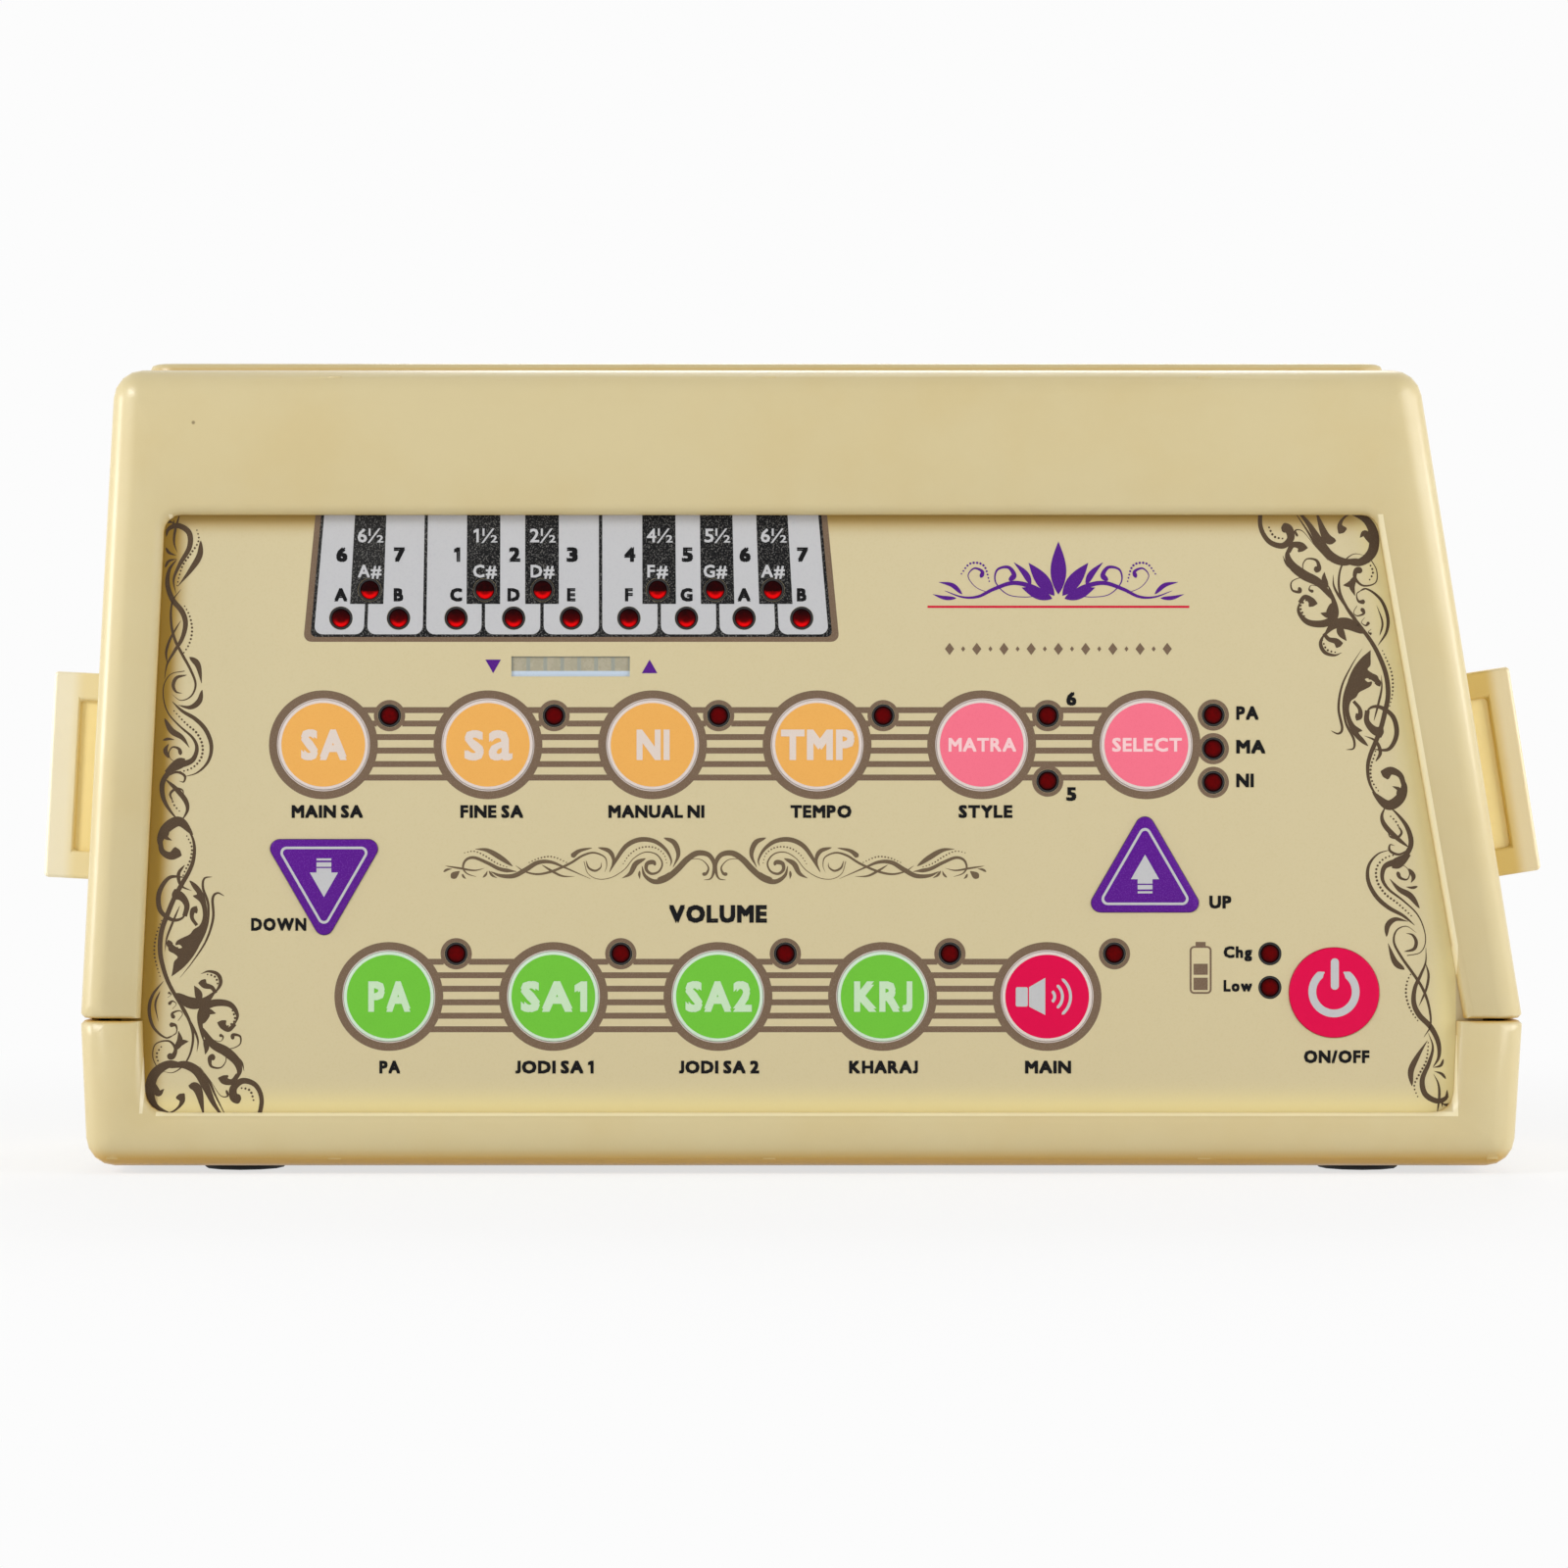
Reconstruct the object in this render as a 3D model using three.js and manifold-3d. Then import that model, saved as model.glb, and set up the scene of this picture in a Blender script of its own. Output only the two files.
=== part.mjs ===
// Electronic tanpura: a table-top drone box in a two-part moulded case, with a keypad on its front,
// a loudspeaker under a slotted field in its top and a strap lug on each side.
// Millimetres, +Z up, the keypad faces -Y. X counts from the middle of the seam between the shells.
import * as THREE from 'three';
import { mergeVertices } from 'three/addons/utils/BufferGeometryUtils.js';
import Module from 'manifold-3d';

const wasm = await Module();
wasm.setup();

// Driving dimensions

const FIT = {
  gap: 0.3, // between two pieces that only lie against each other
  slot: 0.15, // each side of a plate in its moulded slot
  keyGap: 0.15, // round a key in the overlay
  bond: 0.05, // film of glue, or a face seated on a face
  overrun: 2, // how far a cutter runs past the face that it cuts
  weld: 0.00001, // corners nearer than this are one corner
};

const CASE = {
  seamWidth: 223,
  depth: 78,
  upperHeight: 100.3,
  lowerHeight: 22.7,
  wall: 2.4,
  edgeRadius: 4.2, // rounding of the front and rear edges
  topCornerRadius: 4.6,
  baseCornerRadius: 4.5,
  seamGap: 0.45,
  seamChamfer: 0.6,
  tongueHeight: 1.6, // strip of the upper shell that drops into the rebate of the lower one
  tongueInset: 1.35,
};

// Drafts of the side walls, which narrow away from the seam
const LEAN = {
  upperLeft: 3.03,
  upperRight: 9.18,
  lowerLeft: 2.6,
  lowerRight: 3.6,
  windowLeft: 2.8,
  windowRight: 9.9,
  postLeft: 2.2,
  postRight: 2.5,
};

const WINDOW = {
  bandHeight: 22.5, // case top down to the window
  rimHeight: 8.3, // case base up to the window
  leftFlange: 9.5, // widths of the flanges at the seam
  rightFlange: 9.3,
  leftPost: 9.8,
  rightPost: 10.4,
  topCornerRadius: 2.7,
  baseCornerRadius: 3.4,
  lipRadius: 1.6, // rounding of the front edge of the window
};

const PLATE = {
  thickness: 2,
  overlay: 0.5,
  lap: 3, // how far it reaches behind the flanges
  cornerRadius: 1.5,
};

const GUIDE = {
  thickness: 1.8,
  finger: 4, // how far a guide reaches over the back of its plate
  ribWidth: 2,
  ribSpanShares: [-0.72, 0, 0.72], // of half the window width at the top or the base
};

const FIELD = {
  rise: 1.6, // raised field on the top face
  endInset: 4.2,
  sideInset: 9.5,
  cornerRadius: 4,
  softness: 0.9,
};

const GRILLE = {
  slotWidth: 2.2,
  endRadius: 1.05,
  pitch: 4.4,
  diameter: 49,
};

const COLUMN = {
  diameter: 8,
  lowerDiameter: 9.4,
  inset: 9.2, // axis from the outside of the side wall at the seam
  web: 2,
  depthInset: 15, // axis from the front or the rear of the case
  headRecessDiameter: 6.6,
  headRecessDepth: 9,
};

const SCREW = {
  headDiameter: 5.6,
  headHeight: 2.2,
  caseDiameter: 3,
  caseLength: 24,
  smallDiameter: 2.4,
  smallLength: 6.5,
  washerDiameter: 8.6, // of the screws that clamp the loudspeaker
  thread: 0.25, // room round the shank
};

const FOOT = {
  diameter: 13,
  proud: 1.2,
  seat: 0.9, // depth of its recess in the base
  chamfer: 0.4,
  sideInset: 24,
  depthInset: 16,
};

const LUG = {
  reach: 9.7, // out from the side wall
  height: 33,
  thickness: 8,
  slotWidth: 5.05, // wall to the bar
  slotHeight: 23.8,
  outerRadius: 3,
  slotRadius: 0.9,
  edgeRadius: 1.4,
  centreAboveSeam: 37.4,
  setback: 20, // behind the front of the case
  boreDepth: 5.4,
};

const KEY = {
  diameter: 13.9,
  pitch: 25.4,
  proud: 0.25, // in front of the overlay
  chamfer: 0.2,
  flange: 0.5,
  flangeThickness: 1.1,
  travel: 0.4,
  stop: 0.1, // left between a key that is down and its switch
  triangleWidth: 18.7, // between the corners as they would be without their rounding
  triangleHeight: 16.2,
  triangleRadius: 1.45,
  triangleFlange: 0.9,
};

// Places on the front panel: x from the middle of the seam, z up from the window's lower edge
const PANEL = {
  upperRowX: -73.8,
  upperRowZ: 56.75,
  lowerRowX: -63.7,
  lowerRowZ: 17.9,
  powerX: 82.2,
  powerZ: 18.5,
  downX: -73.7,
  downZ: 34.05, // middle of the height of the triangle
  upX: 53,
  upZ: 39,
  lampDiameter: 3,
  lampHole: 3.6,
  slotCorner: 0.8,
  lampStep: 5.2,
  upperLampRoom: 3.25, // from the edge of a key to the axis of its lamp
  upperLampRise: 4.5,
  styleLampDrop: 5.6, // the second lamp of the fifth key, below the middle of the row
  lowerLampRoom: 3.45,
  lowerLampRise: 6.6,
  stackRoom: 3.4,
  stackRise: 4.6, // the first of the three lamps beside the last key
  chargeRoom: 2.95, // from the power key, on its left
  chargeRise: 6,
  keyboardPitch: 8.89,
  keyboardX: -71.1,
  naturalZ: 76.3,
  sharpRise: 4.35,
  barX: -35.65,
  barZ: 68.85,
  barWidth: 18.3,
  barHeight: 3.1,
};

// Notes of the keyboard picture, with a sharp after each but B and E
const NATURALS = 'ABCDEFGAB';
const sharpShare = 0.5; // of the pitch, from the natural before it

const mirrorShares = [-1, 1]; // of half a width or depth: left and right, front and rear

const BAR = {
  rib: 0.5, // between two segments
  rise: 0.2,
  stripHeight: 0.9, // bare strip below the segments
  height: 2,
};

const BOARD = {
  thickness: 1.6,
  standoff: 5.5, // behind the front panel plate
  leftRoom: 16, // from the window at the seam
  rightRoom: 14.2,
  base: 10.5,
  topRoom: 4.85, // above the lamps of the sharps
  cornerRadius: 2,
  switchSize: 6,
  switchBody: 3.3,
  buttonDiameter: 3.4,
  lampTipShare: 0.75, // width of the lens tip; the lens widens towards the board
  lampSetback: 0.25, // behind the front of the overlay
  pillarDiameter: 6,
  fixingInset: 4,
  fixingShift: 23, // the lower right pillar stands clear of the power key
  barModuleMargin: 1.2,
  connectorLength: 24,
  connectorRise: 5, // from the lower edge of the board
  connectorHeight: 5,
  connectorDepth: 4,
};

const SPEAKER = {
  diameter: 57,
  flangeThickness: 1.5,
  flangeWidth: 3.4,
  gasket: 1,
  basketWall: 1.2,
  basketDepth: 12,
  backDiameter: 33,
  windowHeight: 7,
  windowWidth: 14,
  windowCount: 4,
  coneDepth: 8,
  coneThickness: 0.8,
  roll: 1.8, // height of the rolled edge of the cone
  rollWidth: 1.8,
  coilDiameter: 14,
  domeRise: 2.6,
  magnetDiameter: 32,
  magnetHeight: 9,
  ringWall: 1.6, // moulded ring round the flange
  bossDiameter: 6,
  bossReach: 3.7, // from the rim of the flange to the axis of a clamping screw
  centreX: -3,
  terminal: 4,
  domeShare: 0.8,
  yoke: 2.4,
  yokeStep: 1.6,
  screwLength: 2,
};

const MAIN_BOARD = {
  holderRoom: 5.5, // from the cell holder to the left edge
  columnRoom: 5.6, // from the right edge to the screw columns
  frontRoom: 6.8, // behind the keypad board
  standoff: 5,
  thickness: 1.6,
  cornerRadius: 2,
  pillarDiameter: 6.5,
  fixingInset: 6,
  chipSize: 12,
  chipPitch: 24,
  chipHeight: 1.6,
  capDiameter: 8,
  capHeight: 12,
  capPitch: 11,
  capCount: 3,
};

const HEAT_SINK = {
  width: 26,
  depth: 11,
  height: 15,
  base: 2.4,
  fin: 1.4,
  finPitch: 3.9,
  sideInset: 26, // axis from the right edge of the main board
  frontInset: 12, // axis from its front edge
};

const JACK = {
  powerWidth: 9.6,
  powerHeight: 11,
  powerLength: 13,
  powerNose: 7.6,
  powerBore: 5.9,
  powerPin: 2,
  powerBoreDepth: 9,
  powerInset: 16, // axis from the right edge of the main board
  lineWidth: 11,
  lineHeight: 9,
  lineLength: 13,
  lineNose: 7,
  lineBore: 3.6,
  lineBoreDepth: 11,
  lineInset: 40,
};

const CELL = {
  diameter: 18.4,
  length: 65.2,
  capDiameter: 7,
  capHeight: 0.8,
  pitch: 20.4,
  endRoom: 2.9, // past each end of a cell, for its contact
  holderWall: 2,
  holderBase: 1.6,
  holderDepthShare: 0.7, // of the cell diameter that the tray takes in
  columnRoom: 5.1, // from the screw columns to the holder
  centreY: 5,
};

const LEAD = {
  diameter: 2,
  ribbonWidth: 20,
  ribbonThickness: 0.8,
  ribbonBend: 2.4,
  ribbonInset: 32, // axis from the left edge of the main board
  ribbonPlug: 6,
  speakerReach: 18, // its landing, from the left edge of the main board
  speakerSag: 5,
  speakerInset: 13.7, // from the rear edge of the main board
  cellRise: 3,
  cellReach: 3,
};

// Counts of facets, and of copies where no size gives them
const COUNT = {
  arcSegments: 2, // of a corner's rounding, two facets each
  hiddenArcSegments: 1,
  edgeSegments: 3,
  lipSegments: 2,
  slotArcSegments: 1,
  keySides: 12,
  lampSides: 6,
  roundSides: 12,
  smallSides: 6,
  screwSides: 6,
  stackCount: 3,
  chargeCount: 2,
  bossCount: 4,
  barSegmentCount: 7,
  columnSides: 8,
  leadArcs: 4,
  leadSteps: 14,
};

// Finishes

const finish = (color, roughness, metalness = 0) => (
  new THREE.MeshStandardMaterial({ color, roughness, metalness })
);

const FINISH = {
  case: finish('#d5c191', 0.42),
  printed: finish('#cdbd97', 0.5),
  plate: finish('#cabb96', 0.55),
  rubber: finish('#26262a', 0.85),
  steel: finish('#b9bcc0', 0.35, 0.9),
  blackPlastic: finish('#1d1e20', 0.5),
  board: finish('#1f5a3a', 0.6),
  bar: finish('#b5ada0', 0.4),
  orange: finish('#e3a85c', 0.4),
  pink: finish('#ea7389', 0.4),
  green: finish('#73bc44', 0.4),
  crimson: finish('#dc0050', 0.4),
  purple: finish('#7d5ca8', 0.4),
  paper: finish('#2b2a28', 0.9),
  magnet: finish('#8d9094', 0.4, 0.8),
  aluminium: finish('#c4c7ca', 0.35, 0.9),
  cell: finish('#3f7fb5', 0.5),
  ribbon: finish('#c9c9c4', 0.6),
  lead: finish('#a3202a', 0.6),
};

// Solids from three.js geometry, and back

function solidOf(geometry) {
  const bare = geometry.index ? geometry.toNonIndexed() : geometry;
  bare.deleteAttribute('normal');
  bare.deleteAttribute('uv');
  const merged = mergeVertices(bare, FIT.weld);
  return new wasm.Manifold(new wasm.Mesh({
    numProp: 3,
    vertProperties: new Float32Array(merged.attributes.position.array),
    triVerts: new Uint32Array(merged.index.array),
  }));
}

function geometryOf(solid) {
  const mesh = solid.getMesh();
  const geometry = new THREE.BufferGeometry();
  geometry.setAttribute('position', new THREE.BufferAttribute(new Float32Array(mesh.vertProperties), 3));
  geometry.setIndex(new THREE.BufferAttribute(new Uint32Array(mesh.triVerts), 1));
  return geometry;
}

const joined = (solids) => solids.reduce((whole, next) => whole.add(next));
const cutBy = (solid, cutters) => cutters.reduce((rest, cutter) => rest.subtract(cutter), solid);

const root = new THREE.Group();

function place(name, shape, material, parent = root) {
  const geometry = shape instanceof THREE.BufferGeometry ? shape : geometryOf(shape);
  const mesh = new THREE.Mesh(geometry, material);
  mesh.name = name;
  parent.add(mesh);
  return mesh;
}

// Outlines: corners are [across, up, radius], counter-clockwise

function filletedShape(corners) {
  const shape = new THREE.Shape();
  corners.forEach(([x, y, radius], index) => {
    const corner = new THREE.Vector2(x, y);
    const [beforeX, beforeY] = corners[(index + corners.length - 1) % corners.length];
    const [afterX, afterY] = corners[(index + 1) % corners.length];
    if (!radius) {
      if (index === 0) shape.moveTo(x, y);
      else shape.lineTo(x, y);
      return;
    }
    const back = new THREE.Vector2(beforeX, beforeY).sub(corner).normalize();
    const ahead = new THREE.Vector2(afterX, afterY).sub(corner).normalize();
    const half = Math.acos(THREE.MathUtils.clamp(back.dot(ahead), -1, 1)) / 2;
    const middle = back.clone().add(ahead).normalize();
    const centre = corner.clone().addScaledVector(middle, radius / Math.sin(half));
    const start = corner.clone().addScaledVector(back, radius / Math.tan(half));
    const end = corner.clone().addScaledVector(ahead, radius / Math.tan(half));
    const convex = back.cross(ahead) < 0;
    if (index === 0) shape.moveTo(start.x, start.y);
    else shape.lineTo(start.x, start.y);
    shape.absarc(centre.x, centre.y, radius, start.sub(centre).angle(), end.sub(centre).angle(), !convex);
  });
  shape.closePath();
  return shape;
}

// Moves every side of a convex outline inwards; a negative distance grows it
function insetCorners(corners, distance) {
  const sides = corners.map(([x, y], index) => {
    const [nextX, nextY] = corners[(index + 1) % corners.length];
    const along = new THREE.Vector2(nextX - x, nextY - y).normalize();
    const from = new THREE.Vector2(x - along.y * distance, y + along.x * distance);
    return { from, along };
  });
  return corners.map(([, , radius], index) => {
    const before = sides[(index + sides.length - 1) % sides.length];
    const after = sides[index];
    const turn = before.along.cross(after.along);
    const reach = after.from.clone().sub(before.from).cross(after.along) / turn;
    const corner = before.from.clone().addScaledVector(before.along, reach);
    return [corner.x, corner.y, radius > 0 ? Math.max(radius - distance, radius / 2) : 0];
  });
}

const rectangle = (left, right, low, high, radius = 0) => [
  [left, low, radius], [right, low, radius], [right, high, radius], [left, high, radius],
];

// An outline in X and Z, swept from one depth to another; the bevel rounds both ends
function sweepBack(corners, front, rear, bevel = null, arc = COUNT.arcSegments) {
  const thickness = bevel ? bevel.depth : 0;
  const geometry = new THREE.ExtrudeGeometry(filletedShape(corners), {
    depth: rear - front - 2 * thickness,
    curveSegments: arc,
    bevelEnabled: Boolean(bevel),
    bevelThickness: thickness,
    bevelSize: bevel ? bevel.size : 0,
    bevelOffset: bevel ? -bevel.size : 0,
    bevelSegments: bevel ? bevel.segments : 0,
  });
  return solidOf(geometry.rotateX(Math.PI / 2).translate(0, rear - thickness, 0));
}

// An outline in X and Y, swept up
function sweepUp(corners, low, high, bevel = null, arc = COUNT.arcSegments) {
  const thickness = bevel ? bevel.depth : 0;
  const geometry = new THREE.ExtrudeGeometry(filletedShape(corners), {
    depth: high - low - 2 * thickness,
    curveSegments: arc,
    bevelEnabled: Boolean(bevel),
    bevelThickness: thickness,
    bevelSize: bevel ? bevel.size : 0,
    bevelOffset: bevel ? -bevel.size : 0,
    bevelSegments: bevel ? bevel.segments : 0,
  });
  return solidOf(geometry.translate(0, 0, low + thickness));
}

function block(left, right, front, rear, low, high) {
  const geometry = new THREE.BoxGeometry(right - left, rear - front, high - low);
  return solidOf(geometry.translate((left + right) / 2, (front + rear) / 2, (low + high) / 2));
}

// A block between two faces each way, whichever of them comes first
const span = (left, right, near, far, from, to) => block(
  left, right, Math.min(near, far), Math.max(near, far), Math.min(from, to), Math.max(from, to),
);

const cylinderUp = (x, y, low, high, diameter, sides) => solidOf(
  new THREE.CylinderGeometry(diameter / 2, diameter / 2, high - low, sides)
    .rotateX(Math.PI / 2).translate(x, y, (low + high) / 2),
);

const cylinderBack = (x, z, front, rear, diameter, sides) => solidOf(
  new THREE.CylinderGeometry(diameter / 2, diameter / 2, rear - front, sides)
    .translate(x, (front + rear) / 2, z),
);

// A turned piece: points are [radius, distance along the axis], first and last on the axis
function turned(points, sides) {
  return new THREE.LatheGeometry(points.map(([radius, along]) => new THREE.Vector2(radius, along)), sides);
}

const tangent = (degrees) => Math.tan(THREE.MathUtils.degToRad(degrees));

// Levels and faces that the pieces share

const level = { base: FOOT.proud };
level.seam = level.base + CASE.lowerHeight;
level.top = level.seam + CASE.upperHeight;
level.floor = level.base + CASE.wall;
level.ceiling = level.top - CASE.wall;
level.fieldTop = level.top + FIELD.rise;
level.fieldCeiling = level.fieldTop - CASE.wall;
level.windowTop = level.top - WINDOW.bandHeight;
level.windowBase = level.base + WINDOW.rimHeight;

const face = { front: -CASE.depth / 2, rear: CASE.depth / 2 };
face.overlay = face.front + CASE.wall + FIT.slot;
face.plate = face.overlay + PLATE.overlay + FIT.bond;
face.plateBack = face.plate + PLATE.thickness;
face.board = face.plateBack + BOARD.standoff;
face.boardBack = face.board + BOARD.thickness;
face.rearPlate = face.rear - CASE.wall - FIT.slot - PLATE.thickness;
face.rearPlateBack = face.rearPlate + PLATE.thickness;

const smallBore = SCREW.smallDiameter + 2 * SCREW.thread;
const caseBore = SCREW.caseDiameter + 2 * SCREW.thread;

const half = CASE.seamWidth / 2;
const leftAt = (z) => (z >= level.seam
  ? -half + (z - level.seam) * tangent(LEAN.upperLeft)
  : -half + (level.seam - z) * tangent(LEAN.lowerLeft));
const rightAt = (z) => (z >= level.seam
  ? half - (z - level.seam) * tangent(LEAN.upperRight)
  : half - (level.seam - z) * tangent(LEAN.lowerRight));
const windowLeftAt = (z) => -half + WINDOW.leftFlange + (z - level.seam) * tangent(LEAN.windowLeft);
const windowRightAt = (z) => half - WINDOW.rightFlange - (z - level.seam) * tangent(LEAN.windowRight);

const caseCorners = [
  [leftAt(level.base), level.base, CASE.baseCornerRadius],
  [rightAt(level.base), level.base, CASE.baseCornerRadius],
  [rightAt(level.seam), level.seam, 0],
  [rightAt(level.top), level.top, CASE.topCornerRadius],
  [leftAt(level.top), level.top, CASE.topCornerRadius],
  [leftAt(level.seam), level.seam, 0],
];

// The upper window runs down past the seam and the lower one up past it, each to be cut from its own shell
const upperWindow = [
  [windowLeftAt(level.seam - WINDOW.rimHeight), level.seam - WINDOW.rimHeight, 0],
  [windowRightAt(level.seam - WINDOW.rimHeight), level.seam - WINDOW.rimHeight, 0],
  [windowRightAt(level.windowTop), level.windowTop, WINDOW.topCornerRadius],
  [windowLeftAt(level.windowTop), level.windowTop, WINDOW.topCornerRadius],
];

const postLeftAt = (z) => -half + WINDOW.leftPost + (level.seam - z) * tangent(LEAN.postLeft);
const postRightAt = (z) => half - WINDOW.rightPost - (level.seam - z) * tangent(LEAN.postRight);

const lowerWindow = [
  [postLeftAt(level.windowBase), level.windowBase, WINDOW.baseCornerRadius],
  [postRightAt(level.windowBase), level.windowBase, WINDOW.baseCornerRadius],
  [postRightAt(level.seam + WINDOW.rimHeight), level.seam + WINDOW.rimHeight, 0],
  [postLeftAt(level.seam + WINDOW.rimHeight), level.seam + WINDOW.rimHeight, 0],
];

const plateLow = level.windowBase - PLATE.lap;
const plateHigh = level.windowTop + PLATE.lap;
const plateLeftAt = (z) => windowLeftAt(Math.max(z, level.seam)) - PLATE.lap;
const plateRightAt = (z) => windowRightAt(Math.max(z, level.seam)) + PLATE.lap;

const plateCorners = [
  [plateLeftAt(plateLow), plateLow, PLATE.cornerRadius],
  [plateRightAt(plateLow), plateLow, PLATE.cornerRadius],
  [plateRightAt(level.seam), level.seam, 0],
  [plateRightAt(plateHigh), plateHigh, PLATE.cornerRadius],
  [plateLeftAt(plateHigh), plateHigh, PLATE.cornerRadius],
  [plateLeftAt(level.seam), level.seam, 0],
];

const plateSheet = (front, rear) => sweepBack(plateCorners, front, rear, null, COUNT.hiddenArcSegments);

// The window, with a rounded lip at the front and the rear of the case
function flaredWindow(corners) {
  const straight = sweepBack(corners, face.front - FIT.overrun, face.rear + FIT.overrun);
  const lip = (front, rear) => {
    const geometry = new THREE.ExtrudeGeometry(filletedShape(corners), {
      depth: CASE.wall,
      curveSegments: COUNT.arcSegments,
      bevelThickness: WINDOW.lipRadius,
      bevelSize: -WINDOW.lipRadius,
      bevelOffset: WINDOW.lipRadius,
      bevelSegments: COUNT.lipSegments,
    });
    return solidOf(geometry.rotateX(Math.PI / 2).translate(0, rear - front, 0));
  };
  const frontLip = lip(0, face.front + WINDOW.lipRadius + CASE.wall);
  const rearLip = lip(0, face.rear - WINDOW.lipRadius);
  return joined([straight, frontLip, rearLip]);
}

// Shells

const edge = { depth: CASE.edgeRadius, size: CASE.edgeRadius, segments: COUNT.edgeSegments };

const caseBody = sweepBack(caseCorners, face.front, face.rear, edge);
const caseHollow = sweepBack(
  insetCorners(caseCorners, CASE.wall), face.front + CASE.wall, face.rear - CASE.wall,
);

const seamPlan = rectangle(-half, half, face.front, face.rear, CASE.edgeRadius);
const chamfer = { depth: CASE.seamChamfer, size: CASE.seamChamfer, segments: 1 };
const aboveSeam = sweepUp(
  seamPlan, level.seam + CASE.seamGap / 2, level.fieldTop + FIT.overrun, chamfer,
);
const belowSeam = sweepUp(
  seamPlan, level.base - FIT.overrun, level.seam - CASE.seamGap / 2, chamfer,
);

const fieldPlan = (inset) => rectangle(
  leftAt(level.top) + FIELD.endInset + inset,
  rightAt(level.top) - FIELD.endInset - inset,
  face.front + FIELD.sideInset + inset,
  face.rear - FIELD.sideInset - inset,
  FIELD.cornerRadius,
);

const columnPlaces = mirrorShares.flatMap((side) => mirrorShares.map((end) => [
  side * (half - COLUMN.inset), end * (CASE.depth / 2 - COLUMN.depthInset),
]));

const isLeft = (side) => side < 0;

// Screw columns, each with a web to the side wall
function columns(low, high, diameter) {
  return columnPlaces.flatMap(([x, y]) => {
    const wall = Math.sign(x) * half;
    return [
      cylinderUp(x, y, low, high, diameter, COUNT.columnSides),
      block(Math.min(x, wall), Math.max(x, wall), y - COLUMN.web / 2, y + COLUMN.web / 2, low, high),
    ].map((solid) => solid.intersect(caseBody));
  });
}

// Ribs that hold the top or the base edge of a plate: one leg past its edge, one finger behind it
function edgeRibs(rootLevel, plateEdge, rear) {
  const down = rootLevel > plateEdge ? 1 : -1;
  const stop = plateEdge + down * FIT.gap;
  const grip = plateEdge - down * GUIDE.finger;
  const [outer, inner, back] = rear
    ? [face.rear - CASE.wall / 2, face.rearPlate - FIT.slot, face.rearPlate - FIT.slot - GUIDE.thickness]
    : [face.front + CASE.wall / 2, face.plateBack + FIT.slot, face.plateBack + FIT.slot + GUIDE.thickness];
  const rootEnd = rootLevel + down * CASE.wall / 2;
  const reach = (windowRightAt(plateHigh) - windowLeftAt(plateHigh)) / 2;
  const middle = (windowRightAt(plateHigh) + windowLeftAt(plateHigh)) / 2;
  return joined(GUIDE.ribSpanShares.flatMap((share) => {
    const x = middle + share * reach;
    const [left, right] = [x - GUIDE.ribWidth / 2, x + GUIDE.ribWidth / 2];
    return [
      span(left, right, outer, back, stop, rootEnd),
      span(left, right, inner, back, grip, rootEnd),
    ];
  }));
}

// Upright guides along the side edges of a plate, leaning with them
function sideGuides(low, high, rear) {
  const [outer, inner, back] = rear
    ? [face.rear - CASE.wall / 2, face.rearPlate - FIT.slot, face.rearPlate - FIT.slot - GUIDE.thickness]
    : [face.front + CASE.wall / 2, face.plateBack + FIT.slot, face.plateBack + FIT.slot + GUIDE.thickness];
  const strip = (near, far, side, from, to) => {
    const edgeAt = isLeft(side) ? plateLeftAt : plateRightAt;
    const corners = [
      [edgeAt(low) + side * near, low, 0], [edgeAt(low) + side * far, low, 0],
      [edgeAt(high) + side * far, high, 0], [edgeAt(high) + side * near, high, 0],
    ];
    return sweepBack(isLeft(side) ? corners.reverse() : corners, Math.min(from, to), Math.max(from, to));
  };
  return joined(mirrorShares.flatMap((side) => [
    strip(FIT.gap, FIT.gap + GUIDE.thickness, side, outer, back),
    strip(-GUIDE.finger, FIT.gap + GUIDE.thickness, side, inner, back),
  ]));
}

function grilleSlots() {
  const reach = GRILLE.diameter / 2;
  const count = Math.floor((reach - GRILLE.slotWidth) / GRILLE.pitch);
  const slots = [];
  for (let index = -count; index <= count; index += 1) {
    const x = SPEAKER.centreX + index * GRILLE.pitch;
    const end = Math.sqrt(reach ** 2 - (index * GRILLE.pitch) ** 2);
    slots.push(sweepUp(
      rectangle(x - GRILLE.slotWidth / 2, x + GRILLE.slotWidth / 2, -end, end, GRILLE.endRadius),
      level.fieldCeiling - FIT.overrun, level.fieldTop + FIT.overrun, null, COUNT.slotArcSegments,
    ));
  }
  return slots;
}

// Even places round the loudspeaker, the first half a step from +X
const speakerBossPlaces = Array.from({ length: COUNT.bossCount }, (_, index) => {
  const angle = (2 * index + 1) * Math.PI / COUNT.bossCount;
  const radius = SPEAKER.diameter / 2 + SPEAKER.bossReach;
  return [SPEAKER.centreX + radius * Math.cos(angle), radius * Math.sin(angle)];
});

level.flangeTop = level.fieldCeiling - SPEAKER.gasket;
level.flangeBase = level.flangeTop - SPEAKER.flangeThickness;
level.seatRoot = (level.fieldCeiling + level.top) / 2;

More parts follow.
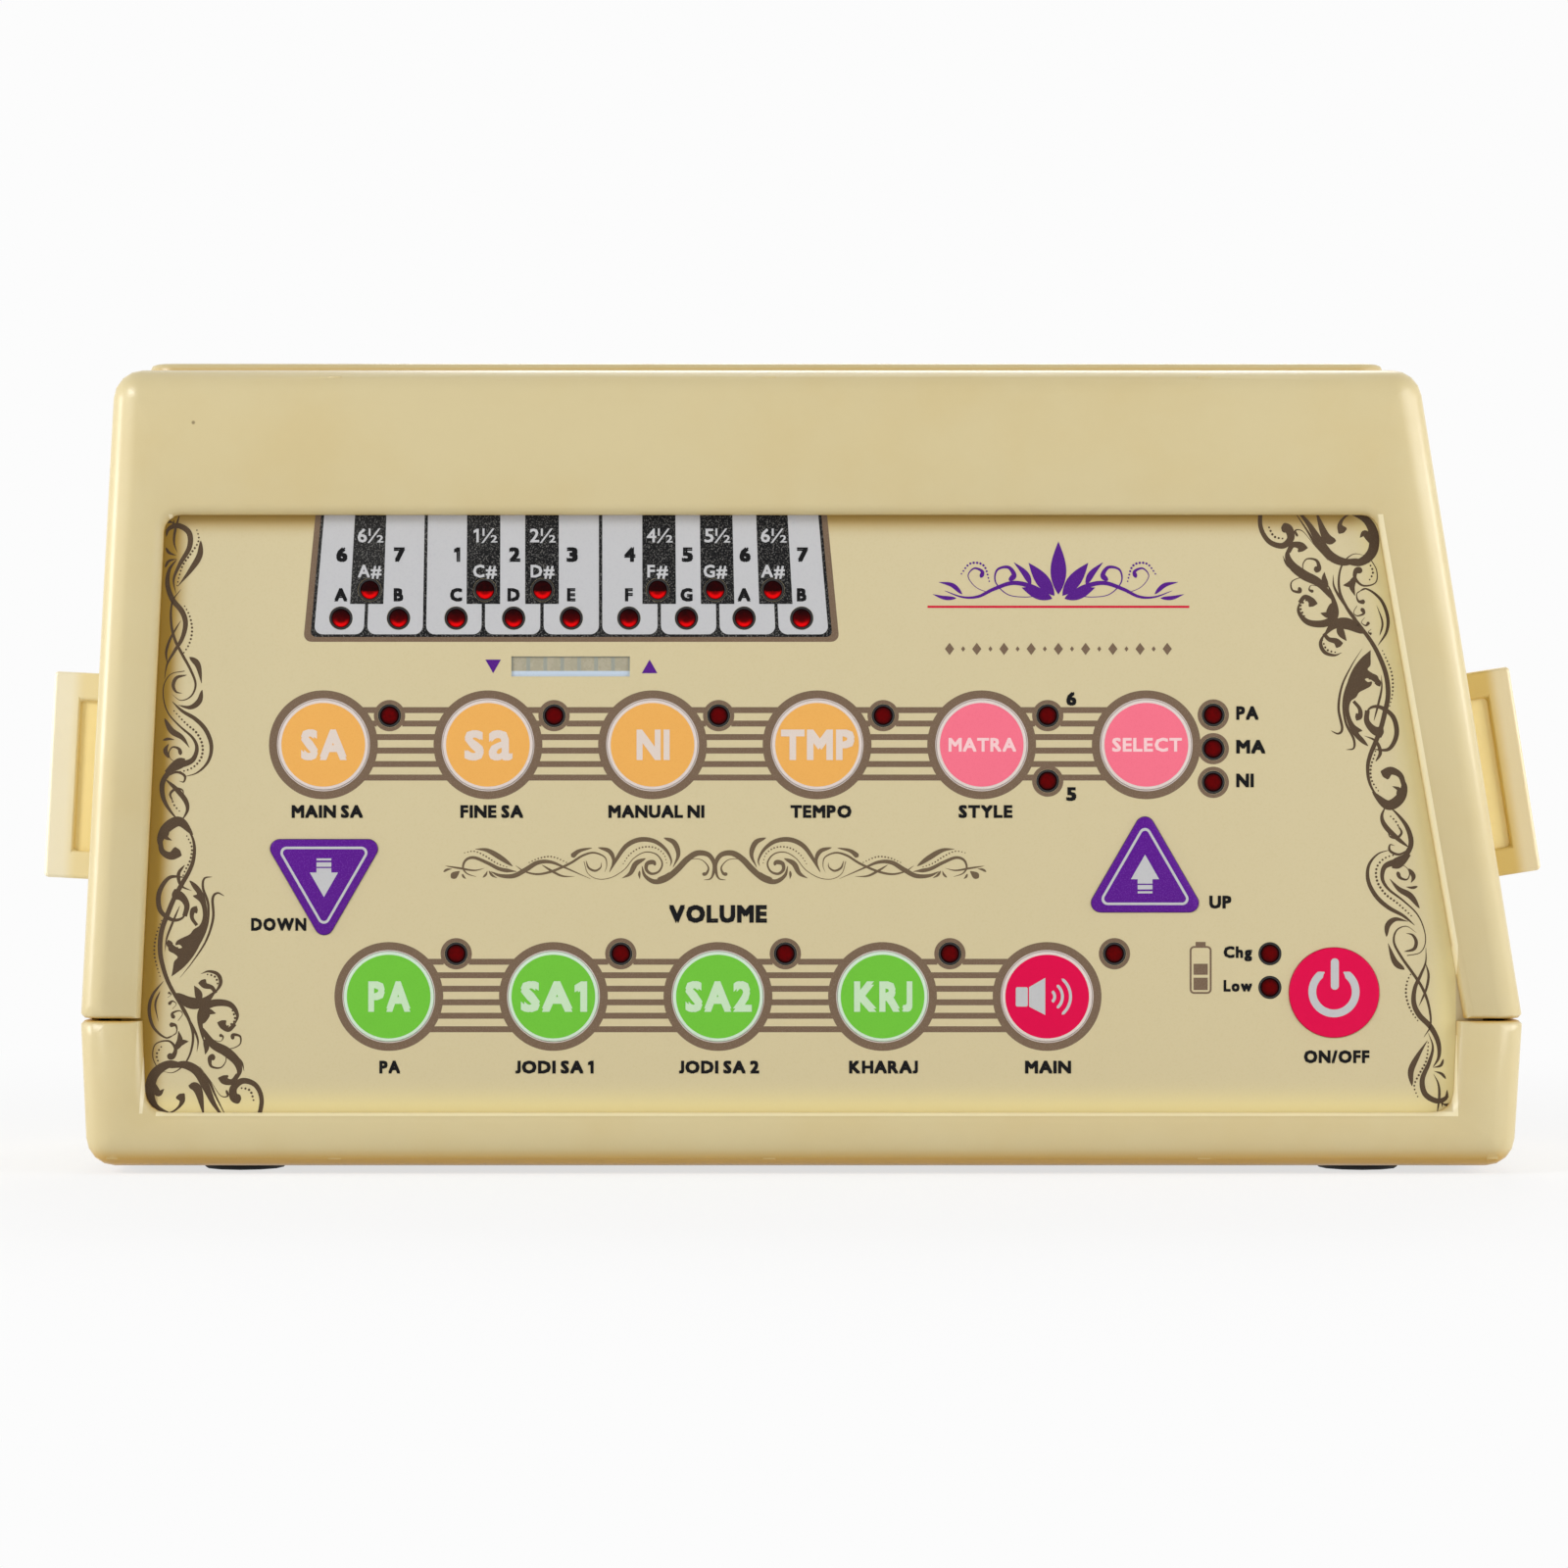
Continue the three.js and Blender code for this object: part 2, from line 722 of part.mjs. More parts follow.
function speakerSeat() {
  const bore = SPEAKER.diameter + 2 * FIT.gap;
  const ring = cylinderUp(
    SPEAKER.centreX, 0, level.flangeBase, level.seatRoot, bore + 2 * SPEAKER.ringWall, COUNT.roundSides,
  );
  const bosses = speakerBossPlaces.map(([x, y]) => cylinderUp(
    x, y, level.flangeBase, level.seatRoot, SPEAKER.bossDiameter, COUNT.smallSides,
  ));
  const pocket = cylinderUp(
    SPEAKER.centreX, 0, level.flangeBase - FIT.overrun, level.fieldCeiling, bore, COUNT.roundSides,
  );
  const bores = speakerBossPlaces.map(([x, y]) => cylinderUp(
    x, y, level.flangeBase - FIT.overrun, level.fieldCeiling, smallBore, COUNT.smallSides,
  ));
  return { solid: joined([ring, ...bosses]), pocket, bores };
}

// Where a strap lug meets the side wall, in the wall's own turned frame
function wallFrame(side) {
  const centre = level.seam + LUG.centreAboveSeam;
  const group = new THREE.Group();
  const lean = THREE.MathUtils.degToRad(isLeft(side) ? LEAN.upperLeft : LEAN.upperRight);
  const depth = face.front + LUG.setback + LUG.thickness / 2;
  group.position.set(isLeft(side) ? leftAt(centre) : rightAt(centre), depth, centre);
  group.rotation.set(0, isLeft(side) ? Math.PI + lean : -lean, 0);
  group.updateMatrix();
  return group;
}

const lugArm = (LUG.height - LUG.slotHeight) / 2;
const lugScrewOffset = (LUG.slotHeight + lugArm) / 2;

function lugBores(side) {
  const frame = wallFrame(side);
  return mirrorShares.map((end) => {
    const geometry = new THREE.CylinderGeometry(
      smallBore / 2, smallBore / 2, CASE.wall + 2 * FIT.overrun, COUNT.smallSides,
    );
    geometry.rotateZ(Math.PI / 2).translate(-CASE.wall / 2, 0, end * lugScrewOffset);
    return solidOf(geometry.applyMatrix4(frame.matrix));
  });
}

function upperShell() {
  const field = sweepUp(
    fieldPlan(0), level.top - FIELD.rise - FIELD.softness, level.fieldTop,
    { depth: FIELD.softness, size: FIELD.softness, segments: COUNT.lipSegments },
  );
  const pocket = sweepUp(fieldPlan(CASE.wall), level.ceiling - FIT.overrun, level.fieldCeiling);
  const pillars = columns(level.seam, level.seatRoot, COLUMN.diameter);
  const seat = speakerSeat();
  const tongues = mirrorShares.map((side) => {
    const [near, far] = [side * (half - CASE.tongueInset), side * (half - CASE.wall)];
    const reach = CASE.depth / 2 - COLUMN.depthInset + COLUMN.diameter;
    return block(
      Math.min(near, far), Math.max(near, far), -reach, reach,
      level.seam - CASE.tongueHeight, level.seam + CASE.tongueHeight,
    );
  });
  const guides = [false, true].flatMap((rear) => [
    edgeRibs(level.ceiling, plateHigh, rear),
    sideGuides(level.seam + CASE.seamGap / 2, plateHigh, rear),
  ]);
  const shell = caseBody.add(field).subtract(caseHollow).subtract(pocket).subtract(flaredWindow(upperWindow));
  const fitted = joined([shell, ...guides, ...pillars, seat.solid]).intersect(aboveSeam);
  const cores = columnPlaces.map(([x, y]) => cylinderUp(
    x, y, level.seam - FIT.overrun, level.seam + SCREW.caseLength, caseBore, COUNT.smallSides,
  ));
  return cutBy(joined([fitted, ...tongues]), [
    seat.pocket, ...cores, ...seat.bores, ...grilleSlots(), ...mirrorShares.flatMap(lugBores),
  ]);
}

const footPlaces = mirrorShares.flatMap((side) => mirrorShares.map((end) => [
  side * (half - FOOT.sideInset), end * (CASE.depth / 2 - FOOT.depthInset),
]));

// On the floor, from the left: screw columns, cell holder, main board, screw columns
const columnReach = half - COLUMN.inset - COLUMN.lowerDiameter / 2;
const holder = { left: -columnReach + CELL.columnRoom };
holder.length = CELL.length + 2 * (CELL.endRoom + CELL.holderWall);
holder.right = holder.left + holder.length;
holder.middle = (holder.left + holder.right) / 2;

const mainPlan = {
  left: holder.right + MAIN_BOARD.holderRoom,
  right: columnReach - MAIN_BOARD.columnRoom,
  front: face.boardBack + MAIN_BOARD.frontRoom,
  rear: face.rearPlate - FIT.slot - GUIDE.thickness - FIT.gap,
};
const ribbonX = mainPlan.left + LEAD.ribbonInset;
level.mainBoard = level.floor + MAIN_BOARD.standoff;
level.mainBoardTop = level.mainBoard + MAIN_BOARD.thickness;

const mainFixings = [
  [mainPlan.left + MAIN_BOARD.fixingInset, mainPlan.front + MAIN_BOARD.fixingInset],
  [mainPlan.right - MAIN_BOARD.fixingInset, mainPlan.front + MAIN_BOARD.fixingInset],
];

function lowerShell() {
  const shell = caseBody.subtract(caseHollow).subtract(flaredWindow(lowerWindow));
  const posts = columns(level.base + CASE.wall / 2, level.seam, COLUMN.lowerDiameter);
  const pillars = mainFixings.map(([x, y]) => cylinderUp(
    x, y, level.base + CASE.wall / 2, level.mainBoard, MAIN_BOARD.pillarDiameter, COUNT.smallSides,
  ));
  const guides = [false, true].flatMap((rear) => [
    edgeRibs(level.floor, plateLow, rear),
    sideGuides(level.floor - CASE.wall / 2, level.seam - CASE.seamGap / 2, rear),
  ]);
  const fitted = joined([shell, ...posts, ...pillars, ...guides]).intersect(belowSeam);
  const rebates = mirrorShares.map((side) => {
    const [near, far] = [side * (half - CASE.tongueInset + FIT.gap), side * (half - CASE.wall - FIT.gap)];
    const reach = CASE.depth / 2 - COLUMN.depthInset + COLUMN.diameter + FIT.gap;
    return block(
      Math.min(near, far), Math.max(near, far), -reach, reach,
      level.seam - CASE.tongueHeight - FIT.gap, level.seam + FIT.overrun,
    );
  });
  const recesses = columnPlaces.flatMap(([x, y]) => [
    cylinderUp(
      x, y, level.base - FIT.overrun, level.base + COLUMN.headRecessDepth, COLUMN.headRecessDiameter,
      COUNT.columnSides,
    ),
    cylinderUp(x, y, level.base, level.seam + FIT.overrun, caseBore, COUNT.smallSides),
  ]);
  const cores = mainFixings.map(([x, y]) => cylinderUp(
    x, y, level.floor, level.mainBoard + FIT.overrun, smallBore, COUNT.smallSides,
  ));
  const footSeats = footPlaces.map(([x, y]) => cylinderUp(
    x, y, level.base - FIT.overrun, level.base + FOOT.seat, FOOT.diameter + 2 * FIT.gap, COUNT.roundSides,
  ));
  return cutBy(fitted, [...rebates, ...recesses, ...cores, ...footSeats]);
}

// What the front panel carries, as [x, z] places

const panelZ = (height) => level.windowBase + height;
const rowOf = (count, x, pitch, height) => Array.from({ length: count }, (_, index) => [
  x + index * pitch, panelZ(height),
]);
const stackOf = (count, x, height) => Array.from({ length: count }, (_, index) => [
  x, panelZ(height) - index * PANEL.lampStep,
]);

const upperKeys = [
  ['key_main_sa', FINISH.orange],
  ['key_fine_sa', FINISH.orange],
  ['key_manual_ni', FINISH.orange],
  ['key_tempo', FINISH.orange],
  ['key_matra', FINISH.pink],
  ['key_select', FINISH.pink],
];
const lowerKeys = [
  ['key_pa', FINISH.green],
  ['key_jodi_sa_1', FINISH.green],
  ['key_jodi_sa_2', FINISH.green],
  ['key_kharaj', FINISH.green],
  ['key_main_volume', FINISH.crimson],
];
const upperRow = rowOf(upperKeys.length, PANEL.upperRowX, KEY.pitch, PANEL.upperRowZ);
const lowerRow = rowOf(lowerKeys.length, PANEL.lowerRowX, KEY.pitch, PANEL.lowerRowZ);
const powerKey = [PANEL.powerX, panelZ(PANEL.powerZ)];
const downKey = [PANEL.downX, panelZ(PANEL.downZ)];
const upKey = [PANEL.upX, panelZ(PANEL.upZ)];

const naturalLamps = rowOf(NATURALS.length, PANEL.keyboardX, PANEL.keyboardPitch, PANEL.naturalZ);
const sharpLamps = naturalLamps.filter((_, index) => !'BE'.includes(NATURALS[index])).map(([x, z]) => [
  x + sharpShare * PANEL.keyboardPitch, z + PANEL.sharpRise,
]);

const keyEdge = KEY.diameter / 2;
const upperLamps = upperRow.slice(0, -1).map(([x, z]) => [
  x + keyEdge + PANEL.upperLampRoom, z + PANEL.upperLampRise,
]);
const lowerLamps = lowerRow.map(([x, z]) => [x + keyEdge + PANEL.lowerLampRoom, z + PANEL.lowerLampRise]);
const [lastLampX] = upperLamps.at(-1);
const [lastKeyX] = upperRow.at(-1);
const styleLamp = [lastLampX, panelZ(PANEL.upperRowZ - PANEL.styleLampDrop)];
const stackLamps = stackOf(
  COUNT.stackCount, lastKeyX + keyEdge + PANEL.stackRoom, PANEL.upperRowZ + PANEL.stackRise,
);
const chargeLamps = stackOf(
  COUNT.chargeCount, PANEL.powerX - keyEdge - PANEL.chargeRoom, PANEL.powerZ + PANEL.chargeRise,
);
const lamps = [
  ...naturalLamps, ...sharpLamps, ...upperLamps, styleLamp, ...stackLamps, ...lowerLamps, ...chargeLamps,
];

// A triangle with its point up or down, about the middle of its height
function triangle([x, z], up, growth = 0) {
  const [width, height] = [KEY.triangleWidth / 2, KEY.triangleHeight / 2];
  const corners = up
    ? [[x - width, z - height], [x + width, z - height], [x, z + height]]
    : [[x - width, z + height], [x, z - height], [x + width, z + height]];
  return insetCorners(corners.map(([across, rise]) => [across, rise, KEY.triangleRadius]), -growth);
}

const keyDepth = {};
keyDepth.flange = PLATE.overlay + FIT.keyGap;
keyDepth.back = keyDepth.flange + KEY.flangeThickness;

const roundKeys = [
  ...upperKeys.map(([name, material], index) => ({ name, spot: upperRow[index], material })),
  ...lowerKeys.map(([name, material], index) => ({ name, spot: lowerRow[index], material })),
  { name: 'key_power', spot: powerKey, material: FINISH.crimson },
];
const keyPlaces = [...roundKeys.map(({ spot }) => spot), downKey, upKey];

// A round key: a disc through the overlay and a flange behind it that keeps it in
function roundKey() {
  const radius = KEY.diameter / 2;
  return turned([
    [0, -KEY.proud],
    [radius - KEY.chamfer, -KEY.proud],
    [radius, -KEY.proud + KEY.chamfer],
    [radius, keyDepth.flange],
    [radius + KEY.flange, keyDepth.flange],
    [radius + KEY.flange, keyDepth.back],
    [0, keyDepth.back],
  ], COUNT.keySides);
}

function triangleKey(up) {
  const spot = [0, 0];
  const chamfer = { depth: KEY.chamfer, size: KEY.chamfer, segments: 1 };
  const front = sweepBack(triangle(spot, up), -KEY.proud, keyDepth.back, chamfer);
  const flange = sweepBack(triangle(spot, up, KEY.triangleFlange), keyDepth.flange, keyDepth.back);
  return joined([front, flange]);
}

const barOutline = (margin) => rectangle(
  PANEL.barX - PANEL.barWidth / 2 - margin, PANEL.barX + PANEL.barWidth / 2 + margin,
  panelZ(PANEL.barZ) - PANEL.barHeight / 2 - margin, panelZ(PANEL.barZ) + PANEL.barHeight / 2 + margin,
);

// Holes for the keys and the bar display, through a sheet from one depth to another
function keyHoles(from, to, room, sides, barMargin) {
  return [
    ...roundKeys.map(({ spot: [x, z] }) => (
      cylinderBack(x, z, from, to, KEY.diameter + 2 * room.round, sides)
    )),
    sweepBack(triangle(downKey, false, room.triangle), from, to),
    sweepBack(triangle(upKey, true, room.triangle), from, to),
    sweepBack(barOutline(barMargin), from, to),
  ];
}

// One slot behind a straight row of lamps
function lampSlot(row, from, to) {
  const reach = PANEL.lampHole / 2;
  const across = row.map(([x]) => x);
  const up = row.map(([, z]) => z);
  const outline = rectangle(
    Math.min(...across) - reach, Math.max(...across) + reach,
    Math.min(...up) - reach, Math.max(...up) + reach, PANEL.slotCorner,
  );
  return sweepBack(outline, from, to, null, COUNT.hiddenArcSegments);
}

const boardPlan = {
  left: windowLeftAt(level.seam) + BOARD.leftRoom,
  right: windowRightAt(level.seam) - BOARD.rightRoom,
};
const boardTop = PANEL.naturalZ + PANEL.sharpRise + BOARD.topRoom;
const boardFixings = [
  [boardPlan.left + BOARD.fixingInset, panelZ(BOARD.base + BOARD.fixingInset)],
  [boardPlan.right - BOARD.fixingShift, panelZ(BOARD.base + BOARD.fixingInset)],
  [boardPlan.right - BOARD.fixingInset, panelZ(boardTop - BOARD.fixingInset)],
  [boardPlan.left + BOARD.fixingInset, panelZ(boardTop - BOARD.fixingInset)],
];

function frontPanel() {
  const room = { round: KEY.flange + FIT.gap, triangle: KEY.triangleFlange + FIT.gap };
  const plate = plateSheet(face.plate, face.plateBack);
  const [from, to] = [face.plate - FIT.overrun, face.plateBack + FIT.overrun];
  const singles = [...upperLamps, styleLamp, ...lowerLamps];
  const holes = [
    ...keyHoles(from, to, room, COUNT.keySides, BOARD.barModuleMargin + FIT.gap),
    ...[naturalLamps, sharpLamps, stackLamps, chargeLamps].map((row) => lampSlot(row, from, to)),
    ...singles.map(([x, z]) => cylinderBack(x, z, from, to, PANEL.lampHole, COUNT.lampSides)),
  ];
  const pillars = boardFixings.map(([x, z]) => cylinderBack(
    x, z, face.plate + PLATE.thickness / 2, face.board - FIT.bond, BOARD.pillarDiameter, COUNT.smallSides,
  ));
  const cores = boardFixings.map(([x, z]) => cylinderBack(
    x, z, face.plateBack, face.board + FIT.overrun, smallBore, COUNT.smallSides,
  ));
  return cutBy(joined([cutBy(plate, holes), ...pillars]), cores);
}

function overlay() {
  const room = { round: FIT.keyGap, triangle: FIT.keyGap };
  const sheet = plateSheet(face.overlay, face.plate - FIT.bond);
  const [from, to] = [face.overlay - FIT.overrun, face.plate + FIT.overrun];
  return cutBy(sheet, [
    ...keyHoles(from, to, room, COUNT.keySides, 0),
    ...lamps.map(([x, z]) => cylinderBack(x, z, from, to, PANEL.lampHole, COUNT.lampSides)),
  ]);
}

function keypadBoard() {
  const board = sweepBack(
    rectangle(boardPlan.left, boardPlan.right, panelZ(BOARD.base), panelZ(boardTop), BOARD.cornerRadius),
    face.board, face.boardBack,
  );
  const middle = face.board + BOARD.thickness / 2;
  const button = face.overlay + keyDepth.back + KEY.travel + KEY.stop;
  const switches = keyPlaces.flatMap(([x, z]) => [
    block(
      x - BOARD.switchSize / 2, x + BOARD.switchSize / 2, face.board - BOARD.switchBody, middle,
      z - BOARD.switchSize / 2, z + BOARD.switchSize / 2,
    ),
    cylinderBack(x, z, button, middle, BOARD.buttonDiameter, COUNT.lampSides),
  ]);
  const radius = PANEL.lampDiameter / 2;
  const lens = turned([
    [0, face.overlay + BOARD.lampSetback],
    [radius * BOARD.lampTipShare, face.overlay + BOARD.lampSetback],
    [radius, middle],
    [0, middle],
  ], COUNT.lampSides);
  const lenses = lamps.map(([x, z]) => solidOf(lens.clone().translate(x, 0, z)));
  const socketLow = panelZ(BOARD.base) + BOARD.connectorRise;
  const connector = block(
    ribbonX - BOARD.connectorLength / 2, ribbonX + BOARD.connectorLength / 2,
    middle, face.boardBack + BOARD.connectorDepth, socketLow, socketLow + BOARD.connectorHeight,
  );
  const cores = boardFixings.map(([x, z]) => cylinderBack(
    x, z, face.board - FIT.overrun, face.boardBack + FIT.overrun, smallBore, COUNT.smallSides,
  ));
  return cutBy(joined([board, ...switches, ...lenses, connector]), cores);
}

// The bar display stands on the board and shows its segments through the window of the overlay
function barDisplay() {
  const body = sweepBack(barOutline(BOARD.barModuleMargin), face.plate + FIT.slot, face.board - FIT.bond);
  const pitch = PANEL.barWidth / COUNT.barSegmentCount;
  const low = panelZ(PANEL.barZ) - PANEL.barHeight / 2 + BAR.stripHeight;
  const segments = Array.from({ length: COUNT.barSegmentCount }, (_, index) => {
    const left = PANEL.barX - PANEL.barWidth / 2 + index * pitch;
    return block(
      left + BAR.rib / 2, left + pitch - BAR.rib / 2, face.plate - BAR.rise, face.plate + 2 * FIT.slot,
      low, low + BAR.height,
    );
  });
  return joined([body, ...segments]);
}

// Screws: the head sits below the origin and the shank runs along +Y until the mesh is turned
function screwShape(shank, length, head = SCREW.headDiameter) {
  return turned([
    [0, -SCREW.headHeight],
    [head / 2, -SCREW.headHeight],
    [head / 2, 0],
    [shank / 2, 0],
    [shank / 2, length],
    [0, length],
  ], COUNT.screwSides);
}

const upwards = (geometry) => geometry.rotateX(Math.PI / 2);
const downwards = (geometry) => geometry.rotateX(-Math.PI / 2);
const forwards = (geometry) => geometry.rotateX(Math.PI);
const outwards = (geometry) => geometry.rotateZ(-Math.PI / 2);

function foot() {
  const radius = FOOT.diameter / 2;
  return upwards(turned([
    [0, 0],
    [radius - FOOT.chamfer, 0],
    [radius, FOOT.chamfer],
    [radius, FOOT.proud + FOOT.seat - FIT.bond],
    [0, FOOT.proud + FOOT.seat - FIT.bond],
  ], COUNT.roundSides));
}

// A strap lug in the frame of its wall: two arms from the wall and a bar that the strap goes round
function strapLug() {
  const [back, front] = [-LUG.thickness / 2, LUG.thickness / 2];
  const rise = LUG.height / 2;
  const blank = sweepBack(
    rectangle(-LUG.reach, LUG.reach, -rise, rise, LUG.outerRadius), back, front,
    { depth: LUG.edgeRadius, size: LUG.edgeRadius, segments: COUNT.lipSegments },
  );
  const outside = block(
    FIT.gap, LUG.reach + FIT.overrun, back - FIT.overrun, front + FIT.overrun, -LUG.height, LUG.height,
  );
  const slot = sweepBack(
    rectangle(-LUG.slotWidth, LUG.slotWidth, -LUG.slotHeight / 2, LUG.slotHeight / 2, LUG.slotRadius),
    back - FIT.overrun, front + FIT.overrun,
  );
  const bores = mirrorShares.map((end) => {
    const geometry = new THREE.CylinderGeometry(
      smallBore / 2, smallBore / 2, 2 * LUG.boreDepth, COUNT.smallSides,
    );
    return solidOf(geometry.rotateZ(Math.PI / 2).translate(0, 0, end * lugScrewOffset));
  });
  return cutBy(blank.intersect(outside), [slot, ...bores]);
}

// Loudspeaker, cone upwards: levels count down from the underside of the gasket

function speakerFrame() {
  const rim = SPEAKER.diameter / 2;
  const throat = rim - SPEAKER.flangeWidth;
  const back = SPEAKER.backDiameter / 2;
  const bore = SPEAKER.coilDiameter / 2 + FIT.gap;
  const low = -SPEAKER.basketDepth;
  const basket = solidOf(upwards(turned([
    [bore, low],
    [back, low],
    [throat + SPEAKER.basketWall, -SPEAKER.flangeThickness],
    [rim, -SPEAKER.flangeThickness],
    [rim, 0],
    [throat, 0],
    [throat, -SPEAKER.flangeThickness],
    [back - SPEAKER.basketWall, low + SPEAKER.basketWall],
    [bore, low + SPEAKER.basketWall],
    [bore, low],
  ], COUNT.roundSides)));
  const span = SPEAKER.windowHeight / 2;
  const windows = Array.from({ length: SPEAKER.windowCount / 2 }, (_, index) => {
    const geometry = new THREE.BoxGeometry(SPEAKER.diameter, SPEAKER.windowWidth, SPEAKER.windowHeight);
    geometry.translate(0, 0, (low - SPEAKER.flangeThickness) / 2).rotateZ(index * Math.PI / 2);
    return solidOf(geometry);
  });
  const terminal = block(
    -SPEAKER.terminal, SPEAKER.terminal, back - SPEAKER.basketWall, back + SPEAKER.terminal,
    low, low + (SPEAKER.basketDepth - SPEAKER.flangeThickness) / 2 - span,
  );
  return joined([cutBy(basket, windows), terminal]);
}

function speakerCone() {
  const rim = SPEAKER.diameter / 2 - SPEAKER.flangeWidth - FIT.gap;
  const edgeOfCone = rim - SPEAKER.rollWidth;
  const coil = SPEAKER.coilDiameter / 2;
  const skin = SPEAKER.coneThickness;
  const top = -SPEAKER.flangeThickness + SPEAKER.roll / 2;
  return upwards(turned([
    [0, -SPEAKER.coneDepth + SPEAKER.domeRise - skin],
    [coil, -SPEAKER.coneDepth - skin],
    [edgeOfCone, -SPEAKER.flangeThickness - skin],
    [rim, -SPEAKER.flangeThickness],
    [rim, top - skin],
    [(rim + edgeOfCone) / 2, top],
    [edgeOfCone, top - skin],
    [coil, -SPEAKER.coneDepth],
    [coil / 2, -SPEAKER.coneDepth + SPEAKER.domeRise * SPEAKER.domeShare],
    [0, -SPEAKER.coneDepth + SPEAKER.domeRise],
  ], COUNT.roundSides));
}

function speakerMagnet() {
  const radius = SPEAKER.magnetDiameter / 2;
  const top = -SPEAKER.basketDepth - FIT.bond;
  const low = top - SPEAKER.magnetHeight;
  return upwards(turned([
    [0, low], [radius, low], [radius, low + SPEAKER.yoke], [radius - SPEAKER.yokeStep, low + SPEAKER.yoke],
    [radius - SPEAKER.yokeStep, top - SPEAKER.yoke], [radius, top - SPEAKER.yoke], [radius, top], [0, top],
  ], COUNT.roundSides));
}

function speakerGasket() {
  const rim = SPEAKER.diameter / 2;
  const inner = rim - SPEAKER.flangeWidth;
  return upwards(turned([
    [inner, FIT.bond], [rim, FIT.bond], [rim, SPEAKER.gasket - FIT.bond], [inner, SPEAKER.gasket - FIT.bond],
    [inner, FIT.bond],
  ], COUNT.roundSides));
}

// Main board with its chips, capacitors and sockets' pads

function mainBoard() {
  const board = sweepUp(
    rectangle(mainPlan.left, mainPlan.right, mainPlan.front, mainPlan.rear, MAIN_BOARD.cornerRadius),
    level.mainBoard, level.mainBoardTop,
  );
  const middle = level.mainBoard + MAIN_BOARD.thickness / 2;
  const chips = [0, 1].map((index) => {
    const left = mainPlan.left + MAIN_BOARD.fixingInset + index * MAIN_BOARD.chipPitch;
    return block(
      left, left + MAIN_BOARD.chipSize, 0, MAIN_BOARD.chipSize,
      middle, level.mainBoardTop + MAIN_BOARD.chipHeight,
    );
  });
  const capacitors = Array.from({ length: MAIN_BOARD.capCount }, (_, index) => cylinderUp(
    ribbonX + BOARD.connectorLength + index * MAIN_BOARD.capPitch, MAIN_BOARD.capDiameter,
    middle, level.mainBoardTop + MAIN_BOARD.capHeight, MAIN_BOARD.capDiameter, COUNT.smallSides,
  ));
  const socket = block(
    ribbonX - BOARD.connectorLength / 2, ribbonX + BOARD.connectorLength / 2,
    mainPlan.front + LEAD.ribbonPlug, mainPlan.front + LEAD.ribbonPlug + BOARD.connectorHeight,
    middle, level.mainBoardTop + BOARD.connectorDepth,
  );
  const cores = mainFixings.map(([x, y]) => cylinderUp(
    x, y, level.mainBoard - FIT.overrun, level.mainBoardTop + FIT.overrun, smallBore, COUNT.smallSides,
  ));
  return cutBy(joined([board, ...chips, ...capacitors, socket]), cores);
}

function heatSink() {
  const low = level.mainBoardTop + FIT.bond;
  const left = mainPlan.right - HEAT_SINK.sideInset - HEAT_SINK.width / 2;
  const front = mainPlan.front + HEAT_SINK.frontInset - HEAT_SINK.depth / 2;
  const back = block(
    left, left + HEAT_SINK.width, front, front + HEAT_SINK.base, low, low + HEAT_SINK.height,
  );
  const count = Math.floor((HEAT_SINK.width - HEAT_SINK.fin) / HEAT_SINK.finPitch) + 1;
  const fins = Array.from({ length: count }, (_, index) => block(
    left + index * HEAT_SINK.finPitch, left + index * HEAT_SINK.finPitch + HEAT_SINK.fin,
    front + HEAT_SINK.base / 2, front + HEAT_SINK.depth, low, low + HEAT_SINK.height,
  ));
  return joined([back, ...fins]);
}

const jackLow = level.mainBoardTop + FIT.bond;
const powerJackX = mainPlan.right - JACK.powerInset;
const lineJackX = mainPlan.right - JACK.lineInset;
const noseEnd = face.rearPlateBack - FIT.slot;
const jackRear = face.rearPlate - FIT.slot;

// A socket on the rear edge of the board, its nose in the rear panel
function jackBody(x, width, height, length, nose) {
  const axis = jackLow + height / 2;
  const body = block(x - width / 2, x + width / 2, jackRear - length, jackRear, jackLow, jackLow + height);
  return body.add(cylinderBack(x, axis, jackRear - length / 2, noseEnd, nose, COUNT.roundSides));
}

function powerJack() {
  const axis = jackLow + JACK.powerHeight / 2;
  const bore = cylinderBack(
    powerJackX, axis, noseEnd - JACK.powerBoreDepth, noseEnd + FIT.overrun, JACK.powerBore, COUNT.roundSides,
  );
  const pin = cylinderBack(
    powerJackX, axis, noseEnd - JACK.powerBoreDepth - FIT.overrun, noseEnd - FIT.gap,
    JACK.powerPin, COUNT.smallSides,
  );
  return jackBody(
    powerJackX, JACK.powerWidth, JACK.powerHeight, JACK.powerLength, JACK.powerNose,
  ).subtract(bore).add(pin);
}

function lineJack() {
  const bore = cylinderBack(
    lineJackX, jackLow + JACK.lineHeight / 2, noseEnd - JACK.lineBoreDepth, noseEnd + FIT.overrun,
    JACK.lineBore, COUNT.smallSides,
  );
  return jackBody(
    lineJackX, JACK.lineWidth, JACK.lineHeight, JACK.lineLength, JACK.lineNose,
  ).subtract(bore);
}

function rearPanel() {
  const plate = plateSheet(face.rearPlate, face.rearPlateBack);
  const hole = (x, height, nose) => cylinderBack(
    x, jackLow + height / 2, face.rearPlate - FIT.overrun, face.rearPlateBack + FIT.overrun,
    nose + 2 * FIT.gap, COUNT.roundSides,
  );
  return cutBy(plate, [
    hole(powerJackX, JACK.powerHeight, JACK.powerNose), hole(lineJackX, JACK.lineHeight, JACK.lineNose),
  ]);
}

// Rechargeable pack: two cells side by side in a tray on the floor of the case

